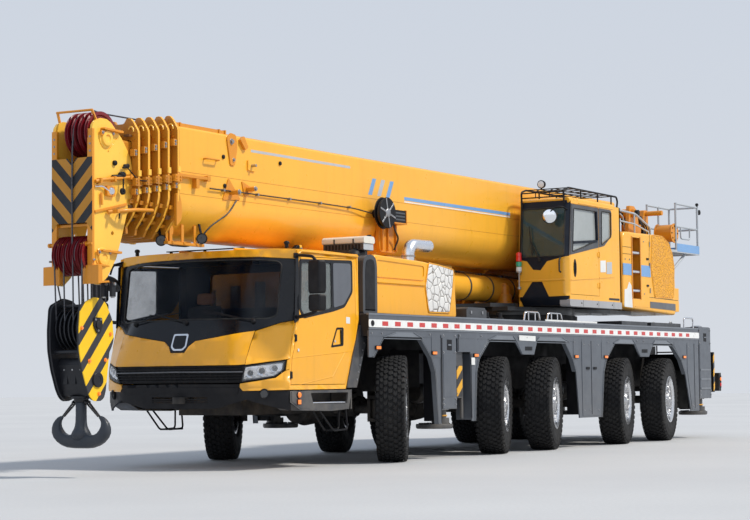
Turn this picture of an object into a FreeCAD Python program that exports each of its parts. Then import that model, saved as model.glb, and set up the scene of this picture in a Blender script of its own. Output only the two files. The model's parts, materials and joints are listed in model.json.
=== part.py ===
import FreeCAD, Part
import Sketcher
import math
import os

# Five-axle all-terrain mobile crane in its travel position.
# Frame: +X forward (direction of travel), +Y to the vehicle's left, +Z up, origin on the
# ground under the middle of the vehicle. Millimetres.
# "Stations" are distances along X measured from the hub of the first left wheel;
# the cell axle_one_x carries them into the part's frame.

V = FreeCAD.Vector
doc = FreeCAD.newDocument("mobile_crane")
sheet = doc.addObject("Spreadsheet::Sheet", "dims")

# alias, value, meaning
ROWS = [
    ("axle_one_x", 3015, "X of the first hub, where stations start"),
    ("half_width", 1500, "half of the overall carrier width"),
    ("hub_height", 685, "height of the wheel axes"),
    ("tyre_radius", 685, "outer radius of the 14.00 R25 tyre"),
    ("tyre_half", 192.5, "half of the tyre's section width"),
    ("rim_radius", 318, "bead seat radius of the rim"),
    ("kingpin_y", 1107, "kingpin distance from the centre line"),
    ("scrub", 200, "kingpin to the wheel's middle plane"),
    ("frame_half", 480, "half width of the chassis box"),
    ("frame_low", 900, "underside of the chassis box"),
    ("frame_top", 1600, "top of the chassis box"),
    ("deck_low", 1600, "underside of the deck edge"),
    ("deck_top", 1877, "walkway surface"),
    ("deck_front", 900, "station of the deck's front edge"),
    ("deck_rear", -9775, "station of the deck's rear edge"),
    ("deck_length", 10685, "length of the deck"),
    ("skirt_wall", 60, "thickness of the side skirts"),
    ("cab_half", 1367, "half width of the driving cab"),
    ("cab_wall", 55, "wall thickness of the driving cab"),
    ("cab_floor", 960, "underside of the driving cab"),
    ("cab_roof", 2620, "roof height of the driving cab"),
    ("gap", 6, "working gap round doors"),
    ("hood_half", 1350, "half width of the engine housing"),
    ("hood_wall", 30, "wall of the engine housing"),
    ("slew_x", -5600, "station of the slewing axis"),
    ("slew_radius", 1100, "outer radius of the slewing ring"),
    ("upper_low", 2140, "underside of the slewing platform"),
    ("foot_x", -8250, "station of the boom foot pin"),
    ("foot_z", 3200, "height of the boom foot pin"),
    ("boom_half", 500, "half width of the base section"),
    ("boom_top", 4045, "top of the base section"),
    ("boom_low", 2760, "underside of the base section"),
    ("boom_round", 420, "radius of the lower boom shell"),
    ("boom_step", 45, "size step from one section to the next"),
    ("boom_wall", 20, "wall of the boom sections"),
    ("collar_x", 3500, "station of the base section's collar"),
    ("collar_pitch", 125, "distance between collars"),
    ("collar_thick", 40, "thickness of a collar plate"),
    ("section_rear", -7950, "station of the first inner section's rear end"),
    ("beam_long", 2330, "length of an outrigger beam"),
    ("jack_radius", 80, "radius of a jack rod"),
    ("pad_radius", 240, "radius of a jack float"),
    ("pad_low", 400, "underside of a stowed float"),
    ("cylinder_radius", 205, "outer radius of the lift cylinder barrel"),
    ("rod_radius", 150, "radius of the lift cylinder rod"),
    ("cyl_foot_x", -6900, "station of the lift cylinder's foot pin"),
    ("cyl_foot_z", 2420, "height of the lift cylinder's foot pin"),
    ("cyl_head_x", -1950, "station of the lift cylinder's head pin"),
    ("cyl_head_z", 2480, "height of the lift cylinder's head pin"),
    ("sheave_x", 4600, "station of the lower head sheaves"),
    ("sheave_z", 2480, "height of the lower head sheaves"),
]
for i, (alias, value, meaning) in enumerate(ROWS, start=1):
    sheet.set("A%d" % i, meaning)
    sheet.set("B%d" % i, "%g" % value)
    sheet.setAlias("B%d" % i, alias)
doc.recompute()


def cell(alias):
    return float(sheet.get(alias))


# A size is a number, an alias, or (alias, offset).
def num(v):
    if isinstance(v, str):
        return cell(v)
    if isinstance(v, tuple):
        return cell(v[0]) + v[1]
    return float(v)


def expr(v):
    if isinstance(v, str):
        return "dims." + v
    if isinstance(v, tuple):
        return "dims.%s + (%g)" % v
    return None


def bind(obj, prop, v):
    if expr(v):
        obj.setExpression(prop, expr(v))
    else:
        setattr(obj, prop, float(v))


counter = [0]


def fresh(stem):
    counter[0] += 1
    return "%s_%03d" % (stem, counter[0])


def at(obj, x, y, z, rotation=None):
    """Place obj at station x; its X follows the sheet."""
    obj.Placement = FreeCAD.Placement(V(cell("axle_one_x") + num(x), num(y), num(z)),
                                      rotation or FreeCAD.Rotation())
    obj.setExpression("Placement.Base.x",
                      "dims.axle_one_x + (%s)" % (expr(x) or "%g" % float(x)))
    if expr(z):
        obj.setExpression("Placement.Base.z", expr(z))


def box(x0, x1, y0, y1, z0, z1):
    b = doc.addObject("Part::Box", fresh("box"))
    b.Length = num(x1) - num(x0)
    b.Width = num(y1) - num(y0)
    b.Height = num(z1) - num(z0)
    if expr(z0) or expr(z1):
        b.setExpression("Height", "(%s) - (%s)" % (expr(z1) or "%g" % z1, expr(z0) or "%g" % z0))
    at(b, x0, y0, z0)
    b.Placement.Base.y = num(y0)
    return b


AXIS_TURN = {"x": FreeCAD.Rotation(V(0, 1, 0), 90), "y": FreeCAD.Rotation(V(1, 0, 0), -90),
             "z": FreeCAD.Rotation()}


def cyl(axis, x, y, z, radius, length):
    """Cylinder from (x, y, z) along an axis letter."""
    c = doc.addObject("Part::Cylinder", fresh("cyl"))
    bind(c, "Radius", radius)
    bind(c, "Height", length)
    at(c, x, y, z, AXIS_TURN[axis])
    return c


def rod(p, q, radius):
    """Round bar between two points given as (station, y, z)."""
    a = V(*[num(v) for v in p])
    b = V(*[num(v) for v in q])
    c = doc.addObject("Part::Cylinder", fresh("rod"))
    bind(c, "Radius", radius)
    c.Height = (b - a).Length
    at(c, a.x, a.y, a.z, FreeCAD.Rotation(V(0, 0, 1), b - a))
    return c


def origin_plane(body, role):
    for f in body.Origin.OriginFeatures:
        if f.Role == role:
            return f


def draw(body, role, loops, offset):
    """Sketch of closed loops of straight edges; an arc is given by a mid point in a 3-tuple."""
    sk = body.newObject("Sketcher::SketchObject", fresh("sketch"))
    sk.AttachmentSupport = [(origin_plane(body, role), "")]
    sk.MapMode = "FlatFace"
    sk.AttachmentOffset = FreeCAD.Placement(V(0, 0, offset), FreeCAD.Rotation())
    for loop in loops:
        first = sk.GeometryCount
        pts = [V(num(p[0]), num(p[1]), 0) for p in loop]
        n = len(pts)
        edges = []
        for k in range(n):
            a, b = pts[k], pts[(k + 1) % n]
            if len(loop[k]) == 3:
                m = loop[k][2]
                arc = Part.Arc(a, V(m[0], m[1], 0), b)
                edges.append(arc)
            else:
                edges.append(Part.LineSegment(a, b))
        sk.addGeometry(edges, False)
        lines = [len(loop[k]) == 2 for k in range(n)]
        if all(lines):
            sk.addConstraint([Sketcher.Constraint("Coincident", first + k, 2,
                                                  first + (k + 1) % n, 1) for k in range(n)])
            for k in range(n):
                for axis, kind in ((0, "DistanceX"), (1, "DistanceY")):
                    if expr(loop[k][axis]):
                        value = num(loop[k][axis])
                        if value >= 0:
                            c = sk.addConstraint(Sketcher.Constraint(
                                kind, -1, 1, first + k, 1, value))
                            sk.setExpression("Constraints[%d]" % c, expr(loop[k][axis]))
    return sk


def prism(role, loops, lo, hi):
    """Body with a sketch on an origin plane, padded from lo to hi along +X, +Y or +Z."""
    body = doc.addObject("PartDesign::Body", fresh("body"))
    if isinstance(loops[0][0], (int, float, str)) or len(loops[0]) <= 3 and not isinstance(
            loops[0][0], (list, tuple)):
        loops = [loops]
    lo_v, hi_v = num(lo), num(hi)
    offset = -hi_v if role == "XZ_Plane" else lo_v
    sk = draw(body, role, loops, offset)
    pad = body.newObject("PartDesign::Pad", fresh("pad"))
    pad.Profile = sk
    pad.Length = hi_v - lo_v
    if isinstance(lo, (int, float)) and lo == -hi_v and isinstance(hi, str):
        pad.setExpression("Length", "2 * dims." + hi)
    sk.Visibility = False
    body.Placement = FreeCAD.Placement(V(cell("axle_one_x"), 0, 0), FreeCAD.Rotation())
    body.setExpression("Placement.Base.x", "dims.axle_one_x")
    return body


def side(loop, y0, y1):
    return prism("XZ_Plane", [loop], y0, y1)


def plan(loop, z0, z1):
    return prism("XY_Plane", [loop], z0, z1)


def front(loop, x0, x1):
    return prism("YZ_Plane", [loop], x0, x1)


def fuse(*parts):
    parts = [p for p in parts]
    if len(parts) == 1:
        return parts[0]
    f = doc.addObject("Part::MultiFuse", fresh("fuse"))
    f.Shapes = parts
    return f


def cut(base, *tools):
    for tool in tools:
        c = doc.addObject("Part::Cut", fresh("cut"))
        c.Base = base
        c.Tool = tool
        base = c
    return base


def common(a, b):
    c = doc.addObject("Part::MultiCommon", fresh("common"))
    c.Shapes = [a, b]
    return c


def mirror(obj):
    """The same piece on the other side of the centre line."""
    m = doc.addObject("Part::Mirroring", fresh("mirror"))
    m.Source = obj
    m.Normal = V(0, 1, 0)
    m.Base = V(0, 0, 0)
    return m


def loft(sections):
    """Ruled solid through closed sketches: each section is (height, points in plan)."""
    shapes = []
    for z, pts in sections:
        sk = doc.addObject("Sketcher::SketchObject", fresh("level"))
        sk.Placement = FreeCAD.Placement(V(cell("axle_one_x"), 0, num(z)), FreeCAD.Rotation())
        sk.setExpression("Placement.Base.x", "dims.axle_one_x")
        if expr(z):
            sk.setExpression("Placement.Base.z", expr(z))
        n = len(pts)
        sk.addGeometry([Part.LineSegment(V(pts[k][0], pts[k][1], 0),
                                         V(pts[(k + 1) % n][0], pts[(k + 1) % n][1], 0))
                        for k in range(n)], False)
        sk.addConstraint([Sketcher.Constraint("Coincident", k, 2, (k + 1) % n, 1)
                          for k in range(n)])
        shapes.append(sk)
    f = doc.addObject("Part::Loft", fresh("loft"))
    f.Sections = shapes
    f.Solid = True
    f.Ruled = True
    return f


NODES = {}


def node(name, obj):
    obj.Label = name
    NODES[name] = obj
    return obj


HW = cell("half_width")

# ---------------------------------------------------------------- carrier frame
chassis = side([(2200, 640), (2200, 890), (850, 890), (660, "frame_top"), (-10280, "frame_top"),
                (-10280, "frame_low"), (560, "frame_low"), (720, 640)],
               -cell("frame_half"), "frame_half")
deck = box("deck_rear", "deck_front", -HW, HW, "deck_low", "deck_top")
# outrigger housings: station_rear, station_front
HOUSINGS = [(-1325, -905), (-10315, -9805)]
housings = [box(r, f, -1150, 1150, 950, 1450) for r, f in HOUSINGS]
# rear lamp bar and its arms
lamp_bar = plan([(-10930, -1340), (-10930, 1340), (-10860, 1470), (-10760, 1470),
                 (-10760, -1470), (-10860, -1470)], 800, 1120)
arms = [box(-10800, -10250, s * 700 - 60, s * 700 + 60, 900, 1060) for s in (-1, 1)]
tow_head = box(-10700, -10250, -170, 170, 860, 1140)
ring_base = cyl("z", "slew_x", 0, ("deck_top", -10), "slew_radius", 150)
# outrigger beams run side by side: corner, travel side, station_rear, station_front
BEAMS = [("front_left", 1, -1105, -925), ("front_right", -1, -1305, -1125),
         ("rear_left", 1, -10045, -9825), ("rear_right", -1, -10295, -10075)]
channels = [box(r - 10, f + 10, -1500, 1500, 990, 1410) for name, s, r, f in BEAMS]
notches = [box(-1330, -895, s * 1350 - 200, s * 1350 + 200, 600, 1700) for s in (-1, 1)]
engine_well = box(-1190, 290, -450, 450, 1480, 1900)
hitch_pin_hole = cyl("z", -10600, 0, 800, 26, 400)
node("carrier_frame", cut(fuse(chassis, deck, *housings, lamp_bar, *arms, tow_head, ring_base),
                          *channels, *notches, engine_well, hitch_pin_hole))

# engine: one plain block under the housing
node("engine_block", box(-1150, 250, -430, 430, 1500, 2480))

# ---------------------------------------------------------------- side skirts
LOW_EDGE_FRONT = [(566, 1585), (-375, 1585), (-640, 1340), (-740, 1150), (-815, 464), (-890, 464)]
skirt_front = [(905, "deck_low"), (905, 1340), (808, 1340)] + LOW_EDGE_FRONT + [(-890, "deck_low")]
skirt_rear = [(-1340, "deck_low"), (-1340, 1420), (-1690, 1420), (-1711, 483), (-1800, 483),
              (-1850, 1150), (-1930, 1340), (-2227, 1585), (-2999, 1585), (-3207, 1396),
              (-3582, 1396), (-3683, 1585), (-4598, 1585), (-4850, 1340), (-4960, 1150),
              (-5060, 450), (-5840, 450), (-5930, 1150), (-6030, 1340), (-6329, 1585),
              (-7089, 1585), (-7314, 1385), (-7671, 1385), (-7842, 1585), (-8627, 1585),
              (-9000, 1340), (-9180, 1100), (-9400, 471), (-9765, 471), (-9765, "deck_low")]
panels = []
for s in (1, -1):
    y0, y1 = (HW - cell("skirt_wall"), HW) if s > 0 else (-HW, -HW + cell("skirt_wall"))
    panels += [side(skirt_front, y0, y1), side(skirt_rear, y0, y1)]
# inner returns that carry the deep skirt boxes on the deck
returns = []
for s in (1, -1):
    for r, f, low in ((-5790, -5110, 480), (-9755, -9440, 500), (-885, -830, 480)):
        y0, y1 = sorted((s * (HW - 240), s * (HW - 59)))
        returns.append(box(r, f, y0, y1, low, "deck_low"))
node("side_skirts", fuse(*(panels + returns)))

# ---------------------------------------------------------------- driving cab
# level, rear_x, corner_x, front_x, front_y, centre_x  (side walls stand at cab_half)
CAB_LEVELS = [
    (960, 1235, 2500, 2800, 930, 2815),
    (1240, 1110, 2480, 2870, 940, 2890),
    (1533, 1010, 2390, 2760, 880, 2790),
    (1800, 925, 2300, 2640, 800, 2680),
    (2620, 925, 2230, 2400, 760, 2420),
]


def cab_level(row, inset, z=None):
    level, rear, corner, fx, fy, cx = row
    half = cell("cab_half") - inset
    k = inset
    return (z if z is not None else level,
            [(rear + k, half), (corner - k * 0.7, half), (fx - k * 1.2, fy - k * 0.3),
             (cx - k * 1.1, 0), (fx - k * 1.2, -(fy - k * 0.3)), (corner - k * 0.7, -half),
             (rear + k, -half)])


wall = cell("cab_wall")
cab_outer = loft([cab_level(r, 0) for r in CAB_LEVELS])
cab_inner = loft([cab_level(r, wall, z) for r, z in zip(
    CAB_LEVELS, (1015, 1240, 1533, 1800, 2570))])
cab_hull = cut(cab_outer, cab_inner)
# windscreen opening right across the front
screen_opening = box(2120, 3100, -1260, 1260, 1730, 2530)
DOOR = [(2215, 1000), (1262, 1000), (1110, 1330), (985, 1620), (985, 2500), (2100, 2500),
        (2215, 1800)]
DOOR_GAP = [(2221, 994), (1256, 994), (1104, 1328), (979, 1618), (979, 2506), (2104, 2506),
            (2221, 1801)]
WINDOW = [(2085, 1790), (1420, 1700), (1200, 1760), (1190, 2410), (2030, 2430)]
door_zone = {s: side(DOOR, *sorted((s * 1290, s * 1400))) for s in (1, -1)}
door_hole = {s: side(DOOR_GAP, *sorted((s * 1280, s * 1400))) for s in (1, -1)}
rear_window = box(700, 1100, -900, 900, 2000, 2450)
node("cab_shell", cut(cab_hull, screen_opening, door_hole[1], door_hole[-1], rear_window))
for s, name in ((1, "left_cab_door"), (-1, "right_cab_door")):
    hull_again = cut(loft([cab_level(r, 0) for r in CAB_LEVELS]),
                     loft([cab_level(r, wall, z) for r, z in zip(
                         CAB_LEVELS, (1015, 1240, 1533, 1800, 2570))]))
    leaf = common(hull_again, door_zone[s])
    window = side(WINDOW, *sorted((s * 1280, s * 1400)))
    pane = side(WINDOW, *sorted((s * 1335, s * 1345)))
    # hinge barrels stand 3 mm outside the wall, on two strap leaves
    hinge = []
    for z in (1140, 1640):
        y0, y1 = sorted((s * 1370, s * 1386))
        hinge += [box(2140, 2213, y0, y1, z - 32, z + 32), cyl("z", 2218, s * 1389, z - 45, 9, 90)]
    node(name, fuse(cut(leaf, window), pane, *hinge))
# windscreen and rear pane follow the hull, 8 mm thick
glass_a = loft([cab_level(r, 20) for r in CAB_LEVELS])
glass_b = loft([cab_level(r, 30) for r in CAB_LEVELS])
pane_zone = box(2130, 3100, -1259, 1259, 1731, 2529)
rear_zone = box(700, 1099, -899, 899, 2001, 2449)
node("cab_glass", fuse(common(cut(glass_a, glass_b), pane_zone),
                       box(950, 960, -899, 899, 2001, 2449)))
# seats, dash and wheel as one trim set on the floor
interior = []
for s in (1, -1):
    interior += [box(1330, 1850, s * 720 - 260, s * 720 + 260, 1330, 1480),
                 side([(1330, 1440), (1460, 1440), (1370, 2180), (1240, 2180)],
                      s * 720 - 240, s * 720 + 240),
                 box(1400, 1780, s * 720 - 180, s * 720 + 180, 1015, 1340)]
interior += [side([(2180, 1015), (2480, 1015), (2480, 1500), (2330, 1640), (2150, 1560)], -1110, 1110),
             box(1340, 2200, -300, 300, 1015, 1330),
             rod((2170, 720, 1560), (2010, 720, 1680), 30),
             rod((2010, 720, 1680), (1990, 720, 1695), 225)]
node("cab_interior", fuse(*interior))

# ---------------------------------------------------------------- bumper and steps
bumper_out = plan([(1960, 1366), (2480, 1366), (2790, 930), (2810, 0), (2790, -930),
                   (2480, -1366), (1960, -1366)], 720, 950)
bumper_in = plan([(1900, 1310), (2440, 1310), (2720, 890), (2740, 0), (2720, -890),
                  (2440, -1310), (1900, -1310)], 700, 900)
step_boxes = []
for s in (1, -1):
    step_boxes.append(side([(1965, 948), (1965, 740), (1230, 740), (1130, 948)],
                           *sorted((s * 1090, s * 1366))))
    step_boxes.append(box(1520, 1560, *sorted((s * 1250, s * 1275)), 470, 745))
    step_boxes.append(box(1790, 1830, *sorted((s * 1250, s * 1275)), 470, 745))
    step_boxes.append(box(1500, 1850, *sorted((s * 1200, s * 1360)), 430, 475))
tow_eye = box(2700, 2895, -90, 90, 790, 880)
tow_hole = cyl("z", 2850, 0, 750, 22, 200)
node("front_bumper", cut(fuse(cut(bumper_out, bumper_in), tow_eye, *step_boxes), tow_hole))

# ---------------------------------------------------------------- engine housing
HOOD = [(520, 1878), (520, 2650), (-730, 2612), (-1560, 2540), (-1600, 1878)]
HOOD_IN = [(490, 1700), (490, 2619), (-731, 2581), (-1532, 2512), (-1569, 1700)]
hood_h, hood_w = cell("hood_half"), cell("hood_wall")
hood = cut(side(HOOD, -hood_h, "hood_half"), side(HOOD_IN, -(hood_h - hood_w), hood_h - hood_w))
roof_box = side([(420, 2715), (380, 2760), (380, 2848), (530, 2885), (1150, 2880), (1186, 2850), (1160, 2715)],
                720, 1280)
roof_feet = [box(430, 500, 800, 1200, 2600, 2720), box(620, 740, 1070, 1190, 2500, 2720)]
intake = fuse(cyl("z", 680, 1130, 1878, 120, 660), box(560, 800, 1010, 1250, 1878, 2300),
              rod((680, 1130, 2538), (500, 1130, 2560), 90))
exhaust = fuse(cyl("z", -905, 1000, 2560, 90, 220), rod((-905, 1000, 2780), (-985, 1000, 2862), 88),
               rod((-985, 1000, 2862), (-1440, 1000, 2872), 80))
node("engine_housing", fuse(hood, roof_box, *roof_feet, intake, exhaust))

# ---------------------------------------------------------------- axles, knuckles, wheels
# number, kingpin_x, steer_deg at rest (all wheels stand turned left)
AXLES = [(1, 97, 29.0), (2, -2660, 21.5), (3, -4220, 18.0), (4, -6770, 15.0), (5, -8460, 12.0)]
kp = cell("kingpin_y")
hub = cell("hub_height")
axle_parts = []
for number, kx, steer in AXLES:
    axle_parts.append(cyl("y", kx, -1045, "hub_height", 65, 2090))
    axle_parts.append(cyl("y", kx, -800, "hub_height", 100, 1600))
    axle_parts.append(cyl("x", kx - 230, 0, "hub_height", 185, 460))
    for s in (1, -1):
        y0, y1 = sorted((s * (kp - 110), s * (kp - 68)))
        axle_parts.append(box(kx - 62, kx + 62, y0, y1, hub - 168, hub + 168))
        for lo in (hub - 168, hub + 126):
            y0, y1 = sorted((s * (kp - 90), s * kp))
            axle_parts.append(box(kx - 62, kx + 62, y0, y1, lo, lo + 42))
            axle_parts.append(cyl("z", kx, s * kp, lo, 62, 42))
        axle_parts.append(cyl("z", kx, s * kp, hub - 150, 28, 300))
        axle_parts.append(cyl("z", kx + 150, s * 620, hub, 58, 560))
        axle_parts.append(box(kx, kx + 190, *sorted((s * 560, s * 680)), hub - 60, hub + 60))
        axle_parts.append(box(kx + 90, kx + 210, *sorted((s * 480, s * 690)), 1180, 1280))
axles = fuse(*axle_parts)
node("axle_beams", axles)

for number, kx, steer in AXLES:
    for s, hand in ((1, "left"), (-1, "right")):
        turn = FreeCAD.Rotation(V(0, 0, 1), steer if s > 0 else steer + 180)
        # knuckle: boss round the kingpin, neck and brake drum, drawn about the kingpin
        parts = []
        for kind in ("boss", "neck", "drum"):
            if kind == "neck":
                b = doc.addObject("Part::Box", fresh("neck"))
                b.Length, b.Width, b.Height = 100, 130, 230
                local = FreeCAD.Placement(V(-50, 0, -115), FreeCAD.Rotation())
            elif kind == "boss":
                b = doc.addObject("Part::Cylinder", fresh("boss"))
                b.Radius, b.Height = 60, 236
                local = FreeCAD.Placement(V(0, 0, -118), FreeCAD.Rotation())
            else:
                b = doc.addObject("Part::Cylinder", fresh("drum"))
                b.Radius, b.Height = 230, 150
                local = FreeCAD.Placement(V(0, 78, 0), AXIS_TURN["y"])
            b.Placement = FreeCAD.Placement(V(cell("axle_one_x") + kx, s * kp, hub), turn).multiply(local)
            parts.append(b)
        bore = doc.addObject("Part::Cylinder", fresh("bore"))
        bore.Radius, bore.Height = 28.6, 400
        bore.Placement = FreeCAD.Placement(V(cell("axle_one_x") + kx, s * kp, hub), turn).multiply(
            FreeCAD.Placement(V(0, 0, -200), FreeCAD.Rotation()))
        node("knuckle_%d_%s" % (number, hand), cut(fuse(*parts), bore))

        # wheel: tyre and rim turned in one profile, (axial, radius), outboard positive
        body = doc.addObject("PartDesign::Body", fresh("wheel_body"))
        w, r, rim = cell("tyre_half"), cell("tyre_radius"), cell("rim_radius")
        profile = [(-165, rim - 28), (-165, rim + 12), (-w, 430), (-w, 590), (-w + 14, r - 24),
                   (-w + 40, r), (w - 40, r), (w - 14, r - 24), (w, 590), (w, 430),
                   (165, rim + 12), (165, rim - 28), (95, rim - 45), (95, 150), (175, 130),
                   (175, 0), (45, 0), (45, rim - 45)]
        sk = draw(body, "YZ_Plane", [profile], 0)
        rev = body.newObject("PartDesign::Revolution", fresh("turned"))
        rev.Profile = sk
        rev.ReferenceAxis = (sk, ["H_Axis"])
        rev.Angle = 360
        sk.Visibility = False
        centre = V(cell("axle_one_x") + kx, s * kp, hub) + turn.multVec(V(0, cell("scrub"), 0))
        body.Placement = FreeCAD.Placement(centre, turn)
        node("wheel_%d_%s" % (number, hand), body)

# ---------------------------------------------------------------- outriggers
# jack column boxes at the beam ends: corner, side, box_rear, box_front, box_top, box_low
JACK_BOX = {"front_left": (-1302, -925, 1680, 657), "front_right": (-1302, -925, 1680, 657),
            "rear_left": (-10325, -9800, 1904, 680), "rear_right": (-10325, -9800, 1904, 680)}
for name, s, rear, fr in BEAMS:
    b_rear, b_front, b_top, b_low = JACK_BOX[name]
    jx = 0.5 * (b_rear + b_front)
    tube = box(rear, fr, *sorted((s * (1205 - cell("beam_long")), s * 1205)), 1000, 1400)
    tube_in = box(rear + 16, fr - 16, *sorted((s * (1190 - cell("beam_long")), s * 1160)), 1016, 1384)
    column = box(b_rear, b_front, *sorted((s * 1200, s * 1498)), b_low, b_top)
    bore = cyl("z", jx, s * 1349, b_low - 50, ("jack_radius", 12), b_top - b_low - 60)
    node("outrigger_beam_" + name, cut(fuse(cut(tube, tube_in), column), bore))
    stem = cyl("z", jx, s * 1349, ("pad_low", 60), "jack_radius", 1000)
    foot = cyl("z", jx, s * 1255, "pad_low", "pad_radius", 55)
    knob = cyl("z", jx, s * 1349, ("pad_low", 40), 120, 100)
    node("outrigger_jack_" + name, fuse(stem, foot, knob))

# ---------------------------------------------------------------- slewing platform
up = cell("upper_low")
platform = plan([(-4250, 430), (-4250, -430), (-4700, -615), (-9050, -615), (-9050, 615),
                 (-4700, 615)], up, up + 60)
turntable_ring = cyl("z", "slew_x", 0, 2024, ("slew_radius", -30), 116)
black_plate = plan([(-4300, 700), (-6900, 1180), (-7700, 1180), (-7700, 600), (-4300, 430)], 2080, up)
CHEEK = [(-5150, up + 30), (-5500, 2620), (-7700, 3420), (-8060, 3460), (-8450, 3460),
         (-8700, 3200), (-9000, 2500), (-9050, up + 30)]
cheeks = []
for s in (1, -1):
    cheeks.append(side(CHEEK, *sorted((s * 560, s * 615))))
foot_bore = cyl("y", "foot_x", -700, "foot_z", 111, 1400)
lugs = []
for s in (1, -1):
    lugs.append(side([(-7150, up + 30), (-6650, up + 30), (-6720, 2480), (-6900, 2590),
                      (-7080, 2480)], *sorted((s * 235, s * 300))))
lug_bore = cyl("y", "cyl_foot_x", -400, "cyl_foot_z", 81, 800)
tail_beam = box(-9050, -8920, -560, 560, up + 30, 2560)
node("turntable_frame", cut(fuse(platform, turntable_ring, black_plate, *cheeks, *lugs, tail_beam),
                            foot_bore, lug_bore))

# rear housings, hollow boxes of 40 mm wall standing beside the cheeks
HOUSE = [(-6930, up), (-6930, 3400), (-8450, 3420), (-8660, 3360), (-8880, 3200), (-9060, 2700), (-9060, up)]
HOUSE_IN = [(-6970, up - 20), (-6970, 3360), (-8440, 3380), (-8640, 3322), (-8845, 3180), (-9020, 2690), (-9020, up - 20)]
RIGHT = [(-4950, up), (-4950, 2900), (-5200, 3250), (-8450, 3420), (-8660, 3360), (-8880, 3200), (-9060, 2700), (-9060, up)]
RIGHT_IN = [(-4990, up - 20), (-4990, 2888), (-5222, 3212), (-8440, 3380), (-8640, 3322), (-8845, 3180), (-9020, 2690), (-9020, up - 20)]
left_house = cut(side(HOUSE, 625, 1400), side(HOUSE_IN, 665, 1360),
                 box(-7630, -7310, 1340, 1420, 2330, 3330))
ladder = [box(-7650, -7290, 1180, 1375, z, z + 40) for z in (2480, 2800, 3110)]
recess = cut(box(-7670, -7270, 1140, 1362, 2290, 3352), box(-7630, -7310, 1180, 1420, 2330, 3330))
right_house = cut(side(RIGHT, -1400, -625), side(RIGHT_IN, -1360, -665))
node("superstructure_housing", fuse(left_house, recess, *ladder, right_house,
                                    *[box(x, x + 120, s * 620 - 5, s * 620 + 5, 2300, 2480)
                                      for s in (1, -1) for x in (-7400, -8700)]))

# winches behind the boom foot and counterweight carrier
drums = [cyl("y", -8650, -505, 2460, 165, 1010), cyl("y", -8650, -490, 2460, 230, 40),
         cyl("y", -8650, 450, 2460, 230, 40), box(-8830, -8470, -560, -500, up + 60, 2640),
         box(-8830, -8470, 500, 560, up + 60, 2640)]
node("winch_drums", fuse(*drums))
weight = plan([(-9060, 1380), (-9250, 1380), (-9300, 1250), (-9300, -1250), (-9250, -1380), (-9060, -1380)],
              2160, 2560)
node("counterweight_base", weight)
bars = []
PX0, PX1, PY0, PY1 = -10330, -9330, 760, 1320
for x, y in ((PX0, PY0), (PX0, PY1), (PX1, PY0), (PX1, PY1), (0.5 * (PX0 + PX1), PY1), (0.5 * (PX0 + PX1), PY0)):
    bars.append(cyl("z", x, y, 3190, 20, 850))
for z in (3640, 4030):
    bars += [rod((PX0, PY0, z), (PX0, PY1, z), 20), rod((PX0, PY0, z), (PX1, PY0, z), 20),
             rod((PX0, PY1, z), (PX1, PY1, z), 20)]
bars.append(box(PX0 - 20, -8990, PY0 - 20, PY1 + 20, 3190, 3230))
bars.append(cut(box(PX0 - 22, PX1, PY0 - 22, PY1 + 22, 3200, 3340), box(PX0 - 10, PX1 + 50, PY0 - 10, PY1 + 10, 3190, 3400)))
bars.append(side([(-9056, 3200), (-8990, 3200), (-9056, 2720), (-9120, 2720)], 760, 840))
bars.append(side([(-9056, 3200), (-8990, 3200), (-9056, 2720), (-9120, 2720)], 1200, 1280))
bars.append(rod((-9080, 800, 2760), (-9900, 800, 3195), 25))
bars.append(rod((-9080, 1240, 2760), (-9900, 1240, 3195), 25))
node("access_platform", fuse(*bars))

# ---------------------------------------------------------------- crane cab
# side walls: inner one clears the boom cheek, outer one is flush with the carrier
CAB_IN, CAB_OUT, CAB_WALL = 630, 1492, 43
CC = [(-4755, 2260), (-4755, 2880), (-4845, 3760), (-6655, 3750), (-6655, 2150), (-4855, 2150)]
CC_IN = [(-4805, 2290), (-4805, 2876), (-4890, 3712), (-6610, 3702), (-6610, 2200), (-4885, 2200)]
cc_hull = cut(side(CC, CAB_IN, CAB_OUT), side(CC_IN, CAB_IN + CAB_WALL, CAB_OUT - CAB_WALL))
CDOOR = [(-4845, 2320), (-4840, 2860), (-4915, 3690), (-5845, 3690), (-5845, 2320)]
CDOOR_GAP = [(-4839, 2314), (-4834, 2860), (-4909, 3696), (-5851, 3696), (-5851, 2314)]
CWIN = [(-4915, 2960), (-4980, 3630), (-5755, 3630), (-5785, 3170)]
RWIN = [(-5945, 3120), (-5965, 3650), (-6305, 3650), (-6295, 3262)]
front_pane = box(-4955, -4555, CAB_IN + 65, CAB_OUT - 65, 2500, 3640)
right_pane = box(-6455, -5005, CAB_IN - 60, CAB_IN + 55, 2950, 3600)
rear_win = side(RWIN, CAB_OUT - 60, CAB_OUT + 20)
node("crane_cab_shell", cut(cc_hull, side(CDOOR_GAP, CAB_OUT - 60, CAB_OUT), front_pane, right_pane, rear_win))
door_leaf = cut(common(cut(side(CC, CAB_IN, CAB_OUT), side(CC_IN, CAB_IN + CAB_WALL, CAB_OUT - CAB_WALL)),
                       side(CDOOR, CAB_OUT - 60, CAB_OUT + 10)),
                side(CWIN, CAB_OUT - 60, CAB_OUT + 20))
door_hinges = []
for z in (2480, 2980, 3560):
    door_hinges += [box(-5843, -5790, CAB_OUT - 8, CAB_OUT + 7, z - 32, z + 32),
                    cyl("z", -5848, CAB_OUT + 12, z - 45, 9, 90)]
node("crane_cab_door", fuse(door_leaf, side(CWIN, CAB_OUT - 26, CAB_OUT - 18), *door_hinges))
CG_A = [(-4775, 2260), (-4775, 2880), (-4865, 3760), (-6655, 3750), (-6655, 2150), (-4855, 2150)]
CG_B = [(-4785, 2260), (-4785, 2880), (-4875, 3760), (-6655, 3750), (-6655, 2150), (-4855, 2150)]
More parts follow.
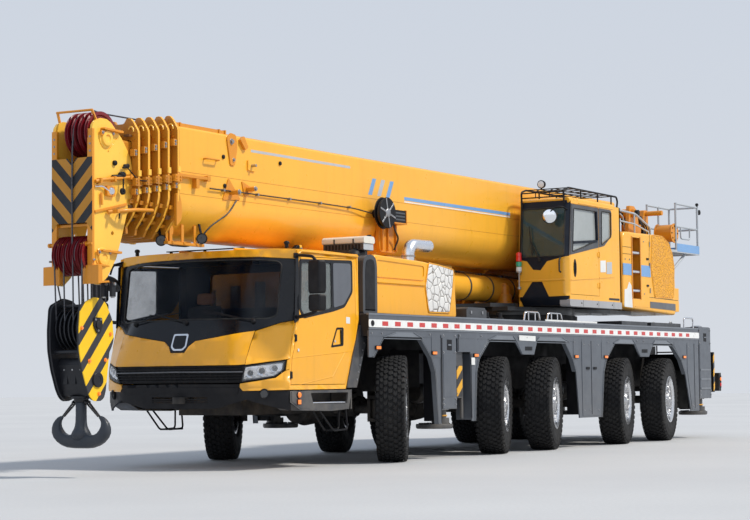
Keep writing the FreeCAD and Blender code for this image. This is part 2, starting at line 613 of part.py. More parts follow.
node("crane_cab_glass", fuse(common(cut(side(CG_A, CAB_IN + 66, CAB_OUT - 66), side(CG_B, CAB_IN + 60, CAB_OUT - 60)),
                                    box(-4955, -4555, CAB_IN + 66, CAB_OUT - 66, 2501, 3639)),
                             box(-6454, -5006, CAB_IN + 17, CAB_IN + 25, 2951, 3599),
                             side([(-5946, 3123), (-5966, 3648), (-6304, 3648), (-6294, 3264)], CAB_OUT - 26, CAB_OUT - 18)))
seat = fuse(box(-6155, -5605, 820, 1300, 2560, 2700),
            side([(-6155, 2660), (-6035, 2660), (-6125, 3300), (-6245, 3300)], 830, 1290),
            box(-6055, -5705, 890, 1230, 2202, 2570),
            box(-5255, -5105, 850, 1270, 2202, 2900), box(-6005, -5455, 690, 760, 2202, 2780))
node("crane_cab_interior", seat)

# ---------------------------------------------------------------- boom
def boom_loop(i, inset):
    """Outline of section i in (y, z): flat top and sides, rounded lower shell."""
    k = i * cell("boom_step") + inset
    w = cell("boom_half") - k
    top = cell("boom_top") - k
    low = cell("boom_low") + k
    r = cell("boom_round") - k
    c = r * (1 - math.sqrt(0.5))
    return [(w - 30, top), (w, top - 30), (w, low + r, (w - c, low + c)), (w - r, low),
            (-(w - r), low, (-(w - c), low + c)), (-w, low + r), (-w, top - 30), (-(w - 30), top)]


def tube(i, x0, x1, rear_wall=0):
    outer = front(boom_loop(i, 0), x0, x1)
    inner = front(boom_loop(i, cell("boom_wall")), x0 + rear_wall, x1 + 10)
    return cut(outer, inner)


def collar(i, x):
    """Front plate of section i: ribbed frame bigger than the tube, open for the next one."""
    k = i * cell("boom_step")
    w = cell("boom_half") - k + 62
    top = cell("boom_top") - k * 0.4 + 120
    low = cell("boom_low") - 70 + k * 0.3
    outline = [(w - 120, top), (w, top - 150), (w, low + 430), (w * 0.55, low), (-w * 0.55, low),
               (-w, low + 430), (-w, top - 150), (-(w - 120), top)]
    plate = front(outline, x, x + cell("collar_thick"))
    return cut(plate, front(boom_loop(i, cell("boom_wall")), x - 20, x + 100))


pitch, cx0 = cell("collar_pitch"), cell("collar_x")
# base section with foot bosses, cylinder bracket and support bracket
base_tube = tube(0, -8620, cx0 + 10, 0)
boss = [cyl("y", "foot_x", 490, "foot_z", 180, 60), cyl("y", "foot_x", -550, "foot_z", 180, 60),
        cyl("y", "foot_x", 490, "foot_z", 110, 125), cyl("y", "foot_x", -615, "foot_z", 110, 125)]
tail_cap = cut(front(boom_loop(0, 2), -8620, -8590), front(boom_loop(0, 150), -8640, -8580))
bracket = []
for s in (1, -1):
    y0, y1 = sorted((s * 165, s * 215))
    bracket.append(side([(-2250, 2790), (-1700, 2790), (-1740, 2520), (-1850, 2450), (-2050, 2450),
                         (-2160, 2520)], y0, y1))
support = [side([(-1310, 2790), (-900, 2790), (-900, 3250), (-1310, 3250)], *sorted((s * 499, s * 560)))
           for s in (1,)]
top_rib = box(-8000, cx0, -60, 60, cell("boom_top") - 5, cell("boom_top") + 25)
pulley_post = box(1740, 1860, 60, 160, cell("boom_top") - 5, cell("boom_top") + 60)
reel = [cyl("y", -860, 499, 3310, 60, 200), cyl("y", -860, 640, 3310, 210, 70),
        box(-1390, -1060, 499, 700, 3180, 3380)]
head_bore = cyl("y", "cyl_head_x", -300, "cyl_head_z", 71, 600)
node("boom_base", cut(fuse(base_tube, collar(0, cx0), tail_cap, *boss, *bracket, *support, top_rib,
                           pulley_post, *reel), head_bore,
                      front(boom_loop(0, cell("boom_wall") + 130), -8700, -8560)))
for i in range(1, 5):
    x1 = cx0 + i * pitch
    node("boom_section_%d" % i, fuse(tube(i, cell("section_rear") + 30 * i, x1 + 10, 0), collar(i, x1)))
# top section with the boom head
HEAD = [(4690, 2160), (4730, 2300), (4730, 3900), (4690, 3980), (4600, 4040), (4510, 4010), (4290, 3860),
        (4130, 3700), (4075, 3420), (4130, 2960), (4170, 2720), (4340, 2410), (4500, 2210)]
cheeks5 = [side(HEAD, *sorted((s * 252, s * 290))) for s in (1, -1)]
front_plate = box(4700, 4730, -252, 252, 2820, 3600)
jib_bore = cyl("y", 4640, -400, 3300, 31, 800)
cross = [cyl("y", 4500, -252, 3860, 45, 504), cyl("y", "sheave_x", -252, "sheave_z", 45, 504),
         box(4160, 4200, -252, 252, 2900, 3700)]
bumper_boxes = [box(4690, 4760, *sorted((s * 291, s * 370)), 2150, 2350) for s in (1, -1)]
bumper_boxes += [box(4690, 4760, *sorted((s * 240, s * 300)), 2170, 2330) for s in (1, -1)]
node("boom_section_5", cut(fuse(tube(5, cell("section_rear") + 150, 4200, 0), *cheeks5, front_plate,
                                *cross, *bumper_boxes), jib_bore))
# head sheaves: two banks of grooved discs on their shafts
discs = []
for cxs, czs, rr, count in ((4500, 3860, 275, 4), (4600, 2480, 300, 7)):
    for k in range(count):
        y = -210 + k * 420.0 / (count - 1)
        discs.append(cut(cyl("y", cxs, y - 19, czs, rr, 38), cyl("y", cxs, y - 30, czs, 45.2, 60)))
node("head_sheaves", doc.addObject("Part::Compound", "sheave_set"))
NODES["head_sheaves"].Links = discs

# ---------------------------------------------------------------- lift cylinder
P0 = V(cell("cyl_foot_x"), 0, cell("cyl_foot_z"))
P1 = V(cell("cyl_head_x"), 0, cell("cyl_head_z"))
axis = (P1 - P0).normalize()
span = (P1 - P0).Length


def along(dist):
    p = P0 + axis * dist
    return (p.x, p.y, p.z)


barrel = fuse(rod(along(200), along(span - 260), "cylinder_radius"),
              rod(along(span - 330), along(span - 250), 222),
              side([(P0.x - 130, P0.z - 110), (P0.x + 320, P0.z - 150), (P0.x + 320, P0.z + 170), (P0.x - 130, P0.z + 110)], -225, 225),
              cyl("y", "cyl_foot_x", -305, "cyl_foot_z", 80, 610))
barrel_bore = rod(along(420), along(span + 50), ("rod_radius", 4))
node("lift_cylinder_barrel", cut(barrel, barrel_bore))
rod_eye = cyl("y", "cyl_head_x", -155, "cyl_head_z", 140, 310)
node("lift_cylinder_rod", fuse(rod(along(460), along(span - 60), "rod_radius"), rod_eye,
                               cyl("y", "cyl_head_x", -212, "cyl_head_z", 62, 424)))

# ---------------------------------------------------------------- hook block
cheek_h = [side([(4585 - 150, 840), (4585 + 190, 860), (4585 + 290, 1200), (4585 + 310, 1650), (4585 + 200, 2060),
                 (4585 - 200, 2060), (4585 - 310, 1650), (4585 - 290, 1200)], *sorted((s * 195, s * 230)))
           for s in (1, -1)]
hook_sheaves = [cyl("y", 4585, -200 + k * 66.0, 1640, 270, 36) for k in range(7)]
hook_core = [cyl("y", 4585, -200, 1640, 60, 400), box(4440, 4730, -200, 200, 900, 1420)]
# ramshorn hook: outline in the cross plane, half of it in (y, z), mirrored
RAM = [(75, 910), (75, 640), (110, 560), (190, 515), (260, 545), (300, 620), (345, 665), (410, 610),
       (424, 510), (380, 410), (250, 345), (90, 322)]
ram_loop = RAM + [(-y, z) for y, z in RAM[::-1]]
ramshorn = front(ram_loop, 4525, 4645)
nose_fill = box(4500, 4900, -60, 60, 1500, 1600)
node("hook_block", fuse(*(cheek_h + hook_sheaves + hook_core + [ramshorn, nose_fill])))

# ---------------------------------------------------------------- check and write
doc.recompute()
bad = []
for o in doc.Objects:
    if "Invalid" in o.State or "Error" in o.State:
        bad.append("%s %s %s" % (o.Name, o.Label, o.State))
for name, o in NODES.items():
    if o.Shape.isNull() or not o.Shape.isValid():
        bad.append("shape of %s" % name)
if bad:
    raise RuntimeError("failed objects: " + "; ".join(bad[:20]))
assert len(NODES) <= 60
os.makedirs("parts", exist_ok=True)
for name, o in NODES.items():
    s = o.Shape
    b = s.BoundBox
    print("%-26s solids %2d  x %8.1f %8.1f  y %8.1f %8.1f  z %7.1f %7.1f  vol %.4f m3" % (
        name, len(s.Solids), b.XMin, b.XMax, b.YMin, b.YMax, b.ZMin, b.ZMax, s.Volume / 1e9))
    s.exportStep("parts/%s.step" % name)
print(len(NODES), "nodes")
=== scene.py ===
import bpy
import bmesh
import json
import math
from mathutils import Matrix, Vector
from mathutils.geometry import delaunay_2d_cdt


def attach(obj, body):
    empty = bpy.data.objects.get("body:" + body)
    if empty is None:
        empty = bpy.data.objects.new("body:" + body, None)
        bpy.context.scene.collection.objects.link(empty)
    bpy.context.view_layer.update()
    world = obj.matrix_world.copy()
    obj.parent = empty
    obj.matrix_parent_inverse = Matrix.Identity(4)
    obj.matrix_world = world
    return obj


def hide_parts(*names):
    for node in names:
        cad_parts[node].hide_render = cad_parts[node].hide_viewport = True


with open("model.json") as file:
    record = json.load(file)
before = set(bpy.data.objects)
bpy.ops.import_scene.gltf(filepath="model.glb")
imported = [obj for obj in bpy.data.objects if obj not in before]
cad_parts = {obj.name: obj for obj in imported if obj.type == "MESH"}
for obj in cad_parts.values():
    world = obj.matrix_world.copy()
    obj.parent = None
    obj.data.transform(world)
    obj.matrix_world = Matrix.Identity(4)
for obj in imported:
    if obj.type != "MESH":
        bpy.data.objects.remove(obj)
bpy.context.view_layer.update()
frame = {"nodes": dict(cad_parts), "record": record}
scene = bpy.context.scene

# Stations are millimetres along X from the first axle's hub; the part's frame starts OX further back.
OX = 3.015


def P(x, y, z):
    """Station, y, z in millimetres to metres in the part's frame."""
    return Vector((x / 1000.0 + OX, y / 1000.0, z / 1000.0))


# ------------------------------------------------------------------ mesh helpers
class Mesh:
    def __init__(self):
        self.v, self.f, self.m = [], [], []

    def add(self, verts, faces, mat=0):
        k = len(self.v)
        self.v += [Vector(p) for p in verts]
        self.f += [tuple(i + k for i in f) for f in faces]
        self.m += [mat] * len(faces)

    def join(self, other, mat=None):
        k = len(self.v)
        self.v += other.v
        self.f += [tuple(i + k for i in f) for f in other.f]
        self.m += other.m if mat is None else [mat] * len(other.f)

    def mirror(self):
        """The same again on the other side of the centre line."""
        k, n = len(self.v), len(self.f)
        self.v += [Vector((p.x, -p.y, p.z)) for p in self.v[:k]]
        self.f += [tuple(i + k for i in reversed(f)) for f in self.f[:n]]
        self.m += self.m[:n]
        return self

    def flipped(self):
        out = Mesh()
        out.v = [Vector((p.x, -p.y, p.z)) for p in self.v]
        out.f = [tuple(reversed(f)) for f in self.f]
        out.m = list(self.m)
        return out


def place(kind, a, b, h):
    if kind == "x":
        return P(h, a, b)
    if kind == "y":
        return P(a, h, b)
    return P(a, b, h)


def prism(mesh, kind, loop, lo, hi, mat=0):
    """Loop in the plane across an axis, drawn out from lo to hi along it (mm)."""
    n = len(loop)
    v = [place(kind, a, b, lo) for a, b in loop] + [place(kind, a, b, hi) for a, b in loop]
    f = [tuple(range(n - 1, -1, -1)), tuple(range(n, 2 * n))]
    f += [(i, (i + 1) % n, (i + 1) % n + n, i + n) for i in range(n)]
    mesh.add(v, f, mat)


def block(mesh, x0, x1, y0, y1, z0, z1, mat=0):
    prism(mesh, "z", [(x0, y0), (x1, y0), (x1, y1), (x0, y1)], z0, z1, mat)


def frame_of(d):
    d = d.normalized()
    a = Vector((0, 0, 1)) if abs(d.z) < 0.9 else Vector((1, 0, 0))
    s = d.cross(a).normalized()
    return s, d.cross(s).normalized()


def rod(mesh, p, q, r, mat=0, n=16, r2=None):
    """Round bar between stations p and q (mm), radii in mm."""
    a, b = P(*p), P(*q)
    s, t = frame_of(b - a)
    r1 = (r if r2 is None else r2) / 1000.0
    r0 = r / 1000.0
    v = []
    for c, rr in ((a, r0), (b, r1)):
        v += [c + (s * math.cos(2 * math.pi * k / n) + t * math.sin(2 * math.pi * k / n)) * rr
              for k in range(n)]
    f = [tuple(range(n)), tuple(range(2 * n - 1, n - 1, -1))]
    f += [(k, k + n, (k + 1) % n + n, (k + 1) % n) for k in range(n)]
    mesh.add(v, f, mat)


def bar(mesh, p, q, w, h, mat=0, up=(0, 0, 1)):
    """Rectangular bar between stations, w across and h along up (mm)."""
    a, b = P(*p), P(*q)
    d = (b - a).normalized()
    s = d.cross(Vector(up)).normalized()
    t = s.cross(d).normalized()
    v = []
    for c in (a, b):
        for i, j in ((-1, -1), (1, -1), (1, 1), (-1, 1)):
            v.append(c + s * (i * w / 2000.0) + t * (j * h / 2000.0))
    mesh.add(v, [(3, 2, 1, 0), (4, 5, 6, 7), (0, 1, 5, 4), (1, 2, 6, 5), (2, 3, 7, 6), (3, 0, 4, 7)], mat)


def soften(pts, radius, n=5):
    """Corners of a run of stations rounded with arcs of about that radius (mm)."""
    pts = [Vector(p) for p in pts]
    out = [pts[0]]
    for i in range(1, len(pts) - 1):
        a, b, c = pts[i - 1], pts[i], pts[i + 1]
        d0, d1 = (a - b), (c - b)
        k = min(radius, d0.length * 0.45, d1.length * 0.45)
        p, q = b + d0.normalized() * k, b + d1.normalized() * k
        for j in range(n + 1):
            t = j / n
            out.append(p * (1 - t) ** 2 + b * 2 * t * (1 - t) + q * t * t)
    out.append(pts[-1])
    return [tuple(p) for p in out]


def tube(mesh, pts, r, mat=0, n=10, closed=False):
    """Round section swept along stations (mm)."""
    c = [P(*p) for p in pts]
    m = len(c)
    s = None
    rings = []
    for i in range(m):
        if closed:
            d = (c[(i + 1) % m] - c[i - 1]).normalized()
        else:
            d = (c[min(i + 1, m - 1)] - c[max(i - 1, 0)]).normalized()
        if s is None:
            s, t = frame_of(d)
        else:
            s = (s - d * s.dot(d)).normalized()
            t = d.cross(s).normalized()
        rings.append([c[i] + (s * math.cos(2 * math.pi * k / n) + t * math.sin(2 * math.pi * k / n)) * (r / 1000.0)
                      for k in range(n)])
    v = [p for ring in rings for p in ring]
    f = []
    for i in range(m if closed else m - 1):
        j = (i + 1) % m
        f += [(i * n + k, j * n + k, j * n + (k + 1) % n, i * n + (k + 1) % n) for k in range(n)]
    if not closed:
        f += [tuple(range(n - 1, -1, -1)), tuple(range((m - 1) * n, m * n))]
    mesh.add(v, f, mat)


def lathe(mesh, centre, axis, profile, mat=0, n=48, closed=False, mats=None):
    """Profile of (distance along axis, radius) in mm turned about an axis through a station."""
    c, d = P(*centre), Vector(axis).normalized()
    s, t = frame_of(d)
    v = []
    for a, r in profile:
        v += [c + d * (a / 1000.0) + (s * math.cos(2 * math.pi * k / n) + t * math.sin(2 * math.pi * k / n)) * (r / 1000.0)
              for k in range(n)]
    m = len(profile)
    for i in range(m if closed else m - 1):
        j = (i + 1) % m
        faces = [(i * n + k, i * n + (k + 1) % n, j * n + (k + 1) % n, j * n + k) for k in range(n)]
        if i == 0:
            mesh.add(v, faces, mats[0] if mats else mat)
            base = len(mesh.v) - len(v)
        else:
            mesh.f += [tuple(q + base for q in f) for f in faces]
            mesh.m += [mats[i] if mats else mat] * n
    if not closed:
        for i, flip in ((0, False), (m - 1, True)):
            if profile[i][1] > 0.5:
                ring = [base + i * n + k for k in range(n)]
                mesh.f.append(tuple(ring if flip else ring[::-1]))
                mesh.m.append(mats[min(i, len(mats) - 1)] if mats else mat)


def inside(p, loop):
    x, y = p
    hit = False
    n = len(loop)
    for i in range(n):
        x0, y0 = loop[i]
        x1, y1 = loop[(i + 1) % n]
        if (y0 > y) != (y1 > y) and x < (x1 - x0) * (y - y0) / (y1 - y0) + x0:
            hit = not hit
    return hit


def near(p, loop, d):
    px, py = p
    n = len(loop)
    for i in range(n):
        x0, y0 = loop[i]
        x1, y1 = loop[(i + 1) % n]
        dx, dy = x1 - x0, y1 - y0
        k = dx * dx + dy * dy
        t = 0 if k == 0 else max(0, min(1, ((px - x0) * dx + (py - y0) * dy) / k))
        if (x0 + dx * t - px) ** 2 + (y0 + dy * t - py) ** 2 < d * d:
            return True
    return False


def dense(loop, step):
    out = []
    n = len(loop)
    for i in range(n):
        a, b = loop[i], loop[(i + 1) % n]
        k = max(1, int(math.ceil(math.hypot(b[0] - a[0], b[1] - a[1]) / step)))
        out += [(a[0] + (b[0] - a[0]) * j / k, a[1] + (b[1] - a[1]) * j / k) for j in range(k)]
    return out


def rounded(loop, r, n=4):
    """Closed loop with its corners rounded by about r."""
    out = []
    m = len(loop)
    for i in range(m):
        a, b, c = Vector(loop[i - 1]), Vector(loop[i]), Vector(loop[(i + 1) % m])
        d0, d1 = a - b, c - b
        k = min(r, d0.length * 0.45, d1.length * 0.45)
        p, q = b + d0.normalized() * k, b + d1.normalized() * k
        for j in range(n + 1):
            t = j / n
            w = p * (1 - t) ** 2 + b * 2 * t * (1 - t) + q * t * t
            out.append((w.x, w.y))
    return out


def circle(cx, cy, r, n=20):
    return [(cx + r * math.cos(2 * math.pi * k / n), cy + r * math.sin(2 * math.pi * k / n)) for k in range(n)]


def panel(mesh, fn, loop, holes=(), step=90, thick=15, mat=0, flat=False, rim=None):
    """Sheet with a closed outline and holes in a surface's own two numbers (mm), of real thickness.
    fn(a, b) gives the point (m) and the outward normal."""
    big = 1e9 if flat else step
    loops = [dense(loop, big)] + [dense(h, big) for h in holes]
    pts, edges = [], []
    for lp in loops:
        k = len(pts)
        pts += [Vector(p) for p in lp]
        edges += [(k + i, k + (i + 1) % len(lp)) for i in range(len(lp))]
    if not flat:
        xs, ys = [p[0] for p in loop], [p[1] for p in loop]
        i0, i1 = int(min(xs) // step), int(max(xs) // step) + 1
        j0, j1 = int(min(ys) // step), int(max(ys) // step) + 1
        for i in range(i0, i1 + 1):
            for j in range(j0, j1 + 1):
                p = (i * step + 0.37, j * step + 0.21)
                if inside(p, loops[0]) and not any(inside(p, h) for h in loops[1:]) \
                        and not any(near(p, lp, step * 0.35) for lp in loops):
                    pts.append(Vector(p))
    vo, _, fo = delaunay_2d_cdt(pts, edges, [], 0, 1e-5)[:3]
    keep = []
    for f in fo:
        c = (sum(vo[i].x for i in f) / len(f), sum(vo[i].y for i in f) / len(f))
        if inside(c, loops[0]) and not any(inside(c, h) for h in loops[1:]):
            keep.append(tuple(f))
    pn = [fn(p.x, p.y) for p in vo]
    top = [q[0] for q in pn]
    low = [q[0] - q[1] * (thick / 1000.0) for q in pn]
    count = {}
    faces, n = [], len(vo)
    for f in keep:
        a, b, c = top[f[0]], top[f[1]], top[f[2]]
        if (b - a).cross(c - a).dot(pn[f[0]][1]) < 0:
            f = tuple(reversed(f))
        faces.append(f)
        for i in range(len(f)):
            e = (f[i], f[(i + 1) % len(f)])
            count[e] = count.get(e, 0) + 1
    walls = [(b, a, a + n, b + n) for (a, b) in count if (b, a) not in count]
    k = len(mesh.v)
    mesh.v += top + low
    mesh.f += [tuple(i + k for i in f) for f in faces] + [tuple(i + k + n for i in reversed(f)) for f in faces]
    mesh.m += [mat] * (2 * len(faces))
    mesh.f += [tuple(i + k for i in w) for w in walls]
    mesh.m += [mat if rim is None else rim] * len(walls)


def plane(kind, h, sign=1):
    """Flat surface across an axis at h (mm), facing sign."""
    nrm = {"x": Vector((1, 0, 0)), "y": Vector((0, 1, 0)), "z": Vector((0, 0, 1))}[kind] * sign
    return lambda a, b: (place(kind, a, b, h), nrm)


def plate(mesh, kind, h, sign, loop, holes=(), thick=10, mat=0, rim=None):
    panel(mesh, plane(kind, h, sign), loop, holes, thick=thick, mat=mat, flat=True, rim=rim)


def hexnut(mesh, p, axis, r, h, mat=0):
    """Bolt head with a washer, standing on station p along axis."""
    c, d = P(*p), Vector(axis).normalized()
    s, t = frame_of(d)
    for rr, a0, a1, n in ((r * 1.45, 0, h * 0.18, 14), (r, h * 0.18, h, 6)):
        v = []
        for a, q in ((a0, rr), (a1, rr)):
            v += [c + d * (a / 1000.0) + (s * math.cos(2 * math.pi * k / n) + t * math.sin(2 * math.pi * k / n)) * (q / 1000.0)
                  for k in range(n)]
        f = [tuple(range(n))[::-1], tuple(range(n, 2 * n))] + [(k, (k + 1) % n, (k + 1) % n + n, k + n) for k in range(n)]
        mesh.add(v, f, mat)


def make(name, body, mesh, mats, bevel=0, seg=1, angle=38, replaces=(), matrix=None, data=None):
    if data is None:
        me = bpy.data.meshes.new(name)
        me.from_pydata([tuple(p) for p in mesh.v], [], mesh.f)
        for m in mats:
            me.materials.append(m)
        me.polygons.foreach_set("material_index", mesh.m)
        me.update()
        bm = bmesh.new()
        bm.from_mesh(me)
        bmesh.ops.recalc_face_normals(bm, faces=bm.faces)
        bm.to_mesh(me)
        bm.free()
        me.polygons.foreach_set("use_smooth", [True] * len(me.polygons))
        if not bevel:
            me.set_sharp_from_angle(angle=math.radians(angle))
    else:
        me = data
    ob = bpy.data.objects.new(name, me)
    scene.collection.objects.link(ob)
    if matrix is not None:
        ob.matrix_world = matrix
    if bevel:
        b = ob.modifiers.new("edge", "BEVEL")
        b.width = bevel / 1000.0
        b.segments = seg
        b.limit_method = "ANGLE"
        b.angle_limit = math.radians(angle)
        b.use_clamp_overlap = True
        w = ob.modifiers.new("normals", "WEIGHTED_NORMAL")
        w.keep_sharp = True
    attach(ob, body)
    if replaces:
        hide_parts(*replaces)
    return ob


# ------------------------------------------------------------------ materials
def shader(name):
    m = bpy.data.materials.new(name)
    m.use_nodes = True
    nt = m.node_tree
    nt.nodes.clear()
    out = nt.nodes.new("ShaderNodeOutputMaterial")
    b = nt.nodes.new("ShaderNodeBsdfPrincipled")
    nt.links.new(b.outputs[0], out.inputs[0])
    return m, nt, b


def node(nt, kind, **values):
    n = nt.nodes.new("ShaderNode" + kind)
    for k, v in values.items():
        if k.startswith("_"):
            setattr(n, k[1:], v)
        else:
            n.inputs[k.replace("__", " ")].default_value = v
    return n


def coords(nt, scale=(1, 1, 1)):
    tc = nt.nodes.new("ShaderNodeTexCoord")
    mp = nt.nodes.new("ShaderNodeMapping")
    mp.inputs["Scale"].default_value = scale
    nt.links.new(tc.outputs["Object"], mp.inputs["Vector"])
    return mp.outputs[0]


def noise(nt, vec, scale, detail=4.0, rough=0.55):
    n = node(nt, "TexNoise", Scale=scale, Detail=detail, Roughness=rough)
    nt.links.new(vec, n.inputs["Vector"])
    return n.outputs["Fac"]


def ramp(nt, fac, lo, hi, a=0.0, b=1.0):
    n = node(nt, "MapRange")
    n.inputs["From Min"].default_value = lo
    n.inputs["From Max"].default_value = hi
    n.inputs["To Min"].default_value = a
    n.inputs["To Max"].default_value = b
    n.clamp = True
    nt.links.new(fac, n.inputs["Value"])
    return n.outputs["Result"]


def mixc(nt, fac, a, b, mode="MIX"):
    n = nt.nodes.new("ShaderNodeMix")
    n.data_type = "RGBA"
    n.blend_type = mode
    for sock, v in ((n.inputs[0], fac), (n.inputs[6], a), (n.inputs[7], b)):
        if isinstance(v, bpy.types.NodeSocket):
            nt.links.new(v, sock)
        elif isinstance(v, (int, float)):
            sock.default_value = v
        else:
            sock.default_value = tuple(v) + ((1,) if len(v) == 3 else ())
    return n.outputs[2]


def mathn(nt, op, a, b=0.0):
    n = nt.nodes.new("ShaderNodeMath")
    n.operation = op
    for i, v in enumerate((a, b)):
        if isinstance(v, bpy.types.NodeSocket):
            nt.links.new(v, n.inputs[i])
        else:
            n.inputs[i].default_value = v
    return n.outputs[0]


def bump(nt, b, height, strength, distance=0.002):
    n = node(nt, "Bump", Strength=strength, Distance=distance)
    nt.links.new(height, n.inputs["Height"])
    nt.links.new(n.outputs[0], b.inputs["Normal"])


def paint(name, col, rough=0.32, metallic=0.0, coat=0.35, var=0.10, dust=0.35, dust_col=(0.30, 0.26, 0.21),
          dust_z=(1.3, 0.2), grain=0.05, streak=0.18, coat_rough=0.12, spec=0.5):
    """Sprayed paint: slow colour drift, rain streaks, road dust low down, fine peel in the gloss."""
    m, nt, b = shader(name)
    c = coords(nt)
    drift = ramp(nt, noise(nt, c, 0.9, 5.0), 0.3, 0.7)
    col2 = mixc(nt, drift, [v * (1 - var) for v in col], [min(1, v * (1 + var * 0.5)) for v in col])
    st = ramp(nt, noise(nt, coords(nt, (7, 7, 0.5)), 1.6, 6.0, 0.6), 0.52, 0.78)
    st = mathn(nt, "MULTIPLY", st, streak)
    col3 = mixc(nt, st, col2, [v * 0.55 for v in col])
    sep = nt.nodes.new("ShaderNodeSeparateXYZ")
    nt.links.new(c, sep.inputs[0])
    low = ramp(nt, sep.outputs["Z"], dust_z[0], dust_z[1])
    spots = ramp(nt, noise(nt, c, 5.5, 8.0, 0.65), 0.35, 0.7)
    d = mathn(nt, "MULTIPLY", mathn(nt, "MULTIPLY", low, spots), dust)
    col4 = mixc(nt, d, col3, dust_col)
    nt.links.new(col4, b.inputs["Base Color"])
    fine = noise(nt, c, 140.0, 2.0)
    mid = noise(nt, c, 6.0, 5.0)
    r = ramp(nt, mid, 0.3, 0.7, rough * 0.75, min(1, rough * 1.35))
    r = mathn(nt, "ADD", r, mathn(nt, "MULTIPLY", d, 0.5))
    nt.links.new(r, b.inputs["Roughness"])
    b.inputs["Metallic"].default_value = metallic
    b.inputs["Specular IOR Level"].default_value = spec
    b.inputs["Coat Weight"].default_value = coat
    b.inputs["Coat Roughness"].default_value = coat_rough
    bump(nt, b, fine, grain, 0.001)
    return m


def metal(name, col, rough=0.3, metallic=1.0, grime=0.25, scale=8.0, grain=0.15, brushed=None):
    m, nt, b = shader(name)
    c = coords(nt, brushed or (1, 1, 1))
    g = ramp(nt, noise(nt, coords(nt), scale, 8.0, 0.65), 0.42, 0.72)
    g = mathn(nt, "MULTIPLY", g, grime)
    nt.links.new(mixc(nt, g, col, [v * 0.3 for v in col]), b.inputs["Base Color"])
    f = noise(nt, c, 90.0, 3.0)
    r = ramp(nt, f, 0.3, 0.7, rough * 0.7, rough * 1.4)
    r = mathn(nt, "ADD", r, mathn(nt, "MULTIPLY", g, 0.5))
    nt.links.new(r, b.inputs["Roughness"])
    b.inputs["Metallic"].default_value = metallic
    bump(nt, b, f, grain, 0.0006)
    return m


def plastic(name, col, rough=0.5, grain=0.25, scale=260.0, dust=0.15, dust_col=(0.25, 0.23, 0.20), coat=0.0, spec=0.5):
    m, nt, b = shader(name)
    c = coords(nt)
    g = ramp(nt, noise(nt, c, 4.0, 7.0, 0.6), 0.45, 0.75)
    g = mathn(nt, "MULTIPLY", g, dust)
    nt.links.new(mixc(nt, g, col, dust_col), b.inputs["Base Color"])
    r = ramp(nt, noise(nt, c, 12.0, 4.0), 0.3, 0.7, rough * 0.8, min(1, rough * 1.2))
    nt.links.new(r, b.inputs["Roughness"])
    b.inputs["Coat Weight"].default_value = coat
    b.inputs["Specular IOR Level"].default_value = spec
    bump(nt, b, noise(nt, c, scale, 2.0), grain, 0.0008)
    return m


def glass(name, col, alpha, rough=0.02, coat=1.0, spec=0.5):
    m, nt, b = shader(name)
    c = coords(nt)
    g = ramp(nt, noise(nt, c, 2.2, 6.0, 0.6), 0.45, 0.75)
    dirty = mathn(nt, "MULTIPLY", g, 0.12)
    nt.links.new(mixc(nt, dirty, col, (0.35, 0.36, 0.36)), b.inputs["Base Color"])
    nt.links.new(ramp(nt, g, 0, 1, rough, rough + 0.06), b.inputs["Roughness"])
    nt.links.new(mathn(nt, "ADD", dirty, alpha), b.inputs["Alpha"])
    b.inputs["IOR"].default_value = 1.5
    b.inputs["Specular IOR Level"].default_value = spec
    b.inputs["Coat Weight"].default_value = coat
    b.inputs["Coat Roughness"].default_value = 0.02
    bump(nt, b, noise(nt, c, 1.2, 2.0), 0.03, 0.01)
    return m


def lens(name, col, glow=0.0, rough=0.12):
    """Moulded lamp lens with fine flutes."""
    m, nt, b = shader(name)
    c = coords(nt)
    w = node(nt, "TexWave", Scale=38.0, Distortion=0.6, Detail=1.0)
    w.bands_direction = "Z"
    nt.links.new(c, w.inputs["Vector"])
    nt.links.new(mixc(nt, ramp(nt, w.outputs["Fac"], 0, 1, 0, 0.3), col, [min(1, v * 1.5 + 0.03) for v in col]), b.inputs["Base Color"])
    nt.links.new(ramp(nt, noise(nt, c, 20.0), 0.3, 0.7, rough * 0.7, rough * 1.5), b.inputs["Roughness"])
    b.inputs["Coat Weight"].default_value = 0.8
    b.inputs["Coat Roughness"].default_value = 0.05
    if glow:
        b.inputs["Emission Color"].default_value = tuple(col) + (1,)
        b.inputs["Emission Strength"].default_value = glow
    bump(nt, b, w.outputs["Fac"], 0.25, 0.0015)
    return m


def stripes(name, vector, pitch, a, b_col, share=0.5, fold=False, rough=0.4, offset=0.0, coat=0.2):
    """Painted hazard stripes in object space: vector gives the direction across the stripes;
    fold mirrors them about the centre line into chevrons."""
    m, nt, b = shader(name)
    c = coords(nt)
    sep = nt.nodes.new("ShaderNodeSeparateXYZ")
    nt.links.new(c, sep.inputs[0])
    y = sep.outputs["Y"]
    if fold:
        y = mathn(nt, "ABSOLUTE", y)
    s = mathn(nt, "ADD", mathn(nt, "MULTIPLY", sep.outputs["X"], vector[0] / pitch),
              mathn(nt, "ADD", mathn(nt, "MULTIPLY", y, vector[1] / pitch),
                    mathn(nt, "MULTIPLY", sep.outputs["Z"], vector[2] / pitch)))
    s = mathn(nt, "ADD", s, offset + 100.0)
    fr = mathn(nt, "FRACT", s)
    fac = mathn(nt, "GREATER_THAN", fr, share)
    drift = ramp(nt, noise(nt, c, 3.0, 7.0, 0.6), 0.3, 0.75)
    a2 = mixc(nt, drift, [v * 0.85 for v in a], a)
    b2 = mixc(nt, drift, b_col, [v * 1.3 + 0.01 for v in b_col])
    nt.links.new(mixc(nt, fac, a2, b2), b.inputs["Base Color"])
    nt.links.new(ramp(nt, noise(nt, c, 9.0, 4.0), 0.3, 0.7, rough * 0.8, rough * 1.25), b.inputs["Roughness"])
    b.inputs["Coat Weight"].default_value = coat
    bump(nt, b, noise(nt, c, 150.0, 2.0), 0.05, 0.001)
    return m


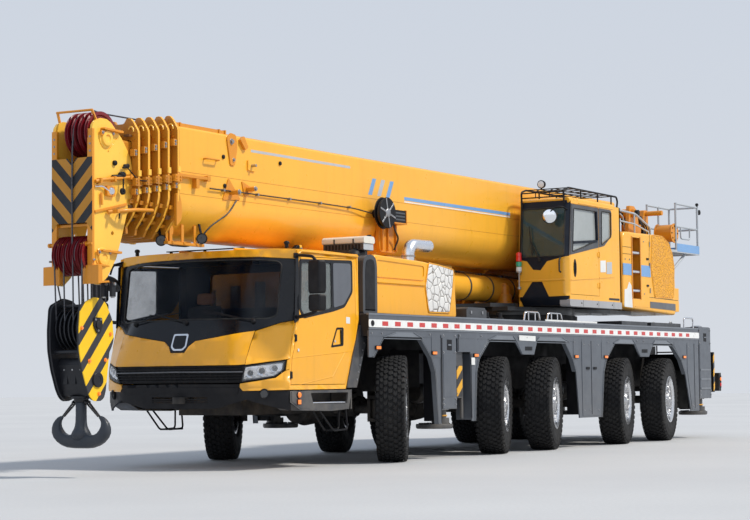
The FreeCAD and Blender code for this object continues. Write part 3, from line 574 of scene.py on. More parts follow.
YEL = (0.87, 0.40, 0.012)
M_YEL = paint("crane_yellow", YEL, rough=0.34, coat=0.24, dust=0.25, dust_z=(1.6, 0.6), var=0.07)
# paler copy of the crane yellow for the boom and upperworks: painted light, the sunlit bleached look of their sides
M_YEL_PAINTED_LIGHT = paint("boom_yellow_painted_light", (0.89, 0.435, 0.034), rough=0.34, coat=0.24, dust=0.25, dust_z=(1.6, 0.6), var=0.07)
# darker ochre copy of the yellow: painted shade on the inner boom tubes between the collars and on the head's flange;
# also used on other fittings
M_OCH = paint("ochre_yellow", (0.68, 0.255, 0.010), rough=0.42, coat=0.15, dust=0.2, var=0.10)
M_GREY = paint("skirt_grey", (0.105, 0.115, 0.135), rough=0.42, coat=0.15, var=0.14, dust=0.55, dust_z=(1.9, 0.5))
M_DGREY = paint("dark_grey", (0.045, 0.048, 0.055), rough=0.42, coat=0.15, var=0.15, dust=0.45, dust_z=(1.8, 0.4))
M_FRAME = paint("frame_black", (0.014, 0.014, 0.016), rough=0.55, coat=0.0, var=0.2, dust=0.35, dust_z=(1.5, 0.1), spec=0.3)
M_BLACK = plastic("black_plastic", (0.006, 0.006, 0.008), rough=0.5, dust=0.04, spec=0.26)
M_GLOSSBLACK = plastic("gloss_black", (0.006, 0.007, 0.010), rough=0.20, grain=0.03, scale=60, dust=0.03, coat=0.05, spec=0.28)
M_DECK = paint("deck_grey", (0.16, 0.165, 0.17), rough=0.55, coat=0.0, var=0.2, dust=0.5, dust_z=(3.0, 1.0))
M_RUBBER = plastic("seal_rubber", (0.014, 0.014, 0.014), rough=0.7, grain=0.3, scale=180)
M_GLASS = glass("dark_glass", (0.002, 0.006, 0.014), 0.20, coat=0.05, spec=0.28)
M_REARGLASS = glass("rear_glass", (0.003, 0.005, 0.010), 0.50, coat=0.05, spec=0.3)
# side_glass and pale_side_glass: the pale grey in these panes is a painted reflection of the bright sky
M_SIDEGLASS = glass("side_glass", (0.42, 0.47, 0.47), 0.20, coat=0.3)
M_PALEGLASS = glass("pale_side_glass", (0.50, 0.54, 0.54), 0.55)
M_CABGLASS = glass("crane_cab_glass_tint", (0.040, 0.075, 0.074), 0.72, coat=0.2, spec=0.4)
M_CHROME = metal("bright_steel", (0.78, 0.78, 0.80), rough=0.14, grime=0.15, grain=0.05)
M_ALU = metal("rim_aluminium", (0.74, 0.74, 0.75), rough=0.24, grime=0.35, scale=14.0)
M_STEEL = metal("plain_steel", (0.42, 0.42, 0.43), rough=0.38, grime=0.4)
M_GREYRAIL = paint("rail_grey", (0.42, 0.45, 0.48), rough=0.42, coat=0.1, dust=0.2)
M_RED = plastic("sheave_red", (0.17, 0.004, 0.010), rough=0.35, grain=0.1, scale=90, dust=0.12, coat=0.2)
M_HOOK = paint("hook_slate", (0.026, 0.034, 0.048), rough=0.42, coat=0.05, var=0.25, dust=0.12, dust_z=(1.0, 0.1), grain=0.2, spec=0.4)
M_ROPE = metal("rope_steel", (0.10, 0.10, 0.11), rough=0.45, metallic=0.7, grime=0.5, scale=60.0)
M_WHITE = plastic("white_plate", (0.72, 0.73, 0.72), rough=0.4, grain=0.05, dust=0.2, dust_col=(0.4, 0.38, 0.34))
M_REFRED = plastic("reflector_red", (0.55, 0.035, 0.03), rough=0.3, grain=0.2, scale=400, dust=0.1, coat=0.3)
M_REFWHITE = plastic("reflector_white", (0.78, 0.79, 0.78), rough=0.3, grain=0.2, scale=400, dust=0.2, coat=0.3)
M_AMBER = lens("amber_lens", (0.85, 0.20, 0.01), glow=0.25)
M_REDLENS = lens("red_lens", (0.55, 0.01, 0.01), glow=0.1)
M_CLEAR = lens("clear_lens", (0.75, 0.78, 0.80))
M_LAMPDARK = lens("lamp_dark", (0.02, 0.022, 0.025), rough=0.05)
M_BLUE = paint("light_blue", (0.16, 0.34, 0.62), rough=0.35, dust=0.1)
M_PALEGREY = paint("pale_grey", (0.45, 0.47, 0.50), rough=0.35, dust=0.1)
M_HOSE = plastic("hose_rubber", (0.016, 0.016, 0.017), rough=0.55, grain=0.2, scale=150)
M_HAZ = stripes("hazard_diagonal", (0.56, 0.56, 0.61), 0.15, (0.80, 0.40, 0.01), (0.012, 0.012, 0.013), 0.5)
# chevron_paint: the yellow bands are a darkened copy of the crane yellow, painted shade on the head's front plate
M_CHEV = stripes("chevron_paint", (0.0, -0.70, 0.70), 0.195, (0.50, 0.215, 0.014), (0.006, 0.007, 0.010), 0.50, fold=True, rough=0.55, coat=0.0)
M_HOOKSTRIPE = stripes("hook_stripe", (0.76, 0.0, 0.65), 0.235, (0.92, 0.56, 0.006), (0.020, 0.020, 0.024), 0.62, rough=0.34, coat=0.05)

# ------------------------------------------------------------------ camera, light, floor
cam_data = bpy.data.cameras.new("camera")
cam_data.lens = 90.42
cam_data.sensor_width = 36.0
cam_data.clip_end = 400
cam = bpy.data.objects.new("camera", cam_data)
scene.collection.objects.link(cam)
YAW, PITCH, ROLL = math.radians(31.980), math.radians(3.6615), math.radians(-0.5941)
fw = Vector((-math.cos(YAW) * math.cos(PITCH), -math.sin(YAW) * math.cos(PITCH), math.sin(PITCH)))
right = fw.cross(Vector((0, 0, 1))).normalized()
up = right.cross(fw)
r2 = right * math.cos(ROLL) + up * math.sin(ROLL)
u2 = -right * math.sin(ROLL) + up * math.cos(ROLL)
cam.matrix_world = Matrix(((r2.x, u2.x, -fw.x, 23.8057), (r2.y, u2.y, -fw.y, 14.0209),
                           (r2.z, u2.z, -fw.z, 1.0457), (0, 0, 0, 1)))
scene.camera = cam
scene.view_settings.view_transform = "Standard"
scene.view_settings.look = "None"

world = bpy.data.worlds.new("studio")
scene.world = world
world.use_nodes = True
wnt = world.node_tree
wnt.nodes.clear()
w_out = wnt.nodes.new("ShaderNodeOutputWorld")
w_bg = wnt.nodes.new("ShaderNodeBackground")
w_tc = wnt.nodes.new("ShaderNodeTexCoord")
w_sep = wnt.nodes.new("ShaderNodeSeparateXYZ")
w_ramp = wnt.nodes.new("ShaderNodeMapRange")
w_ramp.inputs["From Min"].default_value = -0.1
w_ramp.inputs["From Max"].default_value = 0.6
w_mix = wnt.nodes.new("ShaderNodeMix")
w_mix.data_type = "RGBA"
w_mix.inputs[6].default_value = (0.82, 0.85, 0.90, 1)
w_mix.inputs[7].default_value = (0.60, 0.70, 0.86, 1)
wnt.links.new(w_tc.outputs["Generated"], w_sep.inputs[0])
wnt.links.new(w_sep.outputs["Z"], w_ramp.inputs["Value"])
wnt.links.new(w_ramp.outputs["Result"], w_mix.inputs[0])
wnt.links.new(w_mix.outputs[2], w_bg.inputs["Color"])
w_bg.inputs["Strength"].default_value = 0.85
wnt.links.new(w_bg.outputs[0], w_out.inputs[0])


def lamp(name, kind, energy, direction, colour, size, position=(0, 0, 0)):
    d = bpy.data.lights.new(name, kind)
    d.energy = energy
    d.color = colour
    if kind == "SUN":
        d.angle = size
    else:
        d.shape = "DISK"
        d.size = size
    o = bpy.data.objects.new(name, d)
    scene.collection.objects.link(o)
    o.matrix_world = Matrix.Translation(Vector(position)) @ Vector(direction).to_track_quat("-Z", "Y").to_matrix().to_4x4()
    return o


lamp("key", "SUN", 3.25, (0.30, -0.74, -0.92), (1.0, 0.94, 0.84), 0.10)
lamp("front_fill", "SUN", 0.32, (-0.9, -0.25, -0.22), (0.92, 0.95, 1.0), 1.2)

floor_mat, fnt, fb = shader("studio_floor")
fc = coords(fnt)
fg = noise(fnt, fc, 26.0, 8.0, 0.7)
fl = ramp(fnt, noise(fnt, fc, 0.22, 4.0), 0.3, 0.7)
fcol = mixc(fnt, fl, (0.47, 0.475, 0.485), (0.53, 0.535, 0.54))
fnt.links.new(mixc(fnt, ramp(fnt, fg, 0.35, 0.7, 0, 0.35), fcol, (0.40, 0.405, 0.41)), fb.inputs["Base Color"])
fnt.links.new(ramp(fnt, fg, 0.3, 0.7, 0.75, 0.95), fb.inputs["Roughness"])
bump(fnt, fb, fg, 0.3, 0.004)
bm = bmesh.new()
bmesh.ops.create_grid(bm, x_segments=8, y_segments=8, size=90)
fme = bpy.data.meshes.new("floor")
bm.to_mesh(fme)
bm.free()
fme.materials.append(floor_mat)
floor = bpy.data.objects.new("floor", fme)
scene.collection.objects.link(floor)

# ------------------------------------------------------------------ driving cab
# level, rear_x, corner_x, front_x, front_y, centre_x  (mm; side walls at CAB_HALF)
CAB_LEVELS = [
    (960, 1235, 2500, 2800, 930, 2815),
    (1240, 1110, 2480, 2870, 940, 2890),
    (1533, 1010, 2390, 2760, 880, 2790),
    (1800, 925, 2300, 2640, 800, 2680),
    (2620, 925, 2230, 2400, 760, 2420),
]
CAB_HALF = 1367.0


def cab_row(z):
    z = max(CAB_LEVELS[0][0], min(CAB_LEVELS[-1][0], z))
    for lo, hi in zip(CAB_LEVELS, CAB_LEVELS[1:]):
        if z <= hi[0]:
            t = (z - lo[0]) / (hi[0] - lo[0])
            return [a + (b - a) * t for a, b in zip(lo[1:], hi[1:])]
    return list(CAB_LEVELS[-1][1:])


def cab_soft_row(z):
    rows = [cab_row(z + d) for d in (-60, -30, 0, 30, 60)]
    return [sum(r[i] for r in rows) / 5 for i in range(5)]


def cab_plan(y, row):
    rear, corner, fx, fy, cx = row

    def raw(a):
        a = abs(a)
        if a <= fy:
            return cx - (cx - fx) * (a / fy) ** 2
        return fx - (fx - corner) * (a - fy) / (CAB_HALF - fy)
    a = abs(y)
    x = sum(raw(a + d) for d in (-110, -55, 0, 55, 110)) / 5
    rr = 55.0
    if a > CAB_HALF - rr:
        t = min(1.0, (a - (CAB_HALF - rr)) / rr)
        x -= rr * 0.8 * (1 - math.sqrt(max(0.0, 1 - t * t)))
    return x


def cab_x(y, z):
    return cab_plan(y, cab_soft_row(z))


def cab_front(proud=0.0):
    """Front surface in (y, z), wrapped round the corner posts; proud in mm."""
    def fn(y, z):
        p = Vector((cab_x(y, z), y, z))
        e = 12.0
        dy = Vector((cab_x(min(y + e, CAB_HALF), z) - cab_x(max(y - e, -CAB_HALF), z),
                     min(y + e, CAB_HALF) - max(y - e, -CAB_HALF), 0))
        dz = Vector((cab_x(y, z + e) - cab_x(y, z - e), 0, 2 * e))
        n = dy.cross(dz).normalized()
        q = p + n * proud
        return P(q.x, q.y, q.z), n
    return fn


def cab_side(proud=0.0):
    """Side wall of the left side in (station, z), with a slight barrel."""
    def fn(x, z):
        dy = -0.000012 * (z - 1700.0) ** 2 * (1.0 if z > 1700 else 0.35)
        n = Vector((0, 1, -2 * dy / max(1.0, abs(z - 1700.0)) if z > 1700 else 0)).normalized()
        return P(x, CAB_HALF + dy + proud, z), n
    return fn


def inset_loop(loop, d):
    """Closed loop pulled in by d on every edge."""
    n = len(loop)
    area = sum(loop[i][0] * loop[(i + 1) % n][1] - loop[(i + 1) % n][0] * loop[i][1] for i in range(n))
    s = 1 if area > 0 else -1
    out = []
    for i in range(n):
        a, b, c = Vector(loop[i - 1]), Vector(loop[i]), Vector(loop[(i + 1) % n])
        d0, d1 = (b - a).normalized(), (c - b).normalized()
        n0, n1 = Vector((-d0.y, d0.x)) * s, Vector((-d1.y, d1.x)) * s
        m = n0 + n1
        k = m.dot(n0)
        out.append(tuple(b + m * (d / max(0.35, k))))
    return out


# outlines on the front, right-hand half in (y, z)
V_EDGE = [(0, 1402), (105, 1402), (150, 1478), (235, 1540), (600, 1592), (985, 1650), (1220, 1745), (1367, 1778)]
LAMP = [(968, 1236), (1345, 1300), (1338, 1178), (1255, 1098), (1080, 1062), (905, 1034)]


def both(half):
    """Right-hand run of points from the centre line out, made into a symmetric run."""
    return [(-y, z) for y, z in half[::-1] if y > 0] + list(half)


cab = Mesh()      # yellow
# centre panel under the black band
top = [p for p in V_EDGE if p[0] <= 985] + [(982, 1652)]
centre = both([(0, 1402), (105, 1402), (150, 1478), (235, 1540), (600, 1592), (984, 1650)])
low = [(975, 1246), (0, 1246)]
loop = centre + [(972, 1250), (900, 1243), (-900, 1243), (-972, 1250)]
panel(cab, cab_front(6), [(y, z - 4) for y, z in centre] + [(974, 1252), (900, 1246), (-900, 1246), (-974, 1252)],
      step=95, thick=22)
# corner panels
corner = [(990, 1642), (1218, 1738), (1366.5, 1770), (1366.5, 1325), (1345, 1308), (979, 1246)]
lampcorner = [(902, 1026), (1080, 1054), (1255, 1090), (1340, 1170), (1366.5, 1190), (1366.5, 948), (925, 940), (893, 985)]
post = [(1347, 1300), (1366.5, 1316), (1366.5, 1196), (1345, 1180)]
for s in (1, -1):
    for lp in (corner, lampcorner, post):
        panel(cab, cab_front(6), [(s * y, z) for y, z in lp], step=70, thick=22)
# roof lip over the windscreen
lip_low = [(0, 2556), (500, 2552), (900, 2543), (1180, 2520), (1366.5, 2505)]
lip = both(lip_low) + both([(0, 2640), (760, 2634), (1366.5, 2618)])[::-1]
panel(cab, cab_front(10), lip, step=95, thick=40)

# the roof skin: crowned, from the lip back to the rear wall
grid_x = [925, 960, 1100, 1350, 1600, 1850, 2050, 2160, 2230]
rows = []
for gx in range(0, 11):
    t = gx / 10.0
    row = []
    for j in range(-12, 13):
        y = CAB_HALF * math.sin(j / 12.0 * math.pi / 2) * 0.999
        front_x = cab_x(y, 2618) + 4
        x = 925 + (front_x - 925) * t
        edge = (1 - abs(y / CAB_HALF) ** 6)
        crown = 34 * edge * (1 - (2 * t - 1) ** 6) + 12 * edge
        z = 2630 + crown * (0.6 + 0.4 * math.sin(math.pi * min(1, t * 1.2))) - 12 * (abs(y / CAB_HALF) ** 10)
        row.append(P(x, y, z))
    rows.append(row)
nj = 25
v = [p for r in rows for p in r]
nv = len(v)
v += [p - Vector((0, 0, 0.035)) for p in v]
f = []
for i in range(10):
    for j in range(nj - 1):
        a = i * nj + j
        f += [(a, a + nj, a + nj + 1, a + 1), (a + nv, a + 1 + nv, a + nj + 1 + nv, a + nj + nv)]
for i in range(10):
    for a, flip in ((i * nj, False), (i * nj + nj - 1, True)):
        q = (a, a + nv, a + nj + nv, a + nj)
        f.append(q[::-1] if flip else q)
for j in range(nj - 1):
    for a, flip in ((j, True), (10 * nj + j, False)):
        q = (a, a + nv, a + 1 + nv, a + 1)
        f.append(q[::-1] if flip else q)
cab.add(v, f)
# two pressed ribs on the roof and the rain gutters over the doors
for y in (-420, 420):
    tube(cab, [(1050, y, 2664), (1400, y, 2672), (1900, y, 2674), (2250, y, 2668)], 14, n=10)
for s in (1, -1):
    tube(cab, soften([(940, s * 1371, 2598), (2200, s * 1371, 2600), (2262, s * 1362, 2560)], 60), 11, n=10)

# left side skin (mirrored later): body round the door
side = Mesh()
DOOR_O = [(2421, 1318), (2357, 1452), (2311, 1749), (2300, 1900), (2290, 2512), (2240, 2532), (1010, 2560),
          (1000, 2050), (985, 1640), (1100, 1345), (1235, 1006), (2440, 1006)]
SKIN = [(2465, 948), (2448, 1240), (2400, 1500), (2330, 1740), (2290, 1790), (2256, 2612), (925, 2626), (925, 2050), (925, 1800),
        (1010, 1533), (1110, 1240), (1235, 948)]
DOOR_CUT = [(2400, 1318), (2345, 1452), (2303, 1700), (2262, 1760), (2240, 2512), (2200, 2535), (1010, 2560),
            (1000, 2050), (985, 1640), (1100, 1345), (1243, 1006), (2428, 1006)]
DOOR_TRIM = rounded([(2232, 2507), (1052, 2545), (1058, 2140), (1245, 1950), (1500, 1893), (2165, 1790), (2248, 1900)], 45)
door_gap = inset_loop(DOOR_CUT, -4)
panel(side, cab_side(0), SKIN, [door_gap], step=130, thick=24)
door = Mesh()
door_loop = inset_loop(DOOR_CUT, 3)
win_hole = inset_loop(DOOR_TRIM, 10)
CREASE = [(2400, 1322), (1104, 1415)]
panel(door, cab_side(1), door_loop, [win_hole], step=110, thick=26)
# pressed swage across the door and the lower panel's edge
for a, b in (((2392, 1324), (1098, 1412)), ((2230, 1010), (1525, 1098)), ((1525, 1098), (1240, 1400))):
    pts = []
    for i in range(9):
        x = a[0] + (b[0] - a[0]) * i / 8
        z = a[1] + (b[1] - a[1]) * i / 8
        q, n = cab_side(-4)(x, z)
        pts.append(((q.x - OX) * 1000, q.y * 1000, q.z * 1000))
    tube(door, pts, 8.5, n=8)
# fender cheek behind the door
cheek = Mesh()
panel(cheek, cab_side(16), [(871, 1785), (748, 1688), (742, 1640), (1002, 962), (1216, 962), (1216, 1000), (1090, 1350), (968, 1640)],
      step=120, thick=50)
for i in range(7):
    t = (i + 0.5) / 7
    hexnut(cheek, (775 + 245 * t, CAB_HALF + 16, 1655 - 640 * t), (0, 1, 0), 9, 8, 1)

# door hardware
trim = Mesh()
panel(trim, cab_side(4), inset_loop(DOOR_TRIM, 2), [rounded([(2178, 2466), (1535, 2490), (1535, 1935), (2132, 1838), (2205, 1905)], 40)],
      step=120, thick=30)
greytrim = Mesh()
panel(greytrim, cab_side(9), rounded([(1500, 2490), (1100, 2500), (1104, 2160), (1268, 1988), (1500, 1940)], 38), step=120, thick=12)
sglass = Mesh()
panel(sglass, cab_side(-8), rounded([(2190, 2478), (1520, 2500), (1520, 1925), (2138, 1826), (2218, 1900)], 40), step=200, thick=6)
handle = Mesh()
hl = [(1436, 1700), (1276, 1704), (1282, 1478), (1566, 1452)]
panel(handle, cab_side(3), rounded(hl, 28), [rounded(inset_loop(hl, 26), 18)], step=60, thick=20)
panel(handle, cab_side(-18), rounded(inset_loop(hl, 20), 14), step=60, thick=6)
bar(handle, (1330, CAB_HALF + 6, 1500), (1340, CAB_HALF + 6, 1672), 20, 34, 0, up=(1, 0, 0))
rod(handle, (1470, CAB_HALF - 12, 1530), (1470, CAB_HALF + 6, 1530), 15, 1, n=20)
dot = Mesh()
rod(dot, (2273, CAB_HALF + 1, 1417), (2273, CAB_HALF + 9, 1417), 20, 0, n=24)
rod(dot, (2273, CAB_HALF + 9, 1417), (2273, CAB_HALF + 11, 1417), 13, 1, n=20)
sticker = Mesh()
panel(sticker, cab_side(3), [(1216, 1836), (1216, 1756), (1130, 1752), (1130, 1832)], step=100, thick=2)
# door hinge covers
hinge = Mesh()
for z in (1120, 1560):
    block(hinge, 2300 if z > 1300 else 2400, 2335 if z > 1300 else 2432, CAB_HALF - 2, CAB_HALF + 10, z - 40, z + 40)
    rod(hinge, (2337 if z > 1300 else 2436, CAB_HALF + 2, z - 46), (2337 if z > 1300 else 2436, CAB_HALF + 2, z + 46), 9, n=14)

# rear wall with its window opening and the cab floor
RW = [(-1330, 990), (1330, 990), (1365, 1500), (1365, 2618), (-1365, 2618), (-1365, 1500)]


def rear_wall(y, z):
    row = cab_row(z)
    return P(row[0] + 4, y, z), Vector((-1, 0, 0))


panel(cab, rear_wall, RW, [rounded([(-900, 2000), (900, 2000), (900, 2450), (-900, 2450)], 60)], step=260, thick=30)
prism(cab, "z", [(1240, -1350), (1240, 1350), (2480, 1350), (2760, 930), (2780, 0), (2760, -930), (2480, -1350)], 965, 1000)
rearglass = Mesh()
plate(rearglass, "x", 955, -1, rounded([(-905, 1996), (905, 1996), (905, 2454), (-905, 2454)], 60), thick=6)
for i in range(7):
    y = -1150 + i * 2300 / 6
    tube(cab, [(930, y, 1990), (930, y, 1850), (1000, y, 1560), (1090, y, 1270)], 13, n=8)

cab.join(side)
cab.join(side.flipped())
make("cab_skin", "carrier", cab, [M_YEL], bevel=4, seg=2, angle=50, replaces=("cab_shell",))
for s, name in ((1, "left_cab_door"), (-1, "right_cab_door")):
    pick = (lambda q: q) if s > 0 else (lambda q: q.flipped())
    make(name + "_skin", name, pick(door), [M_YEL], bevel=4, angle=50, replaces=(name,))
    make(name + "_seal", name, pick(trim), [M_GLOSSBLACK], bevel=4, angle=50)
    make(name + "_rear_trim", name, pick(greytrim), [M_GREY], bevel=3, angle=50)
    make(name + "_pane", name, pick(sglass), [M_SIDEGLASS])
    make(name + "_handle", name, pick(handle), [M_BLACK, M_CHROME], bevel=3, angle=45)
    make(name + "_marker", name, pick(dot), [M_CHROME, M_REFWHITE])
    make(name + "_sticker", name, pick(sticker), [M_WHITE])
    make(name + "_hinge_covers", name, pick(hinge), [M_BLACK], bevel=2)
    # inner lining of the door
    lin = Mesh()
    block(lin, 1180, 2180, CAB_HALF - 75, CAB_HALF - 30, 1060, 1640)
    block(lin, 1320, 2050, CAB_HALF - 120, CAB_HALF - 70, 1480, 1560)
    make(name + "_lining", name, pick(lin), [M_BLACK], bevel=14, seg=3)
cheek.join(cheek.flipped())
# dark corner post between the windscreen surround and the door window
pillar = Mesh()
panel(pillar, cab_side(3), [(2336, 1742), (2296, 1792), (2282, 2508), (2236, 2522), (2244, 1880), (2256, 1790)], step=120, thick=16)
panel(pillar, cab_side(2.4), [(2340, 1738), (2262, 1760), (2244, 1790), (2238, 2512), (2264, 2524), (2300, 2506)], step=120, thick=10)
pillar.join(pillar.flipped())
make("corner_posts", "carrier", pillar, [M_GLOSSBLACK], bevel=3, angle=50)
make("cab_rear_cheeks", "carrier", cheek, [M_DGREY, M_STEEL], bevel=5, angle=45)

# black band, windscreen and its seal
band_half = [(y, z + 2) for y, z in V_EDGE]
band_top = both([(0, 1826), (700, 1822), (1085, 1806), (1150, 1800)])
band = Mesh()
band_loop = both(band_half) + both([(0, 1850), (700, 1846), (1100, 1830), (1190, 1822)])[::-1]
A_OUT = [(1366.5, 1782), (1366.5, 2500)]
mask = both(band_half) + [(1366.5, 2500), (1180, 2514), (900, 2538), (500, 2548), (0, 2552), (-500, 2548), (-900, 2538),
                          (-1180, 2514), (-1366.5, 2500)]
SCREEN = both([(0, 1802), (700, 1798), (1075, 1790), (1165, 1830)]) + both([(0, 2522), (500, 2518), (900, 2505), (1120, 2484), (1172, 2440)])[::-1]
panel(band, cab_front(3), mask, [SCREEN], step=95, thick=26)
make("windscreen_surround", "carrier", band, [M_GLOSSBLACK], bevel=3, angle=50)
ws = Mesh()
panel(ws, cab_front(-3), SCREEN and inset_loop(SCREEN, -12), step=90, thick=6)
make("windscreen", "carrier", ws, [M_GLASS], replaces=("cab_glass",))
make("rear_pane", "carrier", rearglass, [M_REARGLASS])
seal = Mesh()
ring = []
for y, z in dense(rounded(SCREEN, 30), 70):
    q, n = cab_front(2)(y, z)
    ring.append(((q.x - OX) * 1000, q.y * 1000, q.z * 1000))
tube(seal, ring, 9, n=8, closed=True)
make("windscreen_seal", "carrier", seal, [M_RUBBER])
# generic bare shield where the front badge sits
badge = Mesh()
panel(badge, cab_front(9), rounded([(-112, 1628), (112, 1628), (118, 1470), (70, 1425), (-70, 1425), (-118, 1470)], 22), step=60, thick=14)
panel(badge, cab_front(13), rounded([(-88, 1606), (88, 1606), (94, 1480), (56, 1446), (-56, 1446), (-94, 1480)], 18), step=60, thick=6, mat=1)
make("front_shield", "carrier", badge, [M_CHROME, M_GLOSSBLACK], bevel=3, angle=50)

# wipers: arm and blade lying over the lower edge of the screen
wip = Mesh()
for y0, y1, lift in ((-780, -260, 120), (30, -440, 110), (940, 420, 120)):
    a, n = cab_front(26)(y0, 1762)
    b, _ = cab_front(34)((y0 + y1) / 2, 1762 + lift)
    pts = []
    for i in range(7):
        t = i / 6
        y = y0 + (y1 - y0) * t
        z = 1758 + lift * t
        q, _ = cab_front(24 + 14 * math.sin(math.pi * t))(y, z)
        pts.append(((q.x - OX) * 1000, q.y * 1000, q.z * 1000))
    tube(wip, pts, 8, n=8)
    q, n = cab_front(4)(y0, 1758)
    c = ((q.x - OX) * 1000, q.y * 1000, q.z * 1000)
    lathe(wip, c, tuple(n), [(0, 30), (26, 26), (34, 16), (36, 0.1)], n=20)
    blade = []
    for i in range(9):
        t = i / 8
        y = (y0 + (y1 - y0) * 0.45) + (y1 - y0) * 0.85 * t
        z = 1758 + lift * 0.45 + lift * 0.62 * t
        q, _ = cab_front(12)(max(-1100, min(1100, y)), z)
        blade.append(((q.x - OX) * 1000, q.y * 1000, q.z * 1000))
    tube(wip, blade, 6, n=8)
make("wipers", "carrier", wip, [M_BLACK])

# sun visor strip and small roof lamps, horns
vis = Mesh()
for s in (1, -1):
    rod(vis, (2180, s * 1150, 2650), (2180, s * 1150, 2700), 24, 0, n=20)
    lathe(vis, (2180, s * 1150, 2696), (0, 0, 1), [(0, 34), (20, 34), (34, 26), (40, 8), (41, 0.1)], 0, n=24)
bar(vis, (2060, -760, 2690), (2060, 420, 2690), 60, 12, 0)
for y in (-700, -170, 360):
    block(vis, 2045, 2075, y - 15, y + 15, 2655, 2690)
make("roof_fittings", "carrier", vis, [M_BLACK], bevel=2)

# grille: black recess, slats and a grey bar
gr = Mesh()
panel(gr, cab_front(-26), both([(0, 1248), (975, 1248)]) + both([(0, 1030), (905, 1030)])[::-1], step=130, thick=16)
for z in (1060, 1092, 1124, 1200, 1230):
    pts = []
    for i in range(25):
        y = -930 + 1860 * i / 24
        q, n = cab_front(-6)(y, z)
        pts.append(((q.x - OX) * 1000, q.y * 1000, q.z * 1000))
    tube(gr, pts, 8, n=6)
for i in range(24):
    y = -880 + 1760 * i / 23
    q, n = cab_front(-14)(y, 1050)
    q2, _ = cab_front(-14)(y, 1240)
    rod(gr, ((q.x - OX) * 1000, y, 1040), ((q2.x - OX) * 1000, y, 1244), 4, n=6)
pts = []
for i in range(25):
    y = -950 + 1900 * i / 24
    q, n = cab_front(2)(y, 1165 + 6 * (1 - abs(y) / 950))
    pts.append(((q.x - OX) * 1000, q.y * 1000, q.z * 1000))
tube(gr, pts, 8, mat=1, n=8)
make("front_grille", "carrier", gr, [M_BLACK, M_GREY])

# headlamps: bowl, three round units, clear cover
for s, hand in ((1, "left"), (-1, "right")):
    hl_m = Mesh()
    lampo = [(s * y, z) for y, z in LAMP]
    panel(hl_m, cab_front(-45), inset_loop(lampo, 8), step=60, thick=10, mat=0)
    frame_loop = inset_loop(lampo, 4)
    panel(hl_m, cab_front(4), frame_loop, [inset_loop(lampo, 20)], step=60, thick=50, mat=1)
    for y, z, r in ((1025, 1142, 52), (1135, 1170, 56), (1250, 1205, 50)):
        q, n = cab_front(-38)(s * y, z)
        c = ((q.x - OX) * 1000, q.y * 1000, q.z * 1000)
        ax = (n + Vector((0.5, 0, 0))).normalized()
        lathe(hl_m, c, ax, [(0, 20), (6, r * 0.7), (22, r), (30, r), (30, r - 6), (14, r * 0.55), (8, 1)], 0, n=28)
        lathe(hl_m, c, ax, [(4, r * 0.62), (20, r * 0.55), (30, r * 0.3), (33, 1)], 2, n=28)
    for i in range(6):
        y0 = 960 + i * 62
        q, n = cab_front(-30)(s * y0, 1096 + i * 14)
        q2, _ = cab_front(-30)(s * (y0 + 44), 1082 + i * 14)
        rod(hl_m, ((q.x - OX) * 1000, q.y * 1000, q.z * 1000), ((q2.x - OX) * 1000, q2.y * 1000, q2.z * 1000), 9, 0, n=8)
    make("headlamp_" + hand, "carrier", hl_m, [M_CHROME, M_BLACK, M_LAMPDARK], bevel=2, angle=50)
    cov = Mesh()
    panel(cov, cab_front(5), inset_loop(lampo, 14), step=60, thick=4)
    make("headlamp_cover_" + hand, "carrier", cov, [glass("lamp_cover_" + hand, (0.55, 0.58, 0.60), 0.06)])

# ------------------------------------------------------------------ bumper, steps, mirrors, cab interior
bp = Mesh()


def bumper_surface(proud=0.0):
    def fn(y, z):
        base = cab_plan(y, cab_row(1000))
        lean = (1030 - z) * 0.10
        n = Vector((1, 0.35 * y / CAB_HALF, -0.1)).normalized()
        if abs(y) > 930:
            n = Vector((0.78, math.copysign(0.62, y), -0.1)).normalized()
        q = Vector((base - lean + proud, y, z))
        return P(q.x, q.y, q.z), n
    return fn


half_low = [(0, 730), (560, 732), (700, 770), (960, 838), (1050, 800), (1366.5, 700)]
half_top = [(0, 1024), (900, 1018), (930, 934), (1366.5, 940)]
b_loop = both(half_low) + both(half_top)[::-1]
vents = [[(-420, 800), (420, 800), (420, 870), (-420, 870)]]
fog_holes = [circle(s * 1130, 905, 42, 20) for s in (1, -1)]
panel(bp, bumper_surface(0), b_loop, vents, step=110, thick=30)
for z in (815, 840):
    bar(bp, (cab_plan(0, cab_row(1000)) - 30, -430, z), (cab_plan(0, cab_row(1000)) - 30, 430, z), 12, 14)
panel(bp, bumper_surface(7), both([(0, 985), (880, 980)]) + both([(0, 915), (860, 905)])[::-1], step=120, thick=14)
make("bumper_face", "carrier", bp, [M_BLACK], bevel=6, angle=45, replaces=("front_bumper",))
bs = Mesh()
# grey corner boxes with the step, profile in (station, z)
BOXP = [(2452, 934), (2452, 800), (2240, 704), (1594, 682), (1180, 700), (1105, 938)]
STEP_CUT = rounded([(2020, 905), (1960, 770), (1215, 768), (1190, 905)], 22)
plate(bs, "y", CAB_HALF + 6, 1, BOXP, [STEP_CUT], thick=26)
prism(bs, "y", [(2452, 934), (2452, 800), (2240, 704), (1594, 682), (1180, 700), (1170, 716), (1594, 698), (2236, 720), (2436, 810), (2436, 934)],
      1080, CAB_HALF + 2)
prism(bs, "y", [(2030, 915), (1966, 764), (1200, 762), (1196, 776), (1956, 780), (2014, 915)], 1090, CAB_HALF - 18)
plate(bs, "y", 1100, 1, [(2050, 925), (2000, 740), (1200, 740), (1180, 925)], thick=12)
block(bs, 1100, 1122, 1080, CAB_HALF, 700, 938)
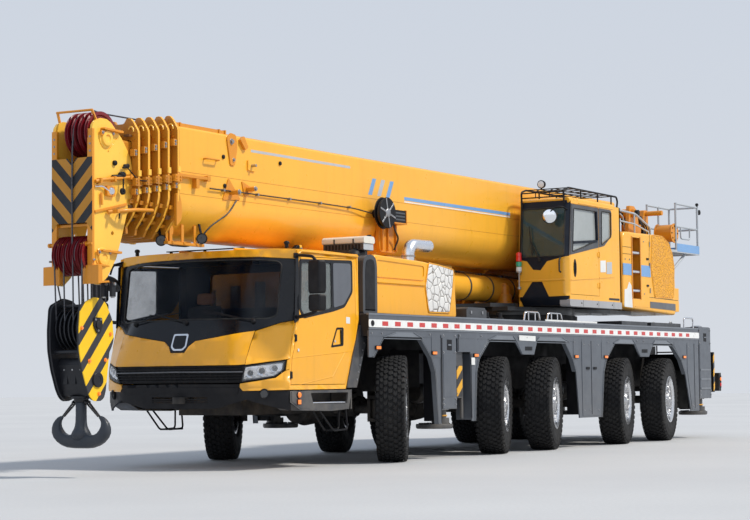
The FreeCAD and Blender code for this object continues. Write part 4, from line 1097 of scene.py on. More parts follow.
# framed seam plate in front of the step
plate(bs, "y", CAB_HALF + 11, 1, rounded([(2430, 925), (2430, 812), (2236, 722), (2040, 722), (2100, 925)], 12), thick=6)
bsr = Mesh()
bsr.join(bs)
bsr.join(bs.flipped())
make("step_boxes", "carrier", bsr, [M_DGREY], bevel=5, angle=40)
st = Mesh()
for s in (1, -1):
    # chrome tread edge of the upper step
    for k in range(2):
        tube(st, soften([(1955, s * (1345 - 90 * k), 786), (1215, s * (1345 - 90 * k), 784)], 5), 13, 0, n=10)
    for k in range(18):
        x = 1950 - k * 43
        bar(st, (x, s * 1250, 786), (x, s * 1350, 786), 8, 20, 0)
    # hanging lower step
    tube(st, soften([(1770, s * 1330, 690), (1487, s * 1345, 440), (1171, s * 1345, 452), (1186, s * 1330, 704)], 50), 12, 1, n=10)
    tube(st, soften([(1770, s * 1230, 690), (1487, s * 1215, 440), (1171, s * 1215, 452), (1186, s * 1230, 704)], 50), 12, 1, n=10)
    for k in range(11):
        x = 1478 - k * 30
        bar(st, (x, s * 1210, 444), (x, s * 1352, 444), 7, 22, 1)
make("cab_steps", "carrier", st, [M_CHROME, M_BLACK])
am = Mesh()
for s in (1, -1):
    lathe(am, (2280, s * (CAB_HALF + 8), 884), (0, s, 0), [(0, 46), (10, 46), (16, 36), (26, 28), (30, 10), (31, 0.1)], 0, n=28,
          mats=[1, 1, 0, 0, 0, 0])
    block(am, 2244, 2318, *sorted((s * (CAB_HALF + 4), s * (CAB_HALF + 20))), 768, 834, 1)
    block(am, 2250, 2312, *sorted((s * (CAB_HALF + 18), s * (CAB_HALF + 28))), 774, 828, 0)
    q, n = bumper_surface(2)(s * 1138, 905)
    c = ((q.x - OX) * 1000, q.y * 1000, q.z * 1000)
    lathe(am, c, n, [(0, 60), (22, 60), (24, 50), (12, 46), (14, 1)], 2, n=30, mats=[1, 1, 1, 2, 2])
make("front_lamps", "carrier", am, [M_AMBER, M_BLACK, M_LAMPDARK], bevel=2)
# towing eye on the front cross member
te = Mesh()
plate(te, "z", 870, 1, rounded([(2690, -88), (2820, -88), (2880, -50), (2892, 0), (2880, 50), (2820, 88), (2690, 88)], 20),
      [circle(2850, 0, 22.5, 24)], thick=80)
block(te, 2660, 2700, -140, 140, 770, 900)
make("front_tow_lug", "carrier", te, [M_FRAME], bevel=4)

# mirrors: two tall black housings on arms, the left one seen at the window
mi = Mesh()
mg = Mesh()
for s in (1, -1):
    def box_shell(cx, cy, z0, z1, wdt, dep, turn):
        c, sn = math.cos(math.radians(turn)), math.sin(math.radians(turn)) * s
        loop = rounded([(-dep / 2, -wdt / 2), (dep / 2, -wdt / 2 + 30), (dep / 2, wdt / 2 - 30), (-dep / 2, wdt / 2)], 26)
        n = len(loop)
        rows = []
        for z, k in ((z0, 0.86), (z0 + 30, 1.0), (z1 - 30, 1.0), (z1, 0.86)):
            rows.append([P(cx + (a * c - b * sn) * k, s * cy + (a * sn + b * c) * k, z) for a, b in loop])
        v = [p for r in rows for p in r]
        f = [tuple(range(n - 1, -1, -1)), tuple(range(3 * n, 4 * n))]
        for i in range(3):
            f += [(i * n + k, i * n + (k + 1) % n, (i + 1) * n + (k + 1) % n, (i + 1) * n + k) for k in range(n)]
        mi.add(v, f)
        # mirror glass on the rear face
        g = [(-dep / 2 - 4, -wdt / 2 + 26), (-dep / 2 - 4, wdt / 2 - 26)]
        gv = []
        for a, b in g:
            gv.append((cx + a * c - b * sn, s * cy + a * sn + b * c))
        (x0, y0), (x1, y1) = gv
        mg.add([P(x0, y0, z0 + 34), P(x1, y1, z0 + 34), P(x1, y1, z1 - 34), P(x0, y0, z1 - 34)], [(0, 1, 2, 3)])
    box_shell(2318, 1668, 2080, 2470, 250, 105, -12)
    box_shell(2318, 1668, 1872, 2068, 250, 100, -12)
    tube(mi, soften([(2290, s * 1330, 1810), (2302, s * 1440, 1812), (2318, s * 1620, 1850), (2322, s * 1668, 1885)], 60), 22, n=12)
    tube(mi, soften([(2262, s * 1330, 2540), (2288, s * 1430, 2545), (2318, s * 1620, 2520), (2320, s * 1668, 2460)], 60), 18, n=12)
    bar(mi, (2312, s * 1328, 1800), (2262, s * 1362, 1800), 40, 70, 0)
    bar(mi, (2290, s * 1328, 2545), (2246, s * 1362, 2545), 40, 60, 0)
make("mirror_housings", "carrier", mi, [M_BLACK], bevel=5, seg=2)
make("mirror_faces", "carrier", mg, [M_CHROME])
# kerb mirror hanging at the front right corner, as a slim hoop with its shell
km = Mesh()
for s in (-1,):
    tube(km, soften([(2420, s * 1180, 2560), (2560, s * 1230, 2520), (2600, s * 1240, 2400)], 70), 13, n=10)
    lathe(km, (2608, s * 1240, 2290), (0.55, 0.0, -0.8), [(-60, 20), (-40, 110), (0, 150), (24, 154), (26, 146), (8, 120), (2, 1)], 0, n=32)
make("kerb_mirror", "carrier", km, [M_BLACK])

# interior: dash, wheel, seats, engine tunnel, bunk wall
inn = Mesh()
prism(inn, "y", rounded([(2100, 1020), (2400, 1020), (2450, 1560), (2360, 1650), (2160, 1630), (2060, 1500)], 40), -1060, 1060)
prism(inn, "y", rounded([(2080, 1580), (2270, 1715), (2360, 1700), (2380, 1640), (2160, 1560)], 30), 480, 980)
prism(inn, "z", rounded([(1330, -290), (2190, -290), (2190, 290), (1330, 290)], 40), 1002, 1330)
block(inn, 960, 985, -1300, 1300, 1000, 1960)
block(inn, 990, 1210, -1260, 1260, 1010, 1400)
make("cab_dash", "carrier", inn, [M_BLACK], bevel=16, seg=3, replaces=("cab_interior",))
# dark lining on the rear wall, under the roof and on the side walls behind the doors
M_LINING = plastic("cab_lining", (0.008, 0.012, 0.022), rough=0.95, grain=0.06, scale=90, dust=0.02, spec=0.05)
ln = Mesh()
panel(ln, lambda y, z: (P(cab_row(z)[0] + 52, y, z), Vector((-1, 0, 0))),
      [(-1300, 1010), (1300, 1010), (1325, 1500), (1325, 2560), (-1325, 2560), (-1325, 1500)],
      [rounded([(-900, 2000), (900, 2000), (900, 2450), (-900, 2450)], 60)], step=260, thick=8)
block(ln, 985, 2150, -1310, 1310, 2560, 2568)
for s in (1, -1):
    block(ln, 960, 1100, *sorted((s * 1300, s * 1334)), 1010, 2560)
    block(ln, 1500, 1640, *sorted((s * 250, s * 262)), 2520, 2560)
make("cab_lining", "carrier", ln, [M_LINING], bevel=3)
tube_w = Mesh()
wc = Vector((1998, 720, 1690))
wax = Vector((-0.62, 0, 0.78)).normalized()
sx = Vector((0, 1, 0))
sy = wax.cross(sx).normalized()
ring = [tuple(wc + sx * 222 * math.cos(2 * math.pi * k / 40) + sy * 222 * math.sin(2 * math.pi * k / 40)) for k in range(40)]
tube(tube_w, ring, 15, n=10, closed=True)
for a in (90, 210, 330):
    q = wc + sx * 215 * math.cos(math.radians(a)) + sy * 215 * math.sin(math.radians(a))
    bar(tube_w, tuple(wc), tuple(q), 34, 14, 0, up=tuple(wax))
lathe(tube_w, tuple(wc - wax * 20), tuple(wax), [(0, 60), (30, 66), (44, 50), (48, 0.1)], n=28)
rod(tube_w, tuple(wc), (2200, 720, 1500), 36, n=16)
make("steering_wheel", "carrier", tube_w, [M_BLACK])

M_SEAT = plastic("seat_cloth", (0.020, 0.021, 0.024), rough=0.85, grain=0.6, scale=420, dust=0.1)
M_SEATTRIM = plastic("seat_trim", (0.30, 0.10, 0.02), rough=0.8, grain=0.5, scale=380, dust=0.1)


def cushion(name, body, box_loop, kind, lo, hi, mat, crown=18.0, cuts=7):
    """Padded form: a finely cut block whose faces swell between sewn channels and pull in at the corners."""
    m = Mesh()
    prism(m, kind, box_loop, lo, hi)
    me = bpy.data.meshes.new(name)
    me.from_pydata([tuple(p) for p in m.v], [], m.f)
    bm = bmesh.new()
    bm.from_mesh(me)
    bmesh.ops.bevel(bm, geom=list(bm.edges), offset=0.035, segments=3, profile=0.6, affect="EDGES", clamp_overlap=True)
    bmesh.ops.triangulate(bm, faces=[f for f in bm.faces if len(f.verts) > 4])
    bmesh.ops.subdivide_edges(bm, edges=[e for e in bm.edges if e.calc_length() > 0.06], cuts=cuts, use_grid_fill=True)
    bmesh.ops.recalc_face_normals(bm, faces=bm.faces)
    bm.normal_update()
    co = [v.co.copy() for v in bm.verts]
    lo3 = Vector((min(c.x for c in co), min(c.y for c in co), min(c.z for c in co)))
    hi3 = Vector((max(c.x for c in co), max(c.y for c in co), max(c.z for c in co)))
    for v in bm.verts:
        t = [(v.co[i] - lo3[i]) / max(1e-6, hi3[i] - lo3[i]) for i in range(3)]
        k = 1.0
        for i in range(3):
            if abs(v.normal[i]) < 0.7:
                k *= math.sin(math.pi * min(1, max(0, t[i]))) ** 0.5
        chan = 0.5 + 0.5 * math.cos(2 * math.pi * 3 * t[1])
        v.co += v.normal * (crown / 1000.0) * (k * (0.55 + 0.45 * (1 - chan ** 6)) - 0.5)
    bm.to_mesh(me)
    bm.free()
    me.materials.append(mat)
    me.polygons.foreach_set("use_smooth", [True] * len(me.polygons))
    ob = bpy.data.objects.new(name, me)
    scene.collection.objects.link(ob)
    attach(ob, body)
    return ob


for s, hand in ((1, "driver"), (-1, "passenger")):
    cushion(hand + "_seat_cushion", "carrier", rounded([(1345, s * 720 - 245), (1845, s * 720 - 235), (1845, s * 720 + 235), (1345, s * 720 + 245)], 40),
            "z", 1372, 1490, M_SEAT)
    cushion(hand + "_seat_back", "carrier", [(1350, 1480), (1468, 1490), (1400, 2010), (1285, 2030), (1262, 1990)], "y",
            s * 720 - 235, s * 720 + 235, M_SEAT)
    cushion(hand + "_headrest", "carrier", [(1276, 2050), (1366, 2046), (1345, 2190), (1262, 2186)], "y",
            s * 720 - 130, s * 720 + 130, M_SEATTRIM, crown=12, cuts=4)
    sp = Mesh()
    block(sp, 1420, 1760, s * 720 - 170, s * 720 + 170, 1002, 1040)
    prism(sp, "y", [(1430, 1040), (1750, 1040), (1700, 1370), (1480, 1370)], s * 720 - 120, s * 720 + 120)
    for q in (-1, 1):
        rod(sp, (1316, s * 720 + q * 70, 1990), (1312, s * 720 + q * 70, 2070), 7, n=10)
        tube(sp, soften([(1360, s * 720 + q * 262, 1640), (1560, s * 720 + q * 262, 1650), (1620, s * 720 + q * 262, 1650)], 20), 22, n=10)
    make(hand + "_seat_frame", "carrier", sp, [M_BLACK], bevel=8)

# ------------------------------------------------------------------ wheels
M_TYRE = plastic("tyre_rubber", (0.013, 0.013, 0.014), rough=0.78, grain=0.35, scale=120, dust=0.28, dust_col=(0.055, 0.051, 0.046), spec=0.3)
M_RIM = metal("polished_wheel", (0.80, 0.80, 0.81), rough=0.20, grime=0.30, scale=11.0, grain=0.05)
M_HUB = metal("hub_casting", (0.62, 0.62, 0.63), rough=0.30, grime=0.45, scale=16.0)
M_DRUM = metal("brake_drum", (0.055, 0.052, 0.050), rough=0.6, metallic=0.4, grime=0.7, scale=9.0)

ORIGIN = -1000.0 * OX          # station of the local origin


def polar(y, ang, r):
    """Point on the wheel: y outboard, angle about the axle, radius (mm)."""
    return Vector((r * math.sin(ang) / 1000.0, y / 1000.0, r * math.cos(ang) / 1000.0))


def tread_block(mesh, outline, low, ang0, pitch, crown, mat=0, cut=4.0):
    """Raised block: outline of (y, share of the pitch); chamfered top, straight sides down to the groove."""
    n = len(outline)
    cy = sum(p[0] for p in outline) / n
    ca = sum(p[1] for p in outline) / n
    rings = []
    for grow, drop in ((1.0, None), (1.0, 3.0), (0.86, 0.0)):
        ring = []
        for y, a in outline:
            yy, aa = cy + (y - cy) * grow, ca + (a - ca) * grow
            r = low(yy) if drop is None else crown(yy) - drop
            ring.append(polar(yy, ang0 + aa * pitch, r))
        rings.append(ring)
    v = rings[0] + rings[1] + rings[2]
    f = [tuple(range(2 * n, 3 * n))]
    for k in range(2):
        f += [(k * n + i, k * n + (i + 1) % n, (k + 1) * n + (i + 1) % n, (k + 1) * n + i) for i in range(n)]
    mesh.add(v, f, mat)


def tyre_crown(y):
    return 684.6 - 0.00018 * y * y


def tyre_groove(y):
    return 667.0 - 0.00030 * y * y


tyre = Mesh()
outer = [(118, 318), (140, 330), (158, 352), (170, 382), (178, 388), (184, 398), (188, 424), (190.6, 460), (192.3, 500),
         (193.2, 503), (193.2, 509), (192.4, 512), (191.5, 548), (188, 590), (184, 618), (179, 640), (170, 655),
         (150, 660.3), (100, 664.0), (50, 666.2), (0, 667)]
ring = outer + [(-y, r) for y, r in reversed(outer[:-1])] + [(-118, 316), (118, 316)]
lathe(tyre, (ORIGIN, 0, 0), (0, 1, 0), ring, 0, n=92, closed=True)
PITCHES = 48
pitch = 2 * math.pi / PITCHES
for k in range(PITCHES):
    a0 = k * pitch
    # centre rib: offset hexagons, linked across the crown like a zigzag
    tread_block(tyre, [(-26, 0.02), (6, 0.18), (28, 0.02), (28, 0.62), (-6, 0.78), (-26, 0.62)], tyre_groove, a0, pitch, tyre_crown)
    for s in (1, -1):
        shift = 0.32 if s > 0 else 0.72
        rows = [[(38, 0.02), (66, 0.24), (84, 0.08), (84, 0.66), (66, 0.86), (38, 0.62)],
                [(94, 0.10), (112, 0.26), (133, 0.06), (133, 0.62), (112, 0.84), (94, 0.70)]]
        for i, row in enumerate(rows):
            out = [(s * y, a + shift + i * 0.46) for y, a in row]
            tread_block(tyre, out if s > 0 else out[::-1], tyre_groove, a0, pitch, tyre_crown)
        # shoulder lug wraps over the edge and a little way down the sidewall
        base = a0 + (shift + 0.92) * pitch
        prof = [(144, 666, 681.0), (166, 662, 679.8), (180, 652, 674.5), (188.5, 626, 650.0), (190.5, 606, 628.0), (190.2, 598, 600.0)]
        lo_w, hi_w = 0.04, 0.66
        v, f = [], []
        for j, (y, rl, rt) in enumerate(prof):
            push = 4.5 if j > 2 else 0.0
            yy = s * (y + (push * 0.4 if j < len(prof) - 1 else 0))
            wob = 0.10 if j in (0, 2) else 0.0
            tap = 0.05 * max(0, j - 2)
            for a in (lo_w + wob + tap, hi_w + wob - tap):
                v.append(polar(s * y, base + a * pitch, rl if j < 3 else rl - 2))
                v.append(polar(yy, base + a * pitch, rt))
        m = len(prof)
        for j in range(m - 1):
            b0, b1 = 4 * j, 4 * (j + 1)
            f += [(b0 + 1, b1 + 1, b1 + 3, b0 + 3), (b0, b0 + 1, b1 + 1, b1), (b0 + 3, b0 + 2, b1 + 2, b1 + 3)]
        f += [(0, 2, 3, 1), (4 * m - 4, 4 * m - 3, 4 * m - 1, 4 * m - 2)]
        tyre.add(v, f, 0)
# fine radial ticks round the sidewall
for s in (1, -1):
    for k in range(72):
        a = k * 2 * math.pi / 72
        v = [polar(s * (y + e), a + w * 0.006, r) for y, r, e in ((191.2, 548, 0), (189.8, 570, 0)) for w in (-1, 1) for e in (0, 1.6)]
        tyre.add(v, [(1, 3, 7, 5), (0, 1, 5, 4), (3, 2, 6, 7), (1, 0, 2, 3), (4, 5, 7, 6)], 0)

rim = Mesh()
lathe(rim, (ORIGIN, 0, 0), (0, 1, 0),
      [(150, 300), (156, 310), (162, 336), (170, 366), (178, 382), (185, 384), (187, 378), (184, 356), (178, 330), (170, 306), (160, 294),
       (130, 290), (70, 284), (-60, 284), (-120, 290), (-150, 300), (-158, 318), (-160, 336), (-166, 338), (-168, 330),
       (-163, 314), (-155, 300), (-120, 300), (118, 300), (150, 312)], 0, n=64, closed=True)
# lamp black band of rubber valve seat is left out; disc with hand holes stands out towards the hub
DISC = [(0, 152), (150, 146), (178, 144), (196, 143), (214, 139), (262, 124), (284, 114), (300, 106)]


def disc_y(r):
    for (r0, y0), (r1, y1) in zip(DISC, DISC[1:]):
        if r <= r1:
            t = max(0.0, (r - r0) / (r1 - r0))
            return y0 + (y1 - y0) * t, (y1 - y0) / (r1 - r0)
    return DISC[-1][1], -0.3


def disc_fn(a, b):
    r = math.hypot(a, b)
    y, sl = disc_y(r)
    n = Vector((-sl * a / max(r, 1), 1, -sl * b / max(r, 1))).normalized()
    return Vector((a / 1000.0, y / 1000.0, b / 1000.0)), n


holes = [circle(0, 0, 128, 36)]
for k in range(10):
    a = 2 * math.pi * (k + 0.5) / 10
    holes.append(circle(240 * math.cos(a), 240 * math.sin(a), 27.5, 20))
panel(rim, disc_fn, circle(0, 0, 287, 72), holes, step=26, thick=13, mat=0)
for k in range(10):
    a = 2 * math.pi * (k + 0.5) / 10
    c = (ORIGIN + 240 * math.cos(a), disc_y(240)[0] + 1, 240 * math.sin(a))
    sl = disc_y(240)[1]
    nrm = (-sl * math.cos(a), 1, -sl * math.sin(a))
    lathe(rim, c, nrm, [(-12, 30), (0, 34), (3.2, 32), (3.2, 28), (-1, 26), (-12, 26)], 0, n=20, closed=True)
for k in range(10):
    a = 2 * math.pi * k / 10
    hexnut(rim, (ORIGIN + 168 * math.cos(a), 144, 168 * math.sin(a)), (0, 1, 0), 15.5, 30, 1)
# hub drive cover
lathe(rim, (ORIGIN, 0, 0), (0, 1, 0), [(60, 140), (148, 140), (153, 136), (156, 128), (164, 124), (167, 118), (178, 112),
                                      (182, 104), (184, 60), (181, 54), (181, 30), (187, 26), (189, 18), (189, 0.2)], 1, n=48)
for k in range(12):
    a = 2 * math.pi * (k + 0.5) / 12
    hexnut(rim, (ORIGIN + 118 * math.cos(a), 166, 118 * math.sin(a)), (0, 1, 0), 6.5, 9, 1)
hexnut(rim, (ORIGIN + 40, 180, 22), (0, 1, 0), 9, 8, 1)
# valve stem
rod(rim, (ORIGIN + 196, 118, 196), (ORIGIN + 204, 158, 204), 5, 1, 8)
rod(rim, (ORIGIN + 204, 158, 204), (ORIGIN + 205, 170, 205), 6.5, 1, 8)
# inner side: brake drum and its ribs
lathe(rim, (ORIGIN, 0, 0), (0, 1, 0), [(55, 255), (-85, 262), (-95, 258), (-100, 240), (-104, 150), (-100, 90), (-60, 88)], 2, n=48)
for k in range(16):
    a = 2 * math.pi * k / 16
    v = [polar(y, a + w * 0.02, r) for y in (50, -80) for w in (-1, 1) for r in (254, 270)]
    rim.add(v, [(1, 3, 7, 5), (0, 1, 5, 4), (3, 2, 6, 7), (0, 2, 3, 1), (4, 5, 7, 6)], 2)

SPARE = {}
for number, kx, toe in ((1, 97, 29.0), (2, -2660, 21.5), (3, -4220, 18.0), (4, -6770, 15.0), (5, -8460, 12.0)):
    a = math.radians(toe)
    for s, hand in ((1, "left"), (-1, "right")):
        centre = P(kx - s * 200 * math.sin(a), s * 1107 + s * 200 * math.cos(a), 685)
        turn = Matrix.Rotation(a + (0 if s > 0 else math.pi), 4, "Z")
        twist = Matrix.Rotation(math.radians(90 * (number + (s > 0))), 4, "Y")
        mat = Matrix.Translation(centre) @ turn @ twist
        name = "%d_%s" % (number, hand)
        body = "wheel_" + name
        t = make("tyre_" + name, body, tyre, [M_TYRE], angle=30, matrix=mat, replaces=["wheel_" + name],
                 data=SPARE.get("tyre"))
        SPARE["tyre"] = t.data
        w = make("rim_" + name, body, rim, [M_RIM, M_HUB, M_DRUM], angle=32, matrix=mat, data=SPARE.get("rim"))
        SPARE["rim"] = w.data

# ------------------------------------------------------------------ telescopic boom
def boom_outline(half, top, low, r, chamfer=34, arc=12):
    """(y, z) outline: flat sides, rounded lower shell, small top corners."""
    out = []
    for k in range(4):
        a = math.pi / 2 * k / 3
        out.append((half - chamfer * (1 - math.sin(math.pi / 2 - a)), top - chamfer * (1 - math.cos(math.pi / 2 - a))))
    right_side = [(half - chamfer + chamfer * math.sin(math.pi / 2 * k / 3), top - chamfer + chamfer * math.cos(math.pi / 2 * k / 3)) for k in range(4)]
    lower = [(half - r + r * math.cos(math.pi / 2 * k / arc), low + r - r * math.sin(math.pi / 2 * k / arc)) for k in range(arc + 1)]
    run = right_side + lower
    return run + [(-y, z) for y, z in reversed(run)]


def boom_section_loop(i, inset=0.0):
    k = i * 45 + inset
    return boom_outline(500 - k, 4045 - k, 2760 + k, 420 - k * 0.9)


def boom_shell(mesh, i, x0, x1, wall=11, mat=0, steps=6):
    """Hollow section from x0 to x1, closed at both rims."""
    outer, inner = boom_section_loop(i), boom_section_loop(i, wall)
    n = len(outer)
    xs = [x0 + (x1 - x0) * k / steps for k in range(steps + 1)]
    v = [P(x, y, z) for x in xs for y, z in outer] + [P(x, y, z) for x in xs for y, z in inner]
    m = n * len(xs)
    f = []
    for k in range(steps):
        for j in range(n):
            a, b = k * n + j, k * n + (j + 1) % n
            f += [(a, b, b + n, a + n), (a + m, a + n + m, b + n + m, b + m)]
    for k in (0, steps):
        for j in range(n):
            a, b = k * n + j, k * n + (j + 1) % n
            f.append((a, a + m, b + m, b) if k == 0 else (a, b, b + m, a + m))
    mesh.add(v, f, mat)


def collar_ring(mesh, i, x, mat=0):
    k = i * 45
    w, top, low = 500 - k + 62, 4045 - k * 0.4 + 110, 2690 + k * 0.3
    out = [(w - 150, top), (w - 110, top - 8), (w - 70, top - 50), (w - 8, top - 150), (w, top - 185), (w, low + 470), (w - 18, low + 390),
           (w - 90, low + 220), (w - 190, low + 90), (w * 0.52, low + 12), (w * 0.40, low)]
    ear = [(w - 205, top - 46), (w - 175, top - 4)]
    loop = [(-y, z) for y, z in reversed(out)]
    half = [(0, top - 60), (w - 225, top - 60)] + ear + out
    outline = half + [(-y, z) for y, z in reversed(half) if y > 0]
    hole = boom_section_loop(i + 1, -7) if i < 5 else None
    plate(mesh, "x", x + 40, 1, outline, [hole], thick=40, mat=mat)


def collar_rim_highlight(mesh, i, x, mat=0):
    """Bright yellow strip laid over the rim of a collar plate, along both sides: a painted highlight, the sunlit edge
    of a plate whose face carries painted shade.
    """
    k = i * 45
    w, top, low = 500 - k + 62, 4045 - k * 0.4 + 110, 2690 + k * 0.3
    run = [(w - 150, top), (w - 110, top - 8), (w - 70, top - 50), (w - 8, top - 150), (w, top - 185), (w, low + 470), (w - 18, low + 390),
           (w - 90, low + 220), (w - 190, low + 90)]
    for s in (1, -1):
        for (y0, z0), (y1, z1) in zip(run, run[1:]):
            n = Vector((0, s * (z0 - z1), y1 - y0)).normalized()
            bar(mesh, (x + 26, s * y0, z0), (x + 26, s * y1, z1), 32, 7, mat, up=(0, n.y, n.z))


M_BEAD = paint("weld_seam", (0.62, 0.28, 0.018), rough=0.4, coat=0.2, dust=0.2, grain=0.3)
# paler yellow; on the head's side plates it is painted light, their sunlit look
M_CREAM = paint("bright_yellow", (0.94, 0.53, 0.06), rough=0.36, coat=0.25, dust=0.15)
M_BROWN = plastic("wear_pad", (0.16, 0.07, 0.02), rough=0.5, dust=0.3)
# deep ochre copy of the yellow: painted shade on the collar plates, the fittings on them and the top section, faces
# turned away from the light
M_OCHRE_PAINTED_SHADE = paint("deep_ochre_painted_shade", (0.52, 0.20, 0.012), rough=0.38, coat=0.3, dust=0.2, var=0.14)

for i in range(5):
    x = 3500 + 125 * i
    body = "boom" if i == 0 else "boom_section_%d" % i
    cm = Mesh()
    if i == 0:
        boom_shell(cm, 0, -8620, 3512, wall=14, steps=10)
    else:
        boom_shell(cm, i, -8300 + 30 * i, x + 12, wall=11, steps=6)
    collar_ring(cm, i, x, 1)
    collar_rim_highlight(cm, i, x, 2)
    k = i * 45
    w = 500 - k + 62
    # the inner tubes in the darker ochre and the collar plates in the deep ochre are painted shade; the bright collar
    # rims are a painted highlight
    make("boom_tube_%d" % i if i else "boom_base_tube", body, cm, [M_YEL_PAINTED_LIGHT if i == 0 else M_OCH, M_OCHRE_PAINTED_SHADE, M_YEL_PAINTED_LIGHT], bevel=3, angle=40,
         replaces=("boom_base",) if i == 0 else ("boom_section_%d" % i,))
    det = Mesh()
    for s in (1, -1):
        # adjusting pads: boxes with bolts behind each collar plate, at three heights
        for z, hgt, out_y in ((3675 + 39 * (4 - i) * 1.0 + 0, 80, -8), (3225 + 26 * (4 - i), 70, 2)):
            y1 = w + out_y
            block(det, x + 42, x + 100, *sorted((s * (y1 - 60), s * y1)), z - hgt / 2, z + hgt / 2, 0)
            hexnut(det, (x + 70, s * y1, z + 16), (0, s, 0), 11, 12, 1)
            hexnut(det, (x + 70, s * y1, z - 18), (0, s, 0), 11, 12, 1)
        z = 3440 + 20 * (4 - i)
        block(det, x - 4, x + 46, *sorted((s * (w - 4), s * (w + 14))), z - 34, z + 34, 2)
        block(det, x + 2, x + 118, *sorted((s * (w - 20), s * (w + 30))), z - 150, z - 62, 0)
        for dx in (24, 92):
            hexnut(det, (x + dx, s * (w + 30), z - 90), (0, s, 0), 10, 11, 0)
            hexnut(det, (x + dx, s * (w + 30), z - 124), (0, s, 0), 10, 11, 0)
        block(det, x - 2, x + 44, *sorted((s * (w - 4), s * (w + 12))), z - 236, z - 176, 2)
        # curved lifting eye near the top corner
        arc = [(x + 52, s * (w - 96 + 40 * math.cos(a)), 3988 - k * 0.4 + 66 * math.sin(a)) for a in [math.pi * (0.02 + 0.8 * t / 7) for t in range(8)]]
        tube(det, arc, 9, mat=2, n=8)
        hexnut(det, (x + 40, s * (w - 60), 3905 - k * 0.4), (1, 0, 0), 13, 14, 0)
        # slanted ribs round the lower shell
        for j, a in enumerate((0.25, 0.55, 0.85, 1.12, 1.34)):
            r_in, r_out = 420 - k, 476 - k
            cy, cz = 500 - k - (420 - k), 2760 + k + (420 - k)
            p0 = (x + 42, s * (cy + (r_in + 4) * math.cos(a)), cz - (r_in + 4) * math.sin(a))
            p1 = (x + 84, s * (cy + (r_out - 14) * math.cos(a)), cz - (r_out - 14) * math.sin(a))
            bar(det, p0, (x + 112, p0[1], p0[2]), 46, 18, 3 if j % 2 else 0, up=(0, s * math.cos(a), -math.sin(a)))
            hexnut(det, (x + 40, s * (cy + (r_out - 6) * math.cos(a)), cz - (r_out - 6) * math.sin(a)), (1, 0, 0), 10, 12, 0)
    for y in (-260, -90, 90, 260):
        block(det, x + 42, x + 104, y - 42, y + 42, 4046 - k, 4072 - k, 3)
        block(det, x + 38, x + 60, y - 50, y + 50, 4060 - k, 4080 - k, 0)
    # the collar fittings carry the ochres as painted shade
    make("collar_fittings_%d" % i, body, det, [M_OCHRE_PAINTED_SHADE if i else M_OCH, M_STEEL, M_CREAM, M_BROWN], angle=40)

# weld seams, foot bosses, brackets, rib and reel on the base section
bd = Mesh()
for s in (1, -1):
    for z in (3513, 3250):
        tube(bd, [(-8600, s * 500, z), (3495, s * 500, z)], 3.4, mat=1, n=6)
    tube(bd, [(-8600, s * 470, 4044), (3495, s * 470, 4044)], 5, mat=1, n=6)
    # foot bosses: flange, collar and pin end with bolts
    lathe(bd, (-8250, s * 490, 3200), (0, s, 0), [(0, 215), (22, 215), (30, 206), (30, 180), (60, 176), (66, 170), (66, 118), (128, 112), (134, 106), (134, 30), (128, 24), (128, 0.1)], 0, n=48)
    for k in range(10):
        a = 2 * math.pi * k / 10
        hexnut(bd, (-8250 + 192 * math.cos(a), s * 520, 3200 + 192 * math.sin(a)), (0, s, 0), 10, 12, 0)
    # lugs that hold the lift cylinder's head
    y0, y1 = sorted((s * 165, s * 215))
    lug = rounded([(-2270, 2800), (-1680, 2800), (-1730, 2520), (-1850, 2415), (-2050, 2415), (-2170, 2520)], 60)
    prism(bd, "y", lug, y0, y1, 0)
    lathe(bd, (-1950, s * 214, 2480), (0, s, 0), [(0, 112), (26, 112), (30, 106), (30, 62), (38, 58), (38, 0.1)], 0, n=36)
# doubler plates over the lugs and under the collar
prism(bd, "y", rounded([(-2420, 2752), (-1500, 2752), (-1600, 2790), (-2330, 2790)], 10), -250, 250, 0)
make("boom_base_fittings", "boom", bd, [M_YEL_PAINTED_LIGHT, M_BEAD, M_STEEL], bevel=4, angle=38)

# rear end of the base section: frame plate, cross beam and the foot of the telescope cylinder
tc = Mesh()
plate(tc, "x", -8620, -1, boom_section_loop(0, 15), [boom_section_loop(0, 145)], thick=26, mat=0)
block(tc, -8560, -8430, -478, 478, 3320, 3480, 1)
for z in (3100, 3720):
    block(tc, -8590, -8520, -470, 470, z - 24, z + 24, 0)
for y in (-250, 250):
    block(tc, -8588, -8530, y - 14, y + 14, 2900, 3900, 0)
lathe(tc, (-8604, 0, 3400), (1, 0, 0), [(0, 30), (2, 104), (10, 112), (70, 116), (74, 150), (110, 152), (114, 128), (270, 128), (274, 60)], 2, n=36)
for k in range(10):
    a = 2 * math.pi * k / 10
    hexnut(tc, (-8534, 134 * math.cos(a), 3400 + 134 * math.sin(a)), (-1, 0, 0), 9, 9, 3)
for y in (-60, 60):
    tube(tc, soften([(-8540, y, 3300), (-8600, y * 1.6, 3220), (-8580, y * 3.2, 3010), (-8470, y * 4.2, 2900)], 50), 13, 4, n=8)
make("boom_rear_frame", "boom", tc, [M_YEL_PAINTED_LIGHT, M_OCH, M_STEEL, M_CHROME, M_HOSE], bevel=3, angle=40)

# top deck of the boom: rib, strut for the rope, pulley, rope clamps
bt = Mesh()
prism(bt, "y", [(-8000, 4042), (-8000, 4062), (-7900, 4072), (3380, 4072), (3470, 4062), (3470, 4042)], -55, 55, 0)
for x in range(-7600, 3300, 620):
    block(bt, x - 9, x + 9, -92, 92, 4042, 4060, 0)
